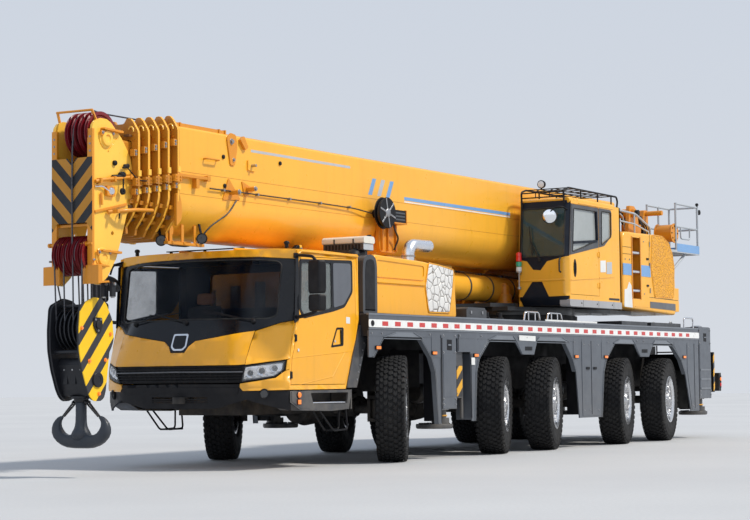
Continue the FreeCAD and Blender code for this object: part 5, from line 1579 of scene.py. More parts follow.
# rope strut beside the top edge, with its end plates
bar(bt, (3520, 440, 4043), (2472, 440, 4042), 66, 86, 1)
for x in (3490, 3380, 2620, 2500):
    block(bt, x - 12, x + 12, 396, 486, 3990, 4092, 1)
prism(bt, "y", rounded([(2513, 3995), (2440, 4066), (2330, 4050), (2300, 3900), (2353, 3669), (2440, 3669)], 25), 499, 516, 1)
hexnut(bt, (2420, 516, 3960), (0, 1, 0), 26, 26, 2)
hexnut(bt, (2380, 516, 3740), (0, 1, 0), 16, 20, 2)
prism(bt, "y", rounded([(2267, 3996), (2190, 4050), (2102, 3914), (2160, 3880)], 16), 499, 540, 1)
for a in ([(2477, 3511), (2600, 3234), (2233, 3262)], [(2210, 3497), (1939, 3409), (2150, 3300)]):
    prism(bt, "y", rounded(a, 26), 499, 513, 1)
    cx = sum(p[0] for p in a) / 3
    cz = sum(p[1] for p in a) / 3
    rod(bt, (cx, 500, cz), (cx, 640, cz), 30, 1, 20)
    hexnut(bt, (cx, 640, cz), (0, 1, 0), 22, 18, 2)
prism(bt, "y", rounded([(2083, 3767), (1937, 3752), (1937, 3632), (2083, 3640)], 14), 499, 520, 0)
rod(bt, (2010, 505, 3700), (2010, 590, 3700), 18, 2, 16)
# pulley post with its grooved wheel and the indicator rope back along the boom
for y in (62, 148):
    prism(bt, "y", rounded([(1730, 4040), (1870, 4040), (1840, 4112), (1760, 4112)], 18), y - 6, y + 6, 1)
lathe(bt, (1800, 75, 4078), (0, 1, 0), [(0, 34), (8, 36), (16, 27), (34, 27), (42, 36), (50, 34), (50, 8), (0, 8)], 3, n=28, closed=True)
# hoist rope lying along the top deck, back to the winch
tube(bt, [(1800, 100, 4112), (-2000, 100, 4098), (-5600, 90, 4086)], 9, mat=4, n=8)
for x in (600, -1400, -3400, -5200):
    for y in (80, 120):
        block(bt, x - 10, x + 10, y - 5, y + 5, 4042, 4100, 1)
    rod(bt, (x, 76, 4076), (x, 124, 4076), 9, 2, 12)
make("boom_top_fittings", "boom", bt, [M_YEL_PAINTED_LIGHT, M_OCH, M_STEEL, M_RED, M_ROPE], bevel=3, angle=38)

# painted stripes on both sides, thin raised film
st = Mesh()
for s in (1, -1):
    def film(loop, mat):
        panel(st, lambda a, b: (P(a, s * 501.2, b), Vector((0, s, 0))), loop, thick=1.6, mat=mat, flat=True)
    film([(-1650, 3600), (-4800, 3600), (-4800, 3552), (-1650, 3552)], 0)
    film([(-1650, 3540), (-4800, 3540), (-4800, 3524), (-1650, 3524)], 1)
    film([(2000, 3905), (-260, 3905), (-260, 3872), (2000, 3872)], 2)
    for k in range(3):
        x = -820 - 230 * k
        film([(x, 3790), (x - 95, 3790), (x + 20, 3560), (x + 115, 3560)], 0 if k % 2 == 0 else 2)
make("boom_stripes", "boom", st, [M_BLUE, M_REFWHITE, M_PALEGREY])

# handle, pegs and studs on the side of the base section
hd = Mesh()
for s in (1,):
    tube(hd, soften([(2960, 500, 3700), (2960, 560, 3700), (2720, 560, 3700), (2720, 500, 3700)], 30), 11, mat=0)
    for x, z in ((2575, 3760), (1380, 3790), (2550, 3410)):
        lathe(hd, (x, 500, z), (0, 1, 0), [(0, 26), (14, 26), (18, 20), (18, 0.1)], 1, n=24)
    # long bolted rail at mid height running forward to the collars, with end knob
    bar(hd, (2909, 540, 3459), (3500, 540, 3459), 34, 34, 0)
    block(hd, 3120, 3180, 500, 560, 3330, 3440, 0)
    block(hd, 2900, 2960, 500, 560, 3430, 3490, 0)
# lugs under the front collar, light plate with pin hole
for s in (1, -1):
    plate(hd, "y", s * 262, s, rounded([(3560, 2860), (3230, 2930), (3200, 2850), (3330, 2690), (3420, 2690), (3560, 2790)], 24),
          [circle(3350, 2765, 30, 20)], thick=26, mat=2)
make("boom_side_fittings", "boom", hd, [M_OCH, M_BLACK, M_CREAM], bevel=3, angle=38)
# outer fins low on the base collar
fn_m = Mesh()
for s in (1, -1):
    y0, y1 = sorted((s * 520, s * 562))
    prism(fn_m, "y", rounded([(3510, 3240), (3470, 3160), (3452, 3040), (3470, 2930), (3560, 2850), (3560, 3240)], 22), y0, y1)
    prism(fn_m, "y", rounded([(3505, 2960), (3380, 2870), (3380, 2770), (3505, 2790)], 20), *sorted((s * 330, s * 372)))
make("base_collar_fins", "boom", fn_m, [M_OCH], bevel=5, angle=40)

# support bracket, cable reel and hoses on the left side
sb = Mesh()
prism(sb, "y", rounded([(-1310, 2790), (-900, 2790), (-870, 2960), (-930, 3260), (-1310, 3260), (-1340, 3000)], 30), 499, 560, 0)
for x in (-1290, -1080, -930):
    block(sb, x - 8, x + 8, 558, 590, 2810, 3240, 0)
block(sb, -1390, -1060, 499, 700, 3180, 3200, 0)
block(sb, -1390, -1372, 499, 700, 3190, 3380, 0)
block(sb, -1390, -1060, 499, 515, 3190, 3380, 0)
block(sb, -1372, -1080, 540, 690, 3200, 3372, 1)
for z in (3230, 3275, 3320):
    block(sb, -1350, -1100, 690, 694, z, z + 22, 2)
rod(sb, (-860, 499, 3310), (-860, 650, 3310), 58, 1, 28)
lathe(sb, (-860, 628, 3310), (0, 1, 0), [(0, 60), (0, 212), (8, 218), (16, 212), (18, 120), (70, 118), (74, 206), (82, 212), (90, 206), (92, 60)], 1, n=48, closed=True)
lathe(sb, (-860, 650, 3310), (0, 1, 0), [(0, 119), (0, 176), (12, 182), (24, 178), (36, 182), (46, 178), (46, 119)], 3, n=48, closed=True)
for k in range(6):
    a = 2 * math.pi * k / 6 + 0.3
    bar(sb, (-860 + 60 * math.cos(a), 722, 3310 + 60 * math.sin(a)), (-860 + 200 * math.cos(a), 722, 3310 + 200 * math.sin(a)), 24, 5, 4, up=(0, 1, 0))
lathe(sb, (-860, 700, 3310), (0, 1, 0), [(0, 62), (26, 60), (34, 46), (36, 0.1)], 4, n=32)
tube(sb, soften([(-1130, 640, 3200), (-1130, 660, 3090), (-1260, 640, 2990), (-1240, 575, 2830)], 60), 13, mat=3, n=10)
tube(sb, soften([(-700, 560, 3300), (-300, 540, 3340), (600, 528, 3350), (2000, 524, 3352), (2880, 530, 3350)], 150), 9, mat=3, n=8)
for x in (-200, 500, 1200, 1900, 2600):
    block(sb, x - 14, x + 14, 498, 544, 3334, 3368, 4)
make("boom_bracket_and_reel", "boom", sb, [M_OCH, M_BLACK, M_LAMPDARK, M_HOSE, M_STEEL], bevel=3, angle=40)
# work lamp under the collar
wl = Mesh()
for x, y, z in ((3560, 330, 2700), (2945, 455, 2752)):
    lathe(wl, (x, y, z), (0.7, 0.7, -0.25), [(-60, 20), (-50, 44), (-10, 62), (10, 66), (16, 66), (16, 58), (8, 54), (8, 0.1)], 0, n=28, mats=[0, 0, 0, 0, 0, 0, 1])
    bar(wl, (x, y, z), (x, y - 40, z + 170), 30, 14, 0)
make("boom_work_lamp", "boom", wl, [M_BLACK, M_LAMPDARK], bevel=1)
# carrier frame of the lamps, hung under the front collar
wb = Mesh()
bar(wb, (3560, 400, 2672), (2860, 400, 2672), 60, 34, 0)
bar(wb, (3480, 300, 2700), (2980, 300, 2700), 40, 26, 0)
for x in (3470, 3250, 3010):
    bar(wb, (x, 250, 2690), (x, 440, 2680), 34, 22, 0)
    bar(wb, (x, 400, 2680), (x, 400, 2900), 46, 12, 0, up=(0, 1, 0))
    hexnut(wb, (x, 424, 2680), (0, 1, 0), 11, 10, 1)
prism(wb, "y", rounded([(3540, 2655), (3540, 2790), (3440, 2790), (3400, 2655)], 14), 372, 384, 0)
tube(wb, soften([(2945, 470, 2790), (2860, 520, 2900), (2500, 528, 3080), (2330, 520, 3250)], 120), 10, 2, n=8)
tube(wb, soften([(3540, 340, 2720), (3400, 330, 2650), (3100, 350, 2650), (2960, 420, 2700)], 60), 9, 2, n=8)
make("lamp_carrier", "boom", wb, [M_OCH, M_STEEL, M_HOSE], bevel=3, angle=40)

# ---------------------------------------------------------- top section and its head
hs = Mesh()
boom_shell(hs, 5, -8150, 4205, wall=11, steps=6)
# the top section in the deep ochre: painted shade
make("boom_tube_5", "boom_section_5", hs, [M_OCHRE_PAINTED_SHADE], bevel=2, replaces=("boom_section_5",))
HEAD_O = [(4665, 2150), (4735, 2175), (4735, 3880), (4722, 3935), (4680, 3985), (4590, 4022), (4480, 4020), (4402, 3986), (4225, 3832),
          (4110, 3690), (4060, 3600), (4022, 3410), (4032, 3180), (4085, 3030), (4135, 2961), (4230, 2680), (4316, 2457), (4470, 2240), (4590, 2145)]
hc = Mesh()
for s in (1, -1):
    holes = [circle(4385, 2735, 24, 18), circle(4640, 3300, 31, 22)]
    plate(hc, "y", s * 290, s, HEAD_O, holes, thick=34, mat=0)
    # flange round the front and back edges, in the darker ochre as painted shade
    for loop, y_in, y_out in (([(4705, 2160), (4741, 2160), (4741, 3890), (4705, 3890)], 225, 298),):
        prism(hc, "y", loop, *sorted((s * y_in, s * y_out)), 1)
    # upper and lower pin bosses with keeper plates
    for bx, bz, rr in ((4500, 3800, 92), (4560, 2450, 96)):
        lathe(hc, (bx, s * 289, bz), (0, s, 0), [(0, rr + 22), (10, rr + 22), (14, rr + 16), (14, rr), (34, rr - 4), (40, rr - 12), (40, 44), (30, 40), (30, 0.1)], 0, n=40)
        bar(hc, (bx - 110, s * 318, bz + 62), (bx + 118, s * 318, bz + 52), 58, 20, 1, up=(0, 1, 0))
        for dx in (-86, 92):
            hexnut(hc, (bx + dx, s * 328, bz + 58), (0, s, 0), 13, 13, 2)
    # shelf brackets over the bosses
    for bx, bz in ((4430, 3905), (4460, 2530)):
        prism(hc, "y", rounded([(bx - 170, bz - 26), (bx + 160, bz - 14), (bx + 160, bz + 8), (bx - 170, bz)], 6), *sorted((s * 289, s * 352)), 1)
        for dx in (-120, 0, 120):
            hexnut(hc, (bx + dx, s * 335, bz + (3 if dx > 0 else 0)), (0, 0, 1), 9, 9, 2)
    # bumper wings at the foot of the plates
    w0 = 292 if s > 0 else 300
    y0, y1 = sorted((s * 168, s * (400 if s > 0 else 408)))
    out = [(4690, 2160), (4758, 2150), (4758, 2358), (4690, 2368)]
    prism(hc, "y", out, y0, y1, 1)
    prism(hc, "y", [(4560, 2170), (4690, 2160), (4690, 2180), (4575, 2190)], *sorted((s * 288, s * 398)), 1)
    prism(hc, "y", [(4560, 2340), (4690, 2350), (4690, 2368), (4560, 2356)], *sorted((s * 288, s * 398)), 1)
    # folded stiffener down the plate and small clamps
    bar(hc, (4150, s * 300, 3080), (4700, s * 300, 2958), 26, 20, 1, up=(0, 1, 0))
    bar(hc, (4460, s * 296, 3660), (4300, s * 296, 3820), 14, 12, 0, up=(0, 1, 0))
    for z in (2300, 2420):
        rod(hc, (4700, s * 300, z), (4748, s * 330, z), 12, 2, 12)
# the paler yellow of the side plates is painted light, their sunlit look
make("boom_head_plates", "boom_section_5", hc, [M_CREAM, M_OCH, M_STEEL], bevel=4, angle=38)
# chevron plate recessed between the side plates, cross tubes and guards
ch = Mesh()
panel(ch, plane("x", 4744, 1), [(-297, 2740), (-215, 2838), (215, 2838), (297, 2740), (297, 3572), (70, 3572), (0, 3500), (-70, 3572), (-297, 3572)],
      thick=12, mat=0, flat=True)
make("boom_head_chevrons", "boom_section_5", ch, [M_CHEV], bevel=2)
cg = Mesh()
block(cg, 4160, 4204, -254, 254, 2900, 3720, 0)
prism(cg, "y", [(4204, 2870), (4700, 2800), (4700, 2830), (4204, 2905)], -254, 254, 0)
rod(cg, (4500, -290, 3860), (4500, 290, 3860), 46, 2, 28)
rod(cg, (4600, -290, 2480), (4600, 290, 2480), 46, 2, 28)
rod(cg, (4748, -322, 2600), (4748, 300, 2600), 15, 0, 16)
for y in (-318, 204):
    lathe(cg, (4748, y, 2600), (0, 1, 0), [(-14, 0.1), (-14, 26), (14, 26), (14, 0.1)], 0, n=20)
rod(cg, (4640, -314, 4122), (4640, 214, 4116), 14, 0, 12)
for y, y2 in ((-300, -272), (206, 268)):
    bar(cg, (4640, y, 4118), (4620, y2, 3960), 30, 16, 0, up=(1, 0, 0))
rod(cg, (4640, 212, 4112), (4330, 150, 4098), 9, 2, 10)
for y in (-262, 262):
    for z in (3640, 3720, 3800):
        hexnut(cg, (4741, y, z), (1, 0, 0), 9, 9, 2)
make("boom_head_frame", "boom_section_5", cg, [M_OCH, M_YEL_PAINTED_LIGHT, M_STEEL], bevel=3, angle=38)
sheaves = Mesh()


def sheave(mesh, x, y, z, r, half=17, mat=0):
    lathe(mesh, (x, y, z), (0, 1, 0), [(-half, r), (-half + 3, r + 1), (-5, r - 26), (5, r - 26), (half - 3, r + 1), (half, r),
                                      (half, r - 38), (half * 0.35, r - 52), (half * 0.35, 92), (half, 84), (half, 46), (-half, 46),
                                      (-half, 84), (-half * 0.35, 92), (-half * 0.35, r - 52), (-half, r - 38)], mat, n=56, closed=True)
    for k in range(6):
        a = 2 * math.pi * k / 6
        for s in (1, -1):
            rod(mesh, (x + (r + 30) * 0.55 * math.cos(a), y, z + (r + 30) * 0.55 * math.sin(a)),
                (x + (r + 30) * 0.55 * math.cos(a), y + s * (half * 0.35 + 1.5), z + (r + 30) * 0.55 * math.sin(a)), 30, mat, 14)


for k in range(4):
    sheave(sheaves, 4500, -78 + k * 96, 3858, 252, half=22)
for k in range(7):
    sheave(sheaves, 4600, -210 + k * 68, 2480, 224, half=18)
make("head_sheave_set", "boom_section_5", sheaves, [M_RED], angle=35, replaces=("head_sheaves",))
# rope over the upper sheaves down the front, and through the lower bank
rp = Mesh()


def rope(mesh, pts, r=11, mat=0, n=10):
    tube(mesh, pts, r, mat=mat, n=n)


arc = [(4500 + 234 * math.cos(a), 18, 3858 + 234 * math.sin(a)) for a in [math.pi * (0.60 - 0.60 * t / 12) for t in range(13)]]
rope(rp, arc + [(4752, 18, 3680), (4762, 20, 3300), (4762, 22, 2800), (4762, 24, 2620)] + [(4762, 25, 2500)], 10)
rope(rp, [(4300, 114, 4112), (3700, 114, 4112)], 9)
for y in (-170, -40, 90):
    arc = [(4600 + 204 * math.cos(a), y, 2480 + 204 * math.sin(a)) for a in [math.pi * (-0.1 + 1.2 * t / 14) for t in range(15)]]
    rope(rp, arc, 9)
make("head_ropes", "boom_section_5", rp, [M_ROPE])
# sensors, hose drum and levers on the left plate
se = Mesh()
lathe(se, (4357, 290, 3534), (0, 1, 0), [(0, 30), (26, 30), (32, 22), (32, 0.1)], 0, n=24)
for dx, dz in ((4175, 3512), (4130, 3520)):
    lathe(se, (dx, 290, dz), (0, 1, 0), [(0, 26), (22, 26), (28, 16), (28, 0.1)], 0, n=20)
bar(se, (4150, 318, 3516), (4240, 318, 3490), 20, 14, 0, up=(0, 1, 0))
lathe(se, (4252, 296, 3400), (0, 1, 0), [(0, 44), (46, 44), (50, 38), (50, 18), (60, 16), (60, 0.1)], 0, n=28)
rod(se, (4410, 310, 3368), (4230, 325, 3392), 25, 0, 20)
rod(se, (4252, 340, 3400), (4270, 352, 3223), 9, 0, 10)
lathe(se, (4270, 330, 3215), (0, 1, 0), [(0, 36), (6, 40), (14, 30), (22, 40), (28, 36), (28, 8), (0, 8)], 0, n=28, closed=True)
lathe(se, (4440, 296, 3205), (0, 1, 0), [(0, 52), (30, 50), (44, 36), (46, 0.1)], 1, n=24)
block(se, 4380, 4520, 292, 330, 3150, 3260, 2)
bar(se, (4600, 312, 3180), (4590, 312, 3040), 26, 16, 2, up=(0, 1, 0))
tube(se, soften([(4700, 310, 3297), (4560, 330, 3330), (4300, 330, 3362), (4009, 330, 3410)], 60), 20, mat=2, n=12)
tube(se, soften([(4700, 300, 3240), (4580, 318, 3250), (4480, 322, 3200)], 40), 12, mat=1, n=8)
for x in (4640, 4400, 4120):
    z = 3297 + (4700 - x) * 0.163
    block(se, x - 16, x + 16, 290, 356, z - 30, z + 30, 2)
tube(se, soften([(4120, 300, 3000), (4300, 330, 2995), (4330, 340, 2900)], 40), 9, mat=0, n=8)
tube(se, soften([(4180, 316, 3520), (4060, 350, 3400), (4040, 420, 3350), (3990, 470, 3350)], 60), 8, mat=0, n=8)
make("boom_head_sensors", "boom_section_5", se, [M_BLACK, M_CHROME, M_OCH], bevel=2, angle=40)
# lower ochre bar from the head back to the first small collar
lb = Mesh()
tube(lb, soften([(4500, 318, 2966), (4300, 420, 2990), (4150, 446, 3008), (3860, 446, 3022)], 60), 22, mat=0, n=12)
for x in (4440, 4220):
    block(lb, x - 20, x + 20, 290, 430, 2955 if x > 4400 else 2980, 2995 if x > 4400 else 3020, 0)
make("boom_head_lower_bar", "boom_section_5", lb, [M_OCH], bevel=3, angle=38)

# ------------------------------------------------------------------ hook block
M_BLOCKSIDE = paint("block_dark", (0.012, 0.013, 0.017), rough=0.42, coat=0.05, var=0.25, dust=0.1, dust_z=(1.0, 0.1), spec=0.35)
SIDE_H = [(4786, 1948), (4640, 2010), (4500, 1990), (4428, 1937), (4324, 1759), (4299, 1533), (4345, 1440), (4377, 1397), (4440, 960),
          (4470, 885), (4520, 850), (4640, 848), (4700, 890), (4753, 974), (4837, 1195), (4887, 1416), (4900, 1636), (4870, 1880), (4840, 1925)]
SIDE_H = [(min(x, 4893), z) for x, z in SIDE_H]
cover = rounded(SIDE_H, 46)
hb = Mesh()
for s in (1, -1):
    # outer cover plate of each side with its folded edge and bolts
    plate(hb, "y", s * 236, s, cover, [], thick=12, mat=0 if s > 0 else 1)
    plate(hb, "y", s * 222, s, inset_loop(cover, 10), [], thick=30, mat=1)
    # these bolt heads take the amber lens material, whose glow is painted light on parts that are no lamp
    for x, z in ((4853, 1659), (4719, 1295), (4447, 1307), (4360, 1600), (4560, 930)):
        hexnut(hb, (min(x, 4850), s * 236, z), (0, s, 0), 17, 18, 2)
    # main pin cover
    prism(hb, "y", rounded([(4520, 1780), (4650, 1780), (4660, 1690), (4600, 1600), (4550, 1600), (4510, 1690)], 20), *sorted((s * 234, s * 252)), 1)
    lathe(hb, (4583, s * 250, 1697), (0, s, 0), [(0, 44), (16, 44), (20, 36), (20, 0.1)], 1, n=28)
    for dx, dz in ((-40, 60), (45, 60), (0, -62)):
        hexnut(hb, (4583 + dx, s * 252, 1697 + dz), (0, s, 0), 9, 9, 3)
make("hook_block_covers", "hook_block", hb, [M_HOOKSTRIPE, M_BLOCKSIDE, M_AMBER, M_STEEL], bevel=4, seg=2, angle=38, replaces=("hook_block",))
# sheaves with guards between the covers
hsv = Mesh()
for k in range(7):
    sheave(hsv, 4585, -186 + k * 62, 1660, 224, half=16)
make("hook_block_sheaves", "hook_block", hsv, [M_BLOCKSIDE], angle=35)
gd = Mesh()
# front and rear guard straps hugging the sheaves, cross pins, lower housing
for k in range(6):
    y = -155 + k * 62
    pts = []
    for t in range(13):
        a = math.radians(68 - 150 * t / 12)
        pts.append((4585 + 246 * math.cos(a), 1660 + 246 * math.sin(a)))
    for (x0, z0), (x1, z1) in zip(pts, pts[1:]):
        bar(gd, (x0, y, z0), (x1, y, z1), 14, 16, 0, up=(0, 1, 0))
for z, x in ((1910, 4690), (1400, 4800), (1250, 4720), (1250, 4450), (1420, 4380), (1900, 4420)):
    rod(gd, (x, -226, z), (x, 226, z), 20, 0, 18)
prism(gd, "y", rounded([(4462, 1330), (4712, 1330), (4740, 1260), (4700, 1000), (4660, 900), (4500, 900), (4462, 1010), (4440, 1260)], 26), -196, 196, 0)
for y in (-120, 0, 120):
    block(gd, 4704, 4722, y - 34, y + 34, 1040, 1230, 0)
    hexnut(gd, (4726, y, 1200), (1, 0, 0), 12, 12, 1)
# trunnion with its nut collar
rod(gd, (4585, -252, 1085), (4585, 252, 1085), 62, 0, 32)
for s in (1, -1):
    lathe(gd, (4585, s * 236, 1085), (0, s, 0), [(0, 84), (18, 84), (22, 76), (22, 40), (14, 36), (14, 0.1)], 0, n=36)
lathe(gd, (4585, 0, 905), (0, 0, -1), [(0, 118), (22, 118), (30, 110), (30, 84), (62, 80), (66, 72), (66, 60)], 0, n=40)
make("hook_block_body", "hook_block", gd, [M_BLOCKSIDE, M_STEEL], bevel=4, angle=38)


# ramshorn: swept section, thick in the belly, tapering to the two points
def horn_point(t):
    """Centre line (y, z) and half sizes (in the plane, across it) along one horn, t from shank to tip."""
    keys = [(0.00, 0, 640, 66, 60), (0.10, 0, 560, 72, 62), (0.22, 34, 470, 84, 66), (0.34, 110, 420, 86, 66), (0.48, 210, 408, 82, 62),
            (0.60, 300, 434, 74, 56), (0.70, 352, 492, 64, 50), (0.79, 366, 560, 52, 42), (0.87, 346, 616, 37, 34), (0.94, 312, 650, 22, 24),
            (1.00, 286, 668, 9, 12)]
    for a, b in zip(keys, keys[1:]):
        if t <= b[0]:
            u = (t - a[0]) / (b[0] - a[0])
            return [a[i] + (b[i] - a[i]) * u for i in range(1, 5)]
    return list(keys[-1][1:])


ram = Mesh()
OUT = [(0, 322), (90, 322), (180, 328), (262, 352), (330, 388), (384, 440), (412, 496), (414, 552), (396, 606), (366, 644), (336, 668), (300, 684),
       (278, 684), (262, 668)]
INN = [(0, 470), (30, 476), (72, 500), (150, 470), (204, 476), (250, 498), (280, 530), (300, 566), (302, 596), (296, 620), (285, 636), (272, 650),
       (264, 660), (258, 664)]
# each horn is a skin of rounded sections between the inner throat and the outer back
n_ring = 20
for s in (1, -1):
    rings = []
    m = len(OUT)
    sections = []
    for i in range(m):
        o, n_ = OUT[i], INN[i]
        cy, cz = (o[0] + n_[0]) / 2, (o[1] + n_[1]) / 2
        ry, rz = (o[0] - n_[0]) / 2, (o[1] - n_[1]) / 2
        ln = math.hypot(ry, rz)
        thick = min(62, max(9, ln * 0.82))
        sections.append((cy, cz, ry, rz, thick))
    for cy, cz, ry, rz, thick in sections:
        ring = []
        for k in range(n_ring):
            a = 2 * math.pi * k / n_ring
            ca, sa = math.cos(a), math.sin(a)
            sq = lambda q: math.copysign(abs(q) ** 0.72, q)
            ring.append(P(4585 + sq(sa) * thick, s * (cy + ry * sq(ca)), cz + rz * sq(ca)))
        rings.append(ring)
    v = [p for r in rings for p in r]
    f = []
    for i in range(m - 1):
        f += [(i * n_ring + k, i * n_ring + (k + 1) % n_ring, (i + 1) * n_ring + (k + 1) % n_ring, (i + 1) * n_ring + k) for k in range(n_ring)]
    f.append(tuple(range((m - 1) * n_ring, m * n_ring)))
    f.append(tuple(range(n_ring - 1, -1, -1)))
    ram.add(v, f)
# shank with a flare into the horns and its collar
lathe(ram, (4585, 0, 400), (0, 0, 1), [(0, 40), (40, 96), (80, 112), (110, 100), (140, 82), (175, 70), (220, 64), (300, 62), (440, 62), (446, 58), (500, 58)], 0, n=40)
make("ramshorn_hook", "hook_block", ram, [M_HOOK], angle=50)
# safety latches from the shank down to the horn tips
lt = Mesh()
for s in (1, -1):
    for w in (-26, 26):
        bar(lt, (4585 + w, s * 92, 836), (4585 + w * 0.5, s * 262, 676), 12, 26, 0, up=(1, 0, 0))
    for t in (0.15, 0.5, 0.85):
        y, z = 92 + 170 * t, 836 - 160 * t
        rod(lt, (4585 - 26, s * y, z), (4585 + 26, s * y, z), 6, 0, 10)
    rod(lt, (4585 - 44, s * 92, 838), (4585 + 44, s * 92, 838), 13, 0, 16)
    lathe(lt, (4585 - 36, s * 78, 842), (1, 0, 0), [(0, 14), (0, 20), (72, 20), (72, 14)], 0, n=16, closed=True)
make("hook_latches", "hook_block", lt, [M_BLOCKSIDE], bevel=2, angle=38)
# rope falls between the head and the block: parts of the block's own reeving, drawn straight and taut
rf = Mesh()
FALLS = [(k, y, sgn) for k, y in enumerate((-210, -142, -74, -6, 62, 130, 198)) for sgn in (1, -1) if (k % 2 == 0 or sgn < 0)]
for k, y, sgn in FALLS:
    y2 = -186 + k * 62
    bx, tx = 4585 + sgn * 200, 4600 + sgn * 200
    rod(rf, (bx, y2, 1660), (bx + (tx - bx) * 0.44, y2 + (y - y2) * 0.44, 2021), 9, 0, 10)
make("hook_rope_falls", "hook_block", rf, [M_ROPE])
rf2 = Mesh()
for k, y, sgn in FALLS:
    y2 = -186 + k * 62
    bx, tx = 4585 + sgn * 200, 4600 + sgn * 200
    x0, y0 = bx + (tx - bx) * 0.44, y2 + (y - y2) * 0.44
    rod(rf2, (x0, y0, 2021), (tx, y, 2480), 9, 0, 10)
# rope end sockets hanging under the head: two thick dark bars side by side
for x, y in ((4585, 336), (4540, 420)):
    bar(rf2, (x, y, 2170), (x, y, 2010), 62, 40, 2, up=(0, 1, 0))
    rod(rf2, (x, y - 40, 2150), (x, y + 40, 2150), 17, 1, 14)
    rod(rf2, (x, y, 2010), (x, y, 1995), 22, 1, 14)
rod(rf2, (4640, -300, 2290), (4640, -296, 2150), 26, 1, 18, r2=18)
rod(rf2, (4640, -296, 2150), (4620, -262, 1960), 9, 0, 10)
make("head_rope_falls", "boom_section_5", rf2, [M_ROPE, M_STEEL, M_BLOCKSIDE])

# ------------------------------------------------------------------ crane operator's cab
def textured(name, col, scale=26.0, strength=0.5, distance=0.012, **kw):
    """Paint over a coarse moulded texture."""
    m = paint(name, col, **kw)
    nt = m.node_tree
    bn = next(n for n in nt.nodes if n.type == "BUMP")
    v = nt.nodes.new("ShaderNodeTexVoronoi")
    v.feature = "DISTANCE_TO_EDGE"
    v.inputs["Scale"].default_value = scale
    nt.links.new(coords(nt), v.inputs["Vector"])
    nt.links.new(ramp(nt, v.outputs["Distance"], 0.0, 0.12), bn.inputs["Height"])
    bn.inputs["Strength"].default_value = strength
    bn.inputs["Distance"].default_value = distance
    return m


M_STIPPLE = textured("stippled_yellow", YEL, scale=19.0, strength=0.6, distance=0.010, rough=0.5, coat=0.1, dust=0.1)
M_SILL = paint("sill_grey", (0.36, 0.37, 0.39), rough=0.45, coat=0.1, dust=0.3, dust_z=(2.6, 1.8))
M_GRIP = plastic("lining_grey", (0.055, 0.057, 0.06), rough=0.7, grain=0.4, scale=220)
M_SURROUND = plastic("window_surround", (0.038, 0.040, 0.046), rough=0.32, grain=0.05, scale=80, dust=0.15, coat=0.3)
M_FRONTBLACK = plastic("front_frame_black", (0.010, 0.014, 0.024), rough=0.55, grain=0.05, scale=80, dust=0.04, spec=0.2)
M_BANDGREY = paint("band_grey", (0.115, 0.120, 0.130), rough=0.42, coat=0.15, dust=0.2)
M_SIGRED = lens("signal_red", (0.62, 0.012, 0.01), glow=0.15)
M_SIGGREEN = lens("signal_green", (0.01, 0.30, 0.16), glow=0.1)
M_SIGWHITE = lens("signal_white", (0.70, 0.72, 0.70), glow=0.0)
M_MIRRORFACE = metal("mirror_face", (0.86, 0.88, 0.90), rough=0.06, grime=0.05, grain=0.01)

C_IN, C_OUT, C_R = 630, 1492, 55


def ccab_front(proud=0.0):
    """Front of the crane cab from y and z: upright below, leaning back above, round at both edges."""
    def fn(y, z):
        if z < 2260:
            x, slope = -4755 - (2260 - z) * 0.909, -0.909
        elif z <= 2880:
            x, slope = -4755, 0.0
        else:
            x, slope = -4755 - (z - 2880) * 0.1023, 0.1023
        s = 0.0
        if y > C_OUT - C_R:
            s = min(1.0, (y - (C_OUT - C_R)) / C_R)
        elif y < C_IN + C_R:
            s = max(-1.0, (y - (C_IN + C_R)) / C_R)
        c = math.sqrt(max(0.0, 1 - s * s))
        nrm = Vector((max(c, 0.02), s, slope * c)).normalized()
        return P(x - C_R * (1 - c), y, z) + nrm * (proud / 1000.0), nrm
    return fn


def arc_rows(loop, step=14):
    """Extra points on an outline where the surface turns at the two front edges."""
    out = []
    n = len(loop)
    for i in range(n):
        a, b = loop[i], loop[(i + 1) % n]
        out.append(a)
        if abs(b[0] - a[0]) < 1:
            continue
        for y in [C_IN + C_R * k / 4 for k in range(1, 5)] + [C_OUT - C_R * k / 4 for k in range(1, 5)]:
            t = (y - a[0]) / (b[0] - a[0])
            if 0.001 < t < 0.999:
                out.append((y, a[1] + (b[1] - a[1]) * t, t))
    # points that were put in one edge are ordered along it
    res, run = [], []
    for p in out:
        if len(p) == 3:
            run.append(p)
        else:
            res += [(q[0], q[1]) for q in sorted(run, key=lambda q: q[2])]
            run = []
            res.append(p)
    res += [(q[0], q[1]) for q in sorted(run, key=lambda q: q[2])]
    return res


CAB_V = [(C_IN, 2868), (797, 2836), (902, 2703), (1034, 2689), (1143, 2821), (1392, 2872), (C_OUT, 2890)]
CAB_CUT = [(C_OUT, 2292), (1169, 2288), (1055, 2516), (888, 2522), (716, 2292), (C_IN, 2292)]
cw = Mesh()
panel(cw, ccab_front(5), arc_rows(CAB_V + CAB_CUT), step=45, thick=16, mat=0)
panel(cw, ccab_front(-8), arc_rows([(C_IN, 2152), (C_OUT, 2152), (C_OUT, 3752), (C_IN, 3752)]),
      [rounded([(700, 2896), (1424, 2896), (1424, 3640), (700, 3640)], 45, 5)], step=45, thick=30, mat=3)
CWIN_V = [(-4915, 2960), (-4980, 3630), (-5755, 3630), (-5785, 3170)]
RWIN_V = [(-5945, 3120), (-5965, 3650), (-6305, 3650), (-6295, 3262)]
GAP_V = [(-4839, 2314), (-4834, 2860), (-4909, 3696), (-5851, 3696), (-5851, 2314)]
plate(cw, "y", C_OUT, 1, [(-4812, 2241), (-4812, 2880), (-4902, 3755), (-6655, 3750), (-6655, 2241)],
      [GAP_V, rounded(RWIN_V, 30)], thick=43, mat=0)
plate(cw, "y", C_OUT + 4, 1, rounded([(-4806, 2905), (-4836, 2911), (-4911, 3694), (-4890, 3700)], 6), thick=10, mat=1)
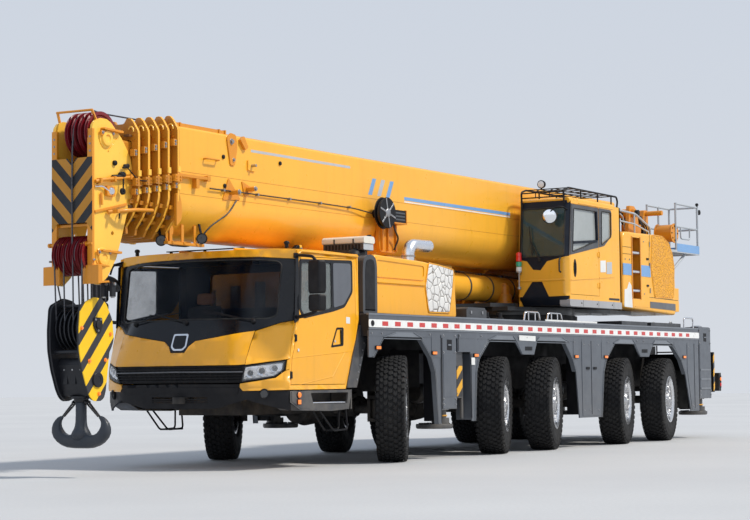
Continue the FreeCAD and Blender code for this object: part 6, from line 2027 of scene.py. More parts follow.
plate(cw, "y", C_OUT + 5, 1, rounded([(-5856, 3692), (-6290, 3690), (-6330, 3655), (-6326, 3300), (-6290, 3262), (-6050, 3112), (-5856, 3076)], 22),
      [rounded(RWIN_V, 30)], thick=12, mat=1)
plate(cw, "y", C_IN, -1, [(-4812, 2152), (-4812, 2880), (-4902, 3755), (-6655, 3750), (-6655, 2152)],
      [rounded([(-5010, 2956), (-6450, 2956), (-6450, 3596), (-5066, 3596)], 40)], thick=43, mat=0)
plate(cw, "y", C_IN - 4, -1, rounded([(-4960, 2906), (-6500, 2906), (-6500, 3646), (-5020, 3646)], 50),
      [rounded([(-5010, 2956), (-6450, 2956), (-6450, 3596), (-5066, 3596)], 40)], thick=10, mat=1)
plate(cw, "x", -6655, -1, [(C_IN, 2152), (C_OUT, 2152), (C_OUT, 3750), (C_IN, 3750)], thick=40, mat=0)
plate(cw, "z", 2150, -1, [(-4860, C_IN), (-4860, C_OUT), (-6655, C_OUT), (-6655, C_IN)], thick=30, mat=2)
for k in range(5):
    block(cw, -6664, -6652, 720 + 150 * k, 760 + 150 * k, 2300, 3600, 0)
# ridge round the lower body and the seam down the front edge
prism(cw, "y", [(-4748, 2552), (-4738, 2540), (-4738, 2532), (-4748, 2516)], 640, 1444, 0)
bar(cw, (-4812, C_OUT + 2, 2534), (-4840, C_OUT + 2, 2536), 12, 20, 0)
bar(cw, (-5856, C_OUT + 2, 2602), (-6400, C_OUT + 2, 2642), 12, 20, 0)
make("crane_cab_body", "upperworks", cw, [M_YEL_PAINTED_LIGHT, M_SURROUND, M_BLACK, M_FRONTBLACK], bevel=4, angle=48, replaces=("crane_cab_shell",))

roof = Mesh()
RF = rounded([(-4842, 3742), (-4842, 3772), (-4905, 3790), (-6600, 3782), (-6662, 3760), (-6662, 3740)], 14)
prism(roof, "y", RF, C_IN + 22, C_OUT - 70, 0)
tube(roof, soften([(-4852, C_OUT - 48, 3746), (-4880, C_OUT - 48, 3752), (-6420, C_OUT - 48, 3746), (-6460, C_OUT - 48, 3740)], 12), 46, 0, n=20)
for x in (-4992, -5120):
    tube(roof, [(x + 7, C_OUT - 48, 3751), (x - 7, C_OUT - 48, 3751)], 50, 1, n=20)
bar(roof, (-5150, C_OUT + 2, 3716), (-6400, C_OUT + 2, 3712), 14, 18, 0)
for x in (-5300, -5800, -6300):
    bar(roof, (x, C_IN + 80, 3793), (x, C_OUT - 130, 3793), 60, 14, 0)
make("crane_cab_roof", "upperworks", roof, [M_YEL_PAINTED_LIGHT, M_OCH], bevel=5, angle=45)

sl = Mesh()
SILL = rounded([(-4818, 2134), (-4788, 2170), (-4792, 2241), (-6655, 2241), (-6655, 2134)], 18)
prism(sl, "y", SILL, 1330, C_OUT + 9, 0)
for x in (-5250, -5800, -6350):
    block(sl, x - 3, x + 3, C_OUT + 5, C_OUT + 11, 2140, 2238, 1)
    hexnut(sl, (x + 60, C_OUT + 9, 2190), (0, 1, 0), 9, 9, 1)
block(sl, -6579, -6202, C_OUT - 10, C_OUT + 4, 2268, 2300, 1)
for k in range(9):
    block(sl, -6560 + 42 * k, -6532 + 42 * k, C_OUT - 4, C_OUT + 7, 2272, 2296, 2)
make("crane_cab_sill", "upperworks", sl, [M_SILL, M_BLACK, M_DGREY], bevel=3)

cg = Mesh()
panel(cg, ccab_front(-14), arc_rows(rounded([(690, 2886), (1434, 2886), (1434, 3650), (690, 3650)], 40, 5)), step=60, thick=6)
plate(cg, "y", C_OUT - 12, 1, rounded([(-5935, 3105), (-5955, 3660), (-6315, 3660), (-6305, 3250)], 25), thick=6, mat=1)
plate(cg, "y", C_IN + 14, -1, rounded([(-5000, 2946), (-6460, 2946), (-6460, 3606), (-5056, 3606)], 40), thick=6, mat=1)
make("crane_cab_panes", "upperworks", cg, [M_CABGLASS, M_PALEGLASS], replaces=("crane_cab_glass",))

# seals, wiper, grab handles, signal column, round mirror, roof lamp, roof guard
ct = Mesh()
for loop in (rounded([(700, 2896), (1424, 2896), (1424, 3640), (700, 3640)], 45, 5),):
    fn = ccab_front(-4)
    pts = [fn(a, b)[0] for a, b in dense(loop, 60)]
    pts = [((p.x - OX) * 1000, p.y * 1000, p.z * 1000) for p in pts]
    tube(ct, pts, 9, 0, n=8, closed=True)
for y, loop in ((C_OUT + 4, rounded(RWIN_V, 30)), (C_IN - 4, rounded([(-5010, 2956), (-6450, 2956), (-6450, 3596), (-5066, 3596)], 40))):
    tube(ct, [(a, y, b) for a, b in dense(loop, 90)], 9, 0, n=8, closed=True)
rod(ct, (-4756, 1027, 2850), (-4722, 1027, 2850), 24, 0, n=16)
bar(ct, (-4728, 1027, 2850), (-4752, 880, 3130), 16, 9, 0, up=(1, 0, 0))
bar(ct, (-4744, 905, 2925), (-4766, 842, 3360), 12, 18, 0, up=(1, 0, 0))
bar(ct, (-4750, 902, 2925), (-4774, 839, 3360), 5, 20, 0, up=(1, 0, 0))
tube(ct, soften([(-4755, 1372, 2650), (-4705, 1372, 2660), (-4705, 1372, 2830), (-4755, 1372, 2880)], 30), 12, 0, n=12)
rod(ct, (-4700, 691, 2428), (-4700, 691, 2672), 12, 1, n=14)
rod(ct, (-4700, 691, 2410), (-4700, 691, 2450), 30, 1, n=18)
bar(ct, (-4755, 691, 2440), (-4700, 691, 2440), 26, 12, 1)
bar(ct, (-4755, 691, 2640), (-4700, 691, 2640), 26, 12, 1)
rod(ct, (-4700, 691, 2664), (-4700, 691, 2684), 42, 1, n=24)
for z0, z1, mat in ((2684, 2752, 4), (2758, 2830, 3), (2836, 2905, 2), (2905, 2965, 2)):
    lathe(ct, (-4700, 691, z0), (0, 0, 1), [(0, 40), (4, 44), (z1 - z0 - 4, 44), (z1 - z0, 38)], mat, n=28)
lathe(ct, (-4700, 691, 2965), (0, 0, 1), [(0, 38), (8, 30), (13, 14), (14, 0.2)], 2, n=28)
make("crane_cab_trim", "upperworks", ct, [M_RUBBER, M_STEEL, M_SIGRED, M_SIGGREEN, M_SIGWHITE], angle=40)

mr = Mesh()
tube(mr, soften([(-4850, 1450, 3600), (-4720, 1430, 3640), (-4660, 1340, 3630), (-4650, 1262, 3560)], 60), 11, 0, n=12)
lathe(mr, (-4655, 1248, 3496), (0.86, 0.42, -0.10), [(-42, 14), (-34, 60), (-14, 104), (0, 112), (6, 112), (8, 106)], 0, n=40)
lathe(mr, (-4655, 1248, 3496), (0.86, 0.42, -0.10), [(6.5, 106), (12, 92), (17, 58), (19, 22), (19.5, 0.3)], 1, n=40)
make("crane_cab_mirror", "upperworks", mr, [M_BLACK, M_MIRRORFACE], angle=50)

gd = Mesh()
GX0, GX1, GY0, GY1, GZ = -4800, -6700, 700, 1415, 3945
for y in (GY0, GY1):
    tube(gd, soften([(-4815, y, 3640 if y == GY0 else 3700), (-4800, y, 3900), (-4960, y, GZ), (GX1, y, GZ - 12), (GX1 - 40, y, 3860), (GX1 - 10, y, 3770)], 45), 15, 0, n=12)
for k in range(8):
    x = -4960 - 1700 * k / 7
    rod(gd, (x, GY0, GZ - 2), (x, GY1, GZ - 2), 8, 0, n=8)
for k in (1, 2):
    y = GY0 + (GY1 - GY0) * k / 3
    rod(gd, (-4960, y, GZ), (-6660, y, GZ - 6), 7, 0, n=8)
for k in (1, 2):
    y = GY0 + (GY1 - GY0) * k / 3
    tube(gd, soften([(-4812, y, 3800), (-4808, y, 3895), (-4960, y, GZ)], 40), 8, 0, n=8)
bar(gd, (-4806, GY0, 3880), (-4806, GY1, 3880), 16, 18, 0)
bar(gd, (-4812, GY0, 3806), (-4812, GY1, 3806), 14, 18, 0)
for x in (-5400, -6000, -6500):
    for y in (GY0, GY1):
        rod(gd, (x, y, 3765), (x, y, GZ), 12, 0, n=10)
rod(gd, (-4990, 950, 3945), (-4990, 950, 3985), 14, 0, n=12)
lathe(gd, (-5050, 950, 4030), (1, 0, -0.08), [(0, 10), (4, 40), (24, 58), (60, 64), (76, 64), (78, 58)], 0, n=28)
lathe(gd, (-5050, 950, 4030), (1, 0, -0.08), [(76, 58), (82, 40), (84, 0.3)], 1, n=28)
make("crane_cab_guard", "upperworks", gd, [M_BLACK, M_CLEAR], angle=42)

# lining and equipment inside
li = Mesh()
plate(li, "z", 3706, -1, [(-4905, C_IN + 46), (-4905, C_OUT - 46), (-6610, C_OUT - 46), (-6610, C_IN + 46)], thick=8, mat=0)
plate(li, "z", 2206, 1, [(-4905, C_IN + 46), (-4905, C_OUT - 46), (-6610, C_OUT - 46), (-6610, C_IN + 46)], thick=10, mat=1)
plate(li, "x", -6608, 1, [(C_IN + 46, 2206), (C_OUT - 46, 2206), (C_OUT - 46, 3700), (C_IN + 46, 3700)], thick=7, mat=0)
plate(li, "y", C_IN + 50, 1, [(-4870, 2206), (-4870, 2870), (-4960, 3700), (-6606, 3700), (-6606, 2206)],
      [rounded([(-5016, 2962), (-6444, 2962), (-6444, 3590), (-5072, 3590)], 40)], thick=7, mat=0)
plate(li, "y", C_OUT - 50, -1, [(-5870, 2206), (-5870, 3700), (-6606, 3700), (-6606, 2206)],
      [rounded([(-5945, 3126), (-5965, 3644), (-6300, 3644), (-6290, 3268)], 30)], thick=7, mat=0)
for y in (760, 1330):
    prism(li, "y", rounded([(-6010, 2790), (-5600, 2800), (-5580, 2850), (-5990, 2878)], 18), y - 45, y + 45, 1)
    rod(li, (-5650, y, 2850), (-5636, y, 2960), 13, 1, n=12)
    lathe(li, (-5636, y, 2955), (0.1, 0, 1), [(0, 18), (20, 30), (60, 32), (84, 22), (90, 0.3)], 1, n=18)
    block(li, -6000, -5640, y - 30, y + 30, 2560, 2800, 1)
prism(li, "y", rounded([(-6110, 2206), (-5650, 2206), (-5700, 2520), (-6060, 2520)], 30), 890, 1230, 1)
prism(li, "y", rounded([(-6130, 2520), (-5640, 2520), (-5620, 2592), (-6140, 2592)], 14), 850, 1270, 1)
prism(li, "y", rounded([(-5010, 2206), (-4900, 2206), (-4900, 2790), (-5060, 2860), (-5090, 2800)], 20), 690, 900, 1)
block(li, -5000, -4970, 742, 772, 2800, 3000, 1)
prism(li, "y", rounded([(-5040, 2980), (-5000, 2986), (-5020, 3190), (-5058, 3184)], 8), 700, 960, 1)
prism(li, "y", [(-5044, 3000), (-5041, 3000), (-5060, 3172), (-5063, 3172)], 718, 942, 2)
for y in (960, 1080, 1200):
    prism(li, "y", rounded([(-4990, 2216), (-4900, 2300), (-4912, 2312), (-5000, 2228)], 4), y, y + 70, 1)
make("crane_cab_fittings", "upperworks", li, [M_GRIP, M_BLACK, M_LAMPDARK], bevel=4, replaces=("crane_cab_interior",))
cushion("crane_seat_cushion", "upperworks", rounded([(-6130, 815), (-5610, 825), (-5610, 1295), (-6130, 1305)], 40), "z", 2594, 2712, M_SEAT)
cushion("crane_seat_back", "upperworks", [(-6160, 2690), (-6046, 2700), (-6110, 3230), (-6224, 3250), (-6248, 3210)], "y", 830, 1290, M_SEAT)
cushion("crane_headrest", "upperworks", [(-6240, 3276), (-6150, 3272), (-6166, 3410), (-6246, 3406)], "y", 935, 1185, M_SEATTRIM, crown=12, cuts=4)

# door
cd = Mesh()
DOOR_V = [(-4845, 2320), (-4840, 2860), (-4915, 3690), (-5845, 3690), (-5845, 2320)]
plate(cd, "y", C_OUT, 1, DOOR_V, [rounded(CWIN_V, 30)], thick=38, mat=0)
plate(cd, "y", C_OUT + 5, 1, rounded([(-4846, 2912), (-4917, 3688), (-5840, 3688), (-5840, 3074), (-5700, 3052)], 8),
      [rounded(CWIN_V, 30)], thick=12, mat=1)
plate(cd, "y", C_OUT - 44, -1, inset_loop(DOOR_V, 18), [rounded(CWIN_V, 30)], thick=8, mat=2)
bar(cd, (-4850, C_OUT + 2, 2536), (-5838, C_OUT + 2, 2601), 12, 20, 0)
bar(cd, (-4930, C_OUT + 4, 3100), (-5772, C_OUT + 4, 3168), 22, 40, 4)
bar(cd, (-5782, C_OUT + 4, 3180), (-5756, C_OUT + 4, 3630), 40, 22, 4, up=(1, 0, 0))
for k, (sx, sz, dy, mat) in enumerate(((52, 138, 4, 2), (40, 122, 7, 3))):
    prism(cd, "y", [(-4998 + sx * math.cos(t), 2717 + sz * math.sin(t)) for t in [2 * math.pi * i / 28 for i in range(28)]],
          C_OUT - 6, C_OUT + dy, mat)
bar(cd, (-4992, C_OUT + 12, 2630), (-4992, C_OUT + 12, 2800), 18, 26, 2, up=(1, 0, 0))
for z in (2480, 2960):
    block(cd, -5843, -5790, C_OUT - 8, C_OUT + 7, z - 32, z + 32, 0)
    rod(cd, (-5848, C_OUT + 12, z - 45), (-5848, C_OUT + 12, z + 45), 9, 0, n=16)
tube(cd, [(a, C_OUT + 4, b) for a, b in dense(rounded(CWIN_V, 30), 90)], 9, 3, n=8, closed=True)
tube(cd, soften([(-5000, C_OUT - 50, 2560), (-5000, C_OUT - 90, 2580), (-5500, C_OUT - 90, 2620), (-5520, C_OUT - 50, 2620)], 30), 12, 2, n=10)
make("crane_door_leaf", "crane_cab_door", cd, [M_YEL_PAINTED_LIGHT, M_SURROUND, M_BLACK, M_RUBBER, M_FRONTBLACK], bevel=4, angle=45, replaces=("crane_cab_door",))
dg = Mesh()
plate(dg, "y", C_OUT - 12, 1, rounded([(-4905, 2950), (-4972, 3640), (-5765, 3640), (-5795, 3160)], 28), thick=6)
make("crane_door_pane", "crane_cab_door", dg, [M_PALEGLASS])

# blank plates on the side of the cab
pl = Mesh()
plate(pl, "y", C_OUT + 4, 1, rounded([(-5894, 2690), (-6090, 2700), (-6090, 2884), (-5894, 2872)], 10), thick=5, mat=0)
plate(pl, "y", C_OUT + 4, 1, rounded([(-6120, 2672), (-6316, 2684), (-6316, 2872), (-6120, 2860)], 10), thick=5, mat=1)
plate(pl, "y", 1405, 1, rounded([(-6960, 2190), (-7280, 2180), (-7250, 2540), (-7160, 2600), (-7080, 2480), (-6980, 2470)], 20), thick=5, mat=0)
make("blank_side_plates", "upperworks", pl, [M_WHITE, M_PALEGREY], bevel=1)


# ------------------------------------------------------------------ housings beside the boom foot
def soft_shell(mesh, loop, y0, y1, r=32, holes=(), mat=0, wall=10, steps=5, back=True):
    """Closed outline in (x, z) drawn out along y, its outer face turned over with a fillet."""
    s = 1 if y1 > y0 else -1
    rows = [(y0, 0.0)] + [(y1 - s * r * (1 - math.sin(math.pi / 2 * k / steps)), r * (1 - math.cos(math.pi / 2 * k / steps)))
                          for k in range(steps + 1)]
    n = len(loop)
    v = []
    for y, d in rows:
        v += [P(a, y, b) for a, b in (inset_loop(loop, d) if d > 0 else loop)]
    f = []
    for i in range(len(rows) - 1):
        f += [(i * n + k, i * n + (k + 1) % n, (i + 1) * n + (k + 1) % n, (i + 1) * n + k) for k in range(n)]
    if back:
        f.append(tuple(range(n)))
    mesh.add(v, f, mat)
    plate(mesh, "y", y1, s, inset_loop(loop, r), holes, thick=wall, mat=mat)


def seam(mesh, kind_y, pts, mat, w=6):
    """Thin dark joint line on a side face."""
    for a, b in zip(pts, pts[1:]):
        bar(mesh, (a[0], kind_y, a[1]), (b[0], kind_y, b[1]), 5, w, mat)


HOUSE_V = rounded([(-6930, 2176), (-6930, 3300), (-7010, 3405), (-8450, 3424), (-8660, 3364), (-8890, 3200), (-9062, 2700), (-9062, 2098)], 70, 5)
LADDER = rounded([(-7270, 2330), (-7640, 2330), (-7640, 3330), (-7270, 3330)], 24)
hs = Mesh()
soft_shell(hs, HOUSE_V, 628, 1400, r=34, holes=(LADDER,))
make("left_housing", "upperworks", hs, [M_YEL_PAINTED_LIGHT], angle=30, replaces=("superstructure_housing",))
hr = Mesh()
plate(hr, "x", -7270, -1, [(1150, 2330), (1392, 2330), (1392, 3330), (1150, 3330)], thick=8, mat=0)
plate(hr, "x", -7640, 1, [(1150, 2330), (1392, 2330), (1392, 3330), (1150, 3330)], thick=8, mat=0)
plate(hr, "y", 1150, 1, [(-7640, 2330), (-7270, 2330), (-7270, 3330), (-7640, 3330)], thick=8, mat=0)
for z, up_ in ((2330, 1), (3330, -1)):
    plate(hr, "z", z, up_, [(-7640, 1150), (-7270, 1150), (-7270, 1392), (-7640, 1392)], thick=8, mat=0)
for z in (2446, 2755, 3065):
    prism(hr, "y", rounded([(-7634, z), (-7276, z), (-7276, z + 34), (-7634, z + 34)], 8), 1200, 1392, 1)
    for k in range(7):
        block(hr, -7620 + 50 * k, -7590 + 50 * k, 1196, 1396, z + 33, z + 39, 2)
block(hr, -7636, -7606, 1396, 1410, 2320, 3345, 0)
block(hr, -7304, -7274, 1396, 1410, 2320, 3345, 0)
make("ladder_recess", "upperworks", hr, [M_OCH, M_PALEGREY, M_STEEL], bevel=3)

hd = Mesh()
# the stipple's sunken cell edges are tinted deep ochre: painted shade in its grooves
nt_ = M_STIPPLE.node_tree
v_ = next(n for n in nt_.nodes if n.type == "TEX_VORONOI")
b_ = next(n for n in nt_.nodes if n.type == "BSDF_PRINCIPLED")
src_ = b_.inputs["Base Color"].links[0].from_socket
nt_.links.new(mixc(nt_, ramp(nt_, v_.outputs["Distance"], 0.02, 0.09), (0.52, 0.20, 0.012), src_), b_.inputs["Base Color"])
STIP = [(-8110, 3400), (-8524, 3396), (-8790, 3300), (-8930, 3130), (-9000, 2900), (-8950, 2392), (-8190, 2384), (-8058, 2859)]
plate(hd, "y", 1409, 1, rounded(STIP, 40), thick=12, mat=1)
tube(hd, [(a, 1404, b) for a, b in dense(rounded(inset_loop(STIP, -14), 44), 200)], 8, 0, n=8, closed=True)
plate(hd, "y", 1405, 1, [(-6940, 2704), (-7262, 2704), (-7262, 2890), (-6940, 2890)], thick=7, mat=2)
plate(hd, "y", 1405, 1, [(-7650, 2704), (-8030, 2704), (-8010, 2890), (-7650, 2890)], thick=7, mat=2)
plate(hd, "y", 1405, 1, [(-7985, 2196), (-9040, 2176), (-9040, 2290), (-7985, 2300)], thick=7, mat=3)
plate(hd, "y", 1405, 1, [(-7300, 2206), (-7960, 2198), (-7960, 2300), (-7300, 2308)], thick=7, mat=0)
for z in (3045, 3158):
    seam(hd, 1401, [(-6940, z), (-7262, z)], 4)
seam(hd, 1401, [(-7965, 2200), (-7965, 2860), (-8010, 3410)], 4, 7)
seam(hd, 1401, [(-7965, 2372), (-9050, 2352)], 4, 6)
seam(hd, 1401, [(-7640, 2140), (-7640, 2330)], 4, 6)
for x, z in ((-7030, 2960), (-7200, 2960), (-7760, 3280), (-7760, 2420)):
    hexnut(hd, (x, 1401, z), (0, 1, 0), 10, 8, 5)
for x, z in ((-7900, 3000), (-7900, 2560)):
    prism(hd, "y", rounded([(x - 40, z - 16), (x + 40, z - 16), (x + 40, z + 16), (x - 40, z + 16)], 12), 1398, 1412, 4)
for z in (2480, 2900, 3250):
    rod(hd, (-7990, 1408, z - 40), (-7990, 1408, z + 40), 9, 5, n=12)
for k in range(9):
    block(hd, -6928 + 2, -6922, 700, 1330, 2450 + 46 * k, 2474 + 46 * k, 4)
for x0 in (-7300, -8000):
    plate(hd, "z", 3424, 1, rounded([(x0 - 560, 700), (x0, 700), (x0, 1300), (x0 - 560, 1300)], 30), thick=8, mat=0)
    for k in range(8):
        bar(hd, (x0 - 60 - 60 * k, 760, 3429), (x0 - 60 - 60 * k, 1240, 3429), 20, 10, 4)
make("left_housing_trim", "upperworks", hd, [M_YEL_PAINTED_LIGHT, M_STIPPLE, M_BLUE, M_BANDGREY, M_BLACK, M_STEEL], bevel=2, angle=40)

RIGHT_V = rounded([(-4950, 2170), (-4950, 2900), (-5210, 3250), (-8450, 3424), (-8660, 3364), (-8890, 3200), (-9062, 2700), (-9062, 2098)], 60, 5)
rh = Mesh()
soft_shell(rh, RIGHT_V, -628, -1400, r=34)
make("right_housing", "upperworks", rh, [M_YEL_PAINTED_LIGHT], angle=30)
rt = Mesh()
DOORS_R = [[(-5080, 2250), (-5900, 2240), (-5900, 3200), (-5290, 3170), (-5080, 2900)],
           [(-5960, 2240), (-6900, 2230), (-6900, 3255), (-5960, 3205)],
           [(-6960, 2230), (-7900, 2220), (-7900, 3310), (-6960, 3258)]]
for d in DOORS_R:
    plate(rt, "y", -1408, -1, rounded(d, 34), thick=12, mat=0)
    xs = [p[0] for p in d]
    for z in (2420, 2980):
        for x in (max(xs) - 14,):
            rod(rt, (x, -1412, z - 50), (x, -1412, z + 50), 9, 3, n=12)
    prism(rt, "y", rounded([(min(xs) + 60, 2560), (min(xs) + 160, 2560), (min(xs) + 160, 2620), (min(xs) + 60, 2620)], 14), -1420, -1400, 2)
for k in range(17):
    z = 2420 + 44 * k
    prism(rt, "x", [(-1402, z), (-1430, z - 16), (-1434, z - 10), (-1402, z + 12)], -6780, -6080, 2)
for x in (-6790, -6070):
    block(rt, x - 14, x + 14, -1436, -1400, 2390, 3160, 0)
for z in (2384, 3160):
    block(rt, -6804, -6056, -1436, -1400, z - 14, z + 14, 0)
plate(rt, "y", -1408, -1, rounded([(-8060, 2392), (-8190, 2384), (-8950, 2392), (-9000, 2900), (-8930, 3130), (-8790, 3300), (-8524, 3390), (-8060, 3360)], 40), thick=12, mat=1)
plate(rt, "y", -1405, -1, [(-7985, 2196), (-9040, 2176), (-9040, 2290), (-7985, 2300)], thick=7, mat=4)
plate(rt, "y", -1410, -1, [(-7000, 2704), (-7860, 2704), (-7860, 2890), (-7000, 2890)], thick=7, mat=5)
tube(rt, soften([(-5300, -1330, 3270), (-5300, -1330, 3560), (-8300, -1330, 3700), (-8300, -1330, 3410)], 80), 17, 6, n=12)
for x in (-6300, -7300):
    rod(rt, (x, -1330, 3310), (x, -1330, 3560 + (-5300 - x) * 0.0467), 15, 6, n=12)
for x0, x1 in ((-5500, -6400), (-6600, -7500), (-7700, -8400)):
    za, zb = 3250 + (-5210 - x0) * 0.0537, 3250 + (-5210 - x1) * 0.0537
    bar(rt, (x0, -1010, za + 6), (x1, -1010, zb + 6), 520, 10, 2)
    for k in range(10):
        t = (k + 0.5) / 10
        x = x0 + (x1 - x0) * t
        bar(rt, (x, -1240, za + (zb - za) * t + 16), (x, -780, za + (zb - za) * t + 16), 20, 12, 0)
make("right_housing_trim", "upperworks", rt, [M_YEL_PAINTED_LIGHT, M_STIPPLE, M_BLACK, M_STEEL, M_BANDGREY, M_BLUE, M_GREYRAIL], bevel=2, angle=40)

# pipes, valve block, motor and brackets standing on the left housing
gr = Mesh()
tube(gr, soften([(-6990, 1290, 3400), (-6990, 1290, 3760), (-7700, 1290, 3740), (-8380, 1250, 3560), (-8420, 1240, 3410)], 70), 17, 0, n=12)
tube(gr, soften([(-7000, 1290, 3590), (-7660, 1290, 3570), (-8300, 1255, 3480)], 30), 14, 0, n=12)
rod(gr, (-7660, 1290, 3410), (-7660, 1290, 3740), 15, 0, n=12)
for k, (x, z, y) in enumerate(((-7150, 3800, 1100), (-7350, 3840, 1020), (-7560, 3880, 940))):
    tube(gr, soften([(x + 60, y, 3420), (x, y, z - 120), (x - 240, y - 30, z), (x - 620, y - 60, z - 90), (x - 760, y - 80, 3430)], 90), 15 + 3 * k, 2 if k else 0, n=12)
prism(gr, "y", rounded([(-7780, 3420), (-8240, 3420), (-8200, 3700), (-8060, 3900), (-7860, 3900)], 30), 690, 760, 1)
prism(gr, "y", rounded([(-7780, 3420), (-8240, 3420), (-8200, 3700), (-8060, 3900), (-7860, 3900)], 30), 1060, 1120, 1)
rod(gr, (-7980, 640, 3780), (-7980, 1170, 3780), 74, 1, n=28)
rod(gr, (-7980, 1170, 3780), (-7980, 1230, 3780), 50, 3, n=24)
lathe(gr, (-8330, 780, 3700), (0, 1, 0), [(0, 40), (6, 96), (150, 96), (158, 84), (250, 84), (256, 60), (330, 60), (334, 20)], 3, n=32)
for k in range(6):
    lathe(gr, (-8330, 780 + 22 * k + 12, 3700), (0, 1, 0), [(0, 96), (0, 104), (9, 104), (9, 96)], 3, n=32)
block(gr, -8440, -8220, 800, 1060, 3420, 3620, 1)
block(gr, -8620, -8480, 860, 1080, 3380, 3560, 3)
for k in range(4):
    tube(gr, soften([(-8550 + 20 * k, 900 + 46 * k, 3560), (-8550 + 20 * k, 900 + 46 * k, 3660 + 20 * k), (-8760, 930 + 40 * k, 3640), (-8900, 940 + 40 * k, 3330)], 60), 13, 2, n=10)
prism(gr, "y", rounded([(-8700, 3330), (-8860, 3230), (-8980, 3560), (-8960, 3900), (-8800, 3900)], 30), 880, 960, 1)
rod(gr, (-8880, 860, 3840), (-8880, 1260, 3840), 42, 1, n=24)
lathe(gr, (-9320, 980, 3520), (0, 1, 0), [(0, 20), (0, 168), (16, 168), (16, 150), (300, 150), (300, 168), (316, 168), (316, 20)], 1, n=48)
for k in range(8):
    a = 2 * math.pi * k / 8
    hexnut(gr, (-9320 + 120 * math.cos(a), 1296, 3520 + 120 * math.sin(a)), (0, 1, 0), 11, 10, 3)
prism(gr, "y", [(-9070, 3060), (-9120, 3060), (-9420, 3420), (-9300, 3520), (-9070, 3300)], 1080, 1130, 1)
make("upper_pipework", "upperworks", gr, [M_GREYRAIL, M_OCH, M_HOSE, M_BLACK], bevel=3, angle=40)

# ------------------------------------------------------------------ access platform
bk = Mesh()
BX0, BX1, BY0, BY1 = -10315, -9350, 775, 1305
for x, y in ((BX0, BY0), (BX0, BY1), (BX1, BY0), (BX1, BY1), (-9840, BY0)):
    rod(bk, (x, y, 3200), (x, y, 4040), 19, 0, n=14)
    rod(bk, (x, y, 4036), (x, y, 4046), 22, 2, n=14)
for z in (3640, 4030):
    tube(bk, soften([(BX1, BY0, z), (BX0, BY0, z), (BX0, BY1, z), (BX1, BY1, z)], 70), 18, 0, n=12)
tube(bk, soften([(-9960, BY1, 3640), (-9960, BY1, 3440), (-9560, BY1, 3440), (-9560, BY1, 3640)], 60), 14, 0, n=12)
for y0, y1 in ((BY0 - 24, BY0 - 12), (BY1 + 12, BY1 + 24)):
    block(bk, BX0 - 20, BX1, y0, y1, 3206, 3346, 1)
block(bk, BX0 - 26, BX0 - 14, BY0 - 20, BY1 + 20, 3206, 3346, 1)
for x0, x1, y0, y1 in ((BX0 - 22, -8992, BY0 - 22, BY0 + 14), (BX0 - 22, -8992, BY1 - 14, BY1 + 22), (BX0 - 22, BX0 + 14, BY0, BY1), (-9030, -8992, BY0, BY1)):
    block(bk, x0, x1, y0, y1, 3188, 3232, 0)
for k in range(13):
    y = BY0 + 24 + (BY1 - BY0 - 48) * k / 12
    block(bk, BX0, -9000, y - 3, y + 3, 3196, 3228, 2)
for k in range(28):
    x = BX0 + 30 + 1080 * k / 27
    block(bk, x - 3, x + 3, BY0, BY1, 3212, 3226, 2)
for y in (800, 1240):
    prism(bk, "y", rounded([(-9058, 3200), (-8992, 3200), (-9058, 2720), (-9120, 2720)], 10), y - 38, y + 38, 3)
    rod(bk, (-9080, y, 2762), (-9900, y, 3192), 24, 0, n=14)
make("platform_basket", "upperworks", bk, [M_GREYRAIL, M_BLUE, M_STEEL, M_OCH], bevel=2, angle=42, replaces=("access_platform",))
bl = Mesh()
rod(bl, (BX0, BY1, 4046), (BX0, BY1, 4070), 16, 0, n=12)
lathe(bl, (BX0, BY1, 4066), (0, 0, 1), [(0, 26), (6, 30), (30, 28), (42, 14), (44, 0.3)], 0, n=24)
rod(bl, (BX0 - 10, BY1, 3960), (BX0 - 70, BY1, 3950), 15, 0, n=12)
lathe(bl, (BX0 - 78, BY1 - 40, 3950), (0, 1, 0), [(0, 30), (4, 44), (60, 44), (66, 30)], 0, n=24)
make("platform_lamps", "upperworks", bl, [M_BLACK, M_AMBER], angle=42)

# ------------------------------------------------------------------ slewing platform and winches
tb = Mesh()
for s in (1, -1):
    rod(tb, (-8250, s * 612, 3200), (-8250, s * 640, 3200), 150, 0, n=40)
    rod(tb, (-8250, s * 636, 3200), (-8250, s * 652, 3200), 96, 1, n=32)
    for k in range(8):
        a = 2 * math.pi * k / 8
        hexnut(tb, (-8250 + 124 * math.cos(a), s * 640, 3200 + 124 * math.sin(a)), (0, s, 0), 11, 10, 1)
    rod(tb, (-6900, s * 298, 2420), (-6900, s * 330, 2420), 118, 0, n=36)
    for k in range(6):
        a = 2 * math.pi * k / 6
        hexnut(tb, (-6900 + 92 * math.cos(a), s * 330, 2420 + 92 * math.sin(a)), (0, s, 0), 10, 9, 1)
    bar(tb, (-5300, s * 588, 2206), (-9000, s * 588, 2206), 90, 14, 0)
    for x in (-6000, -7000):
        prism(tb, "y", [(x, 2204), (x - 30, 2204), (x - 30, 2500)], s * 470 if s > 0 else -560, s * 560 if s > 0 else -470, 0)
for k in range(4):
    tube(tb, soften([(-6300, -380 + 60 * k, 2210), (-6300, -380 + 60 * k, 2300), (-7200, -400 + 60 * k, 2330 + 14 * k),
                     (-8200, -300 + 50 * k, 2320), (-8380, -260 + 50 * k, 2400)], 80), 15, 2, n=10)
for y in (-200, 200):
    lathe(tb, (-5150, y, 2202), (0, 0, 1), [(0, 130), (40, 130), (46, 112), (150, 112), (156, 86), (300, 86), (306, 60), (330, 60)], 3, n=36)
    for k in range(8):
        a = 2 * math.pi * k / 8
        hexnut(tb, (-5150 + 121 * math.cos(a), y + 121 * math.sin(a), 2242), (0, 0, 1), 8, 8, 1)
make("platform_fittings", "upperworks", tb, [M_DGREY, M_STEEL, M_HOSE, M_OCH], bevel=3, angle=42)

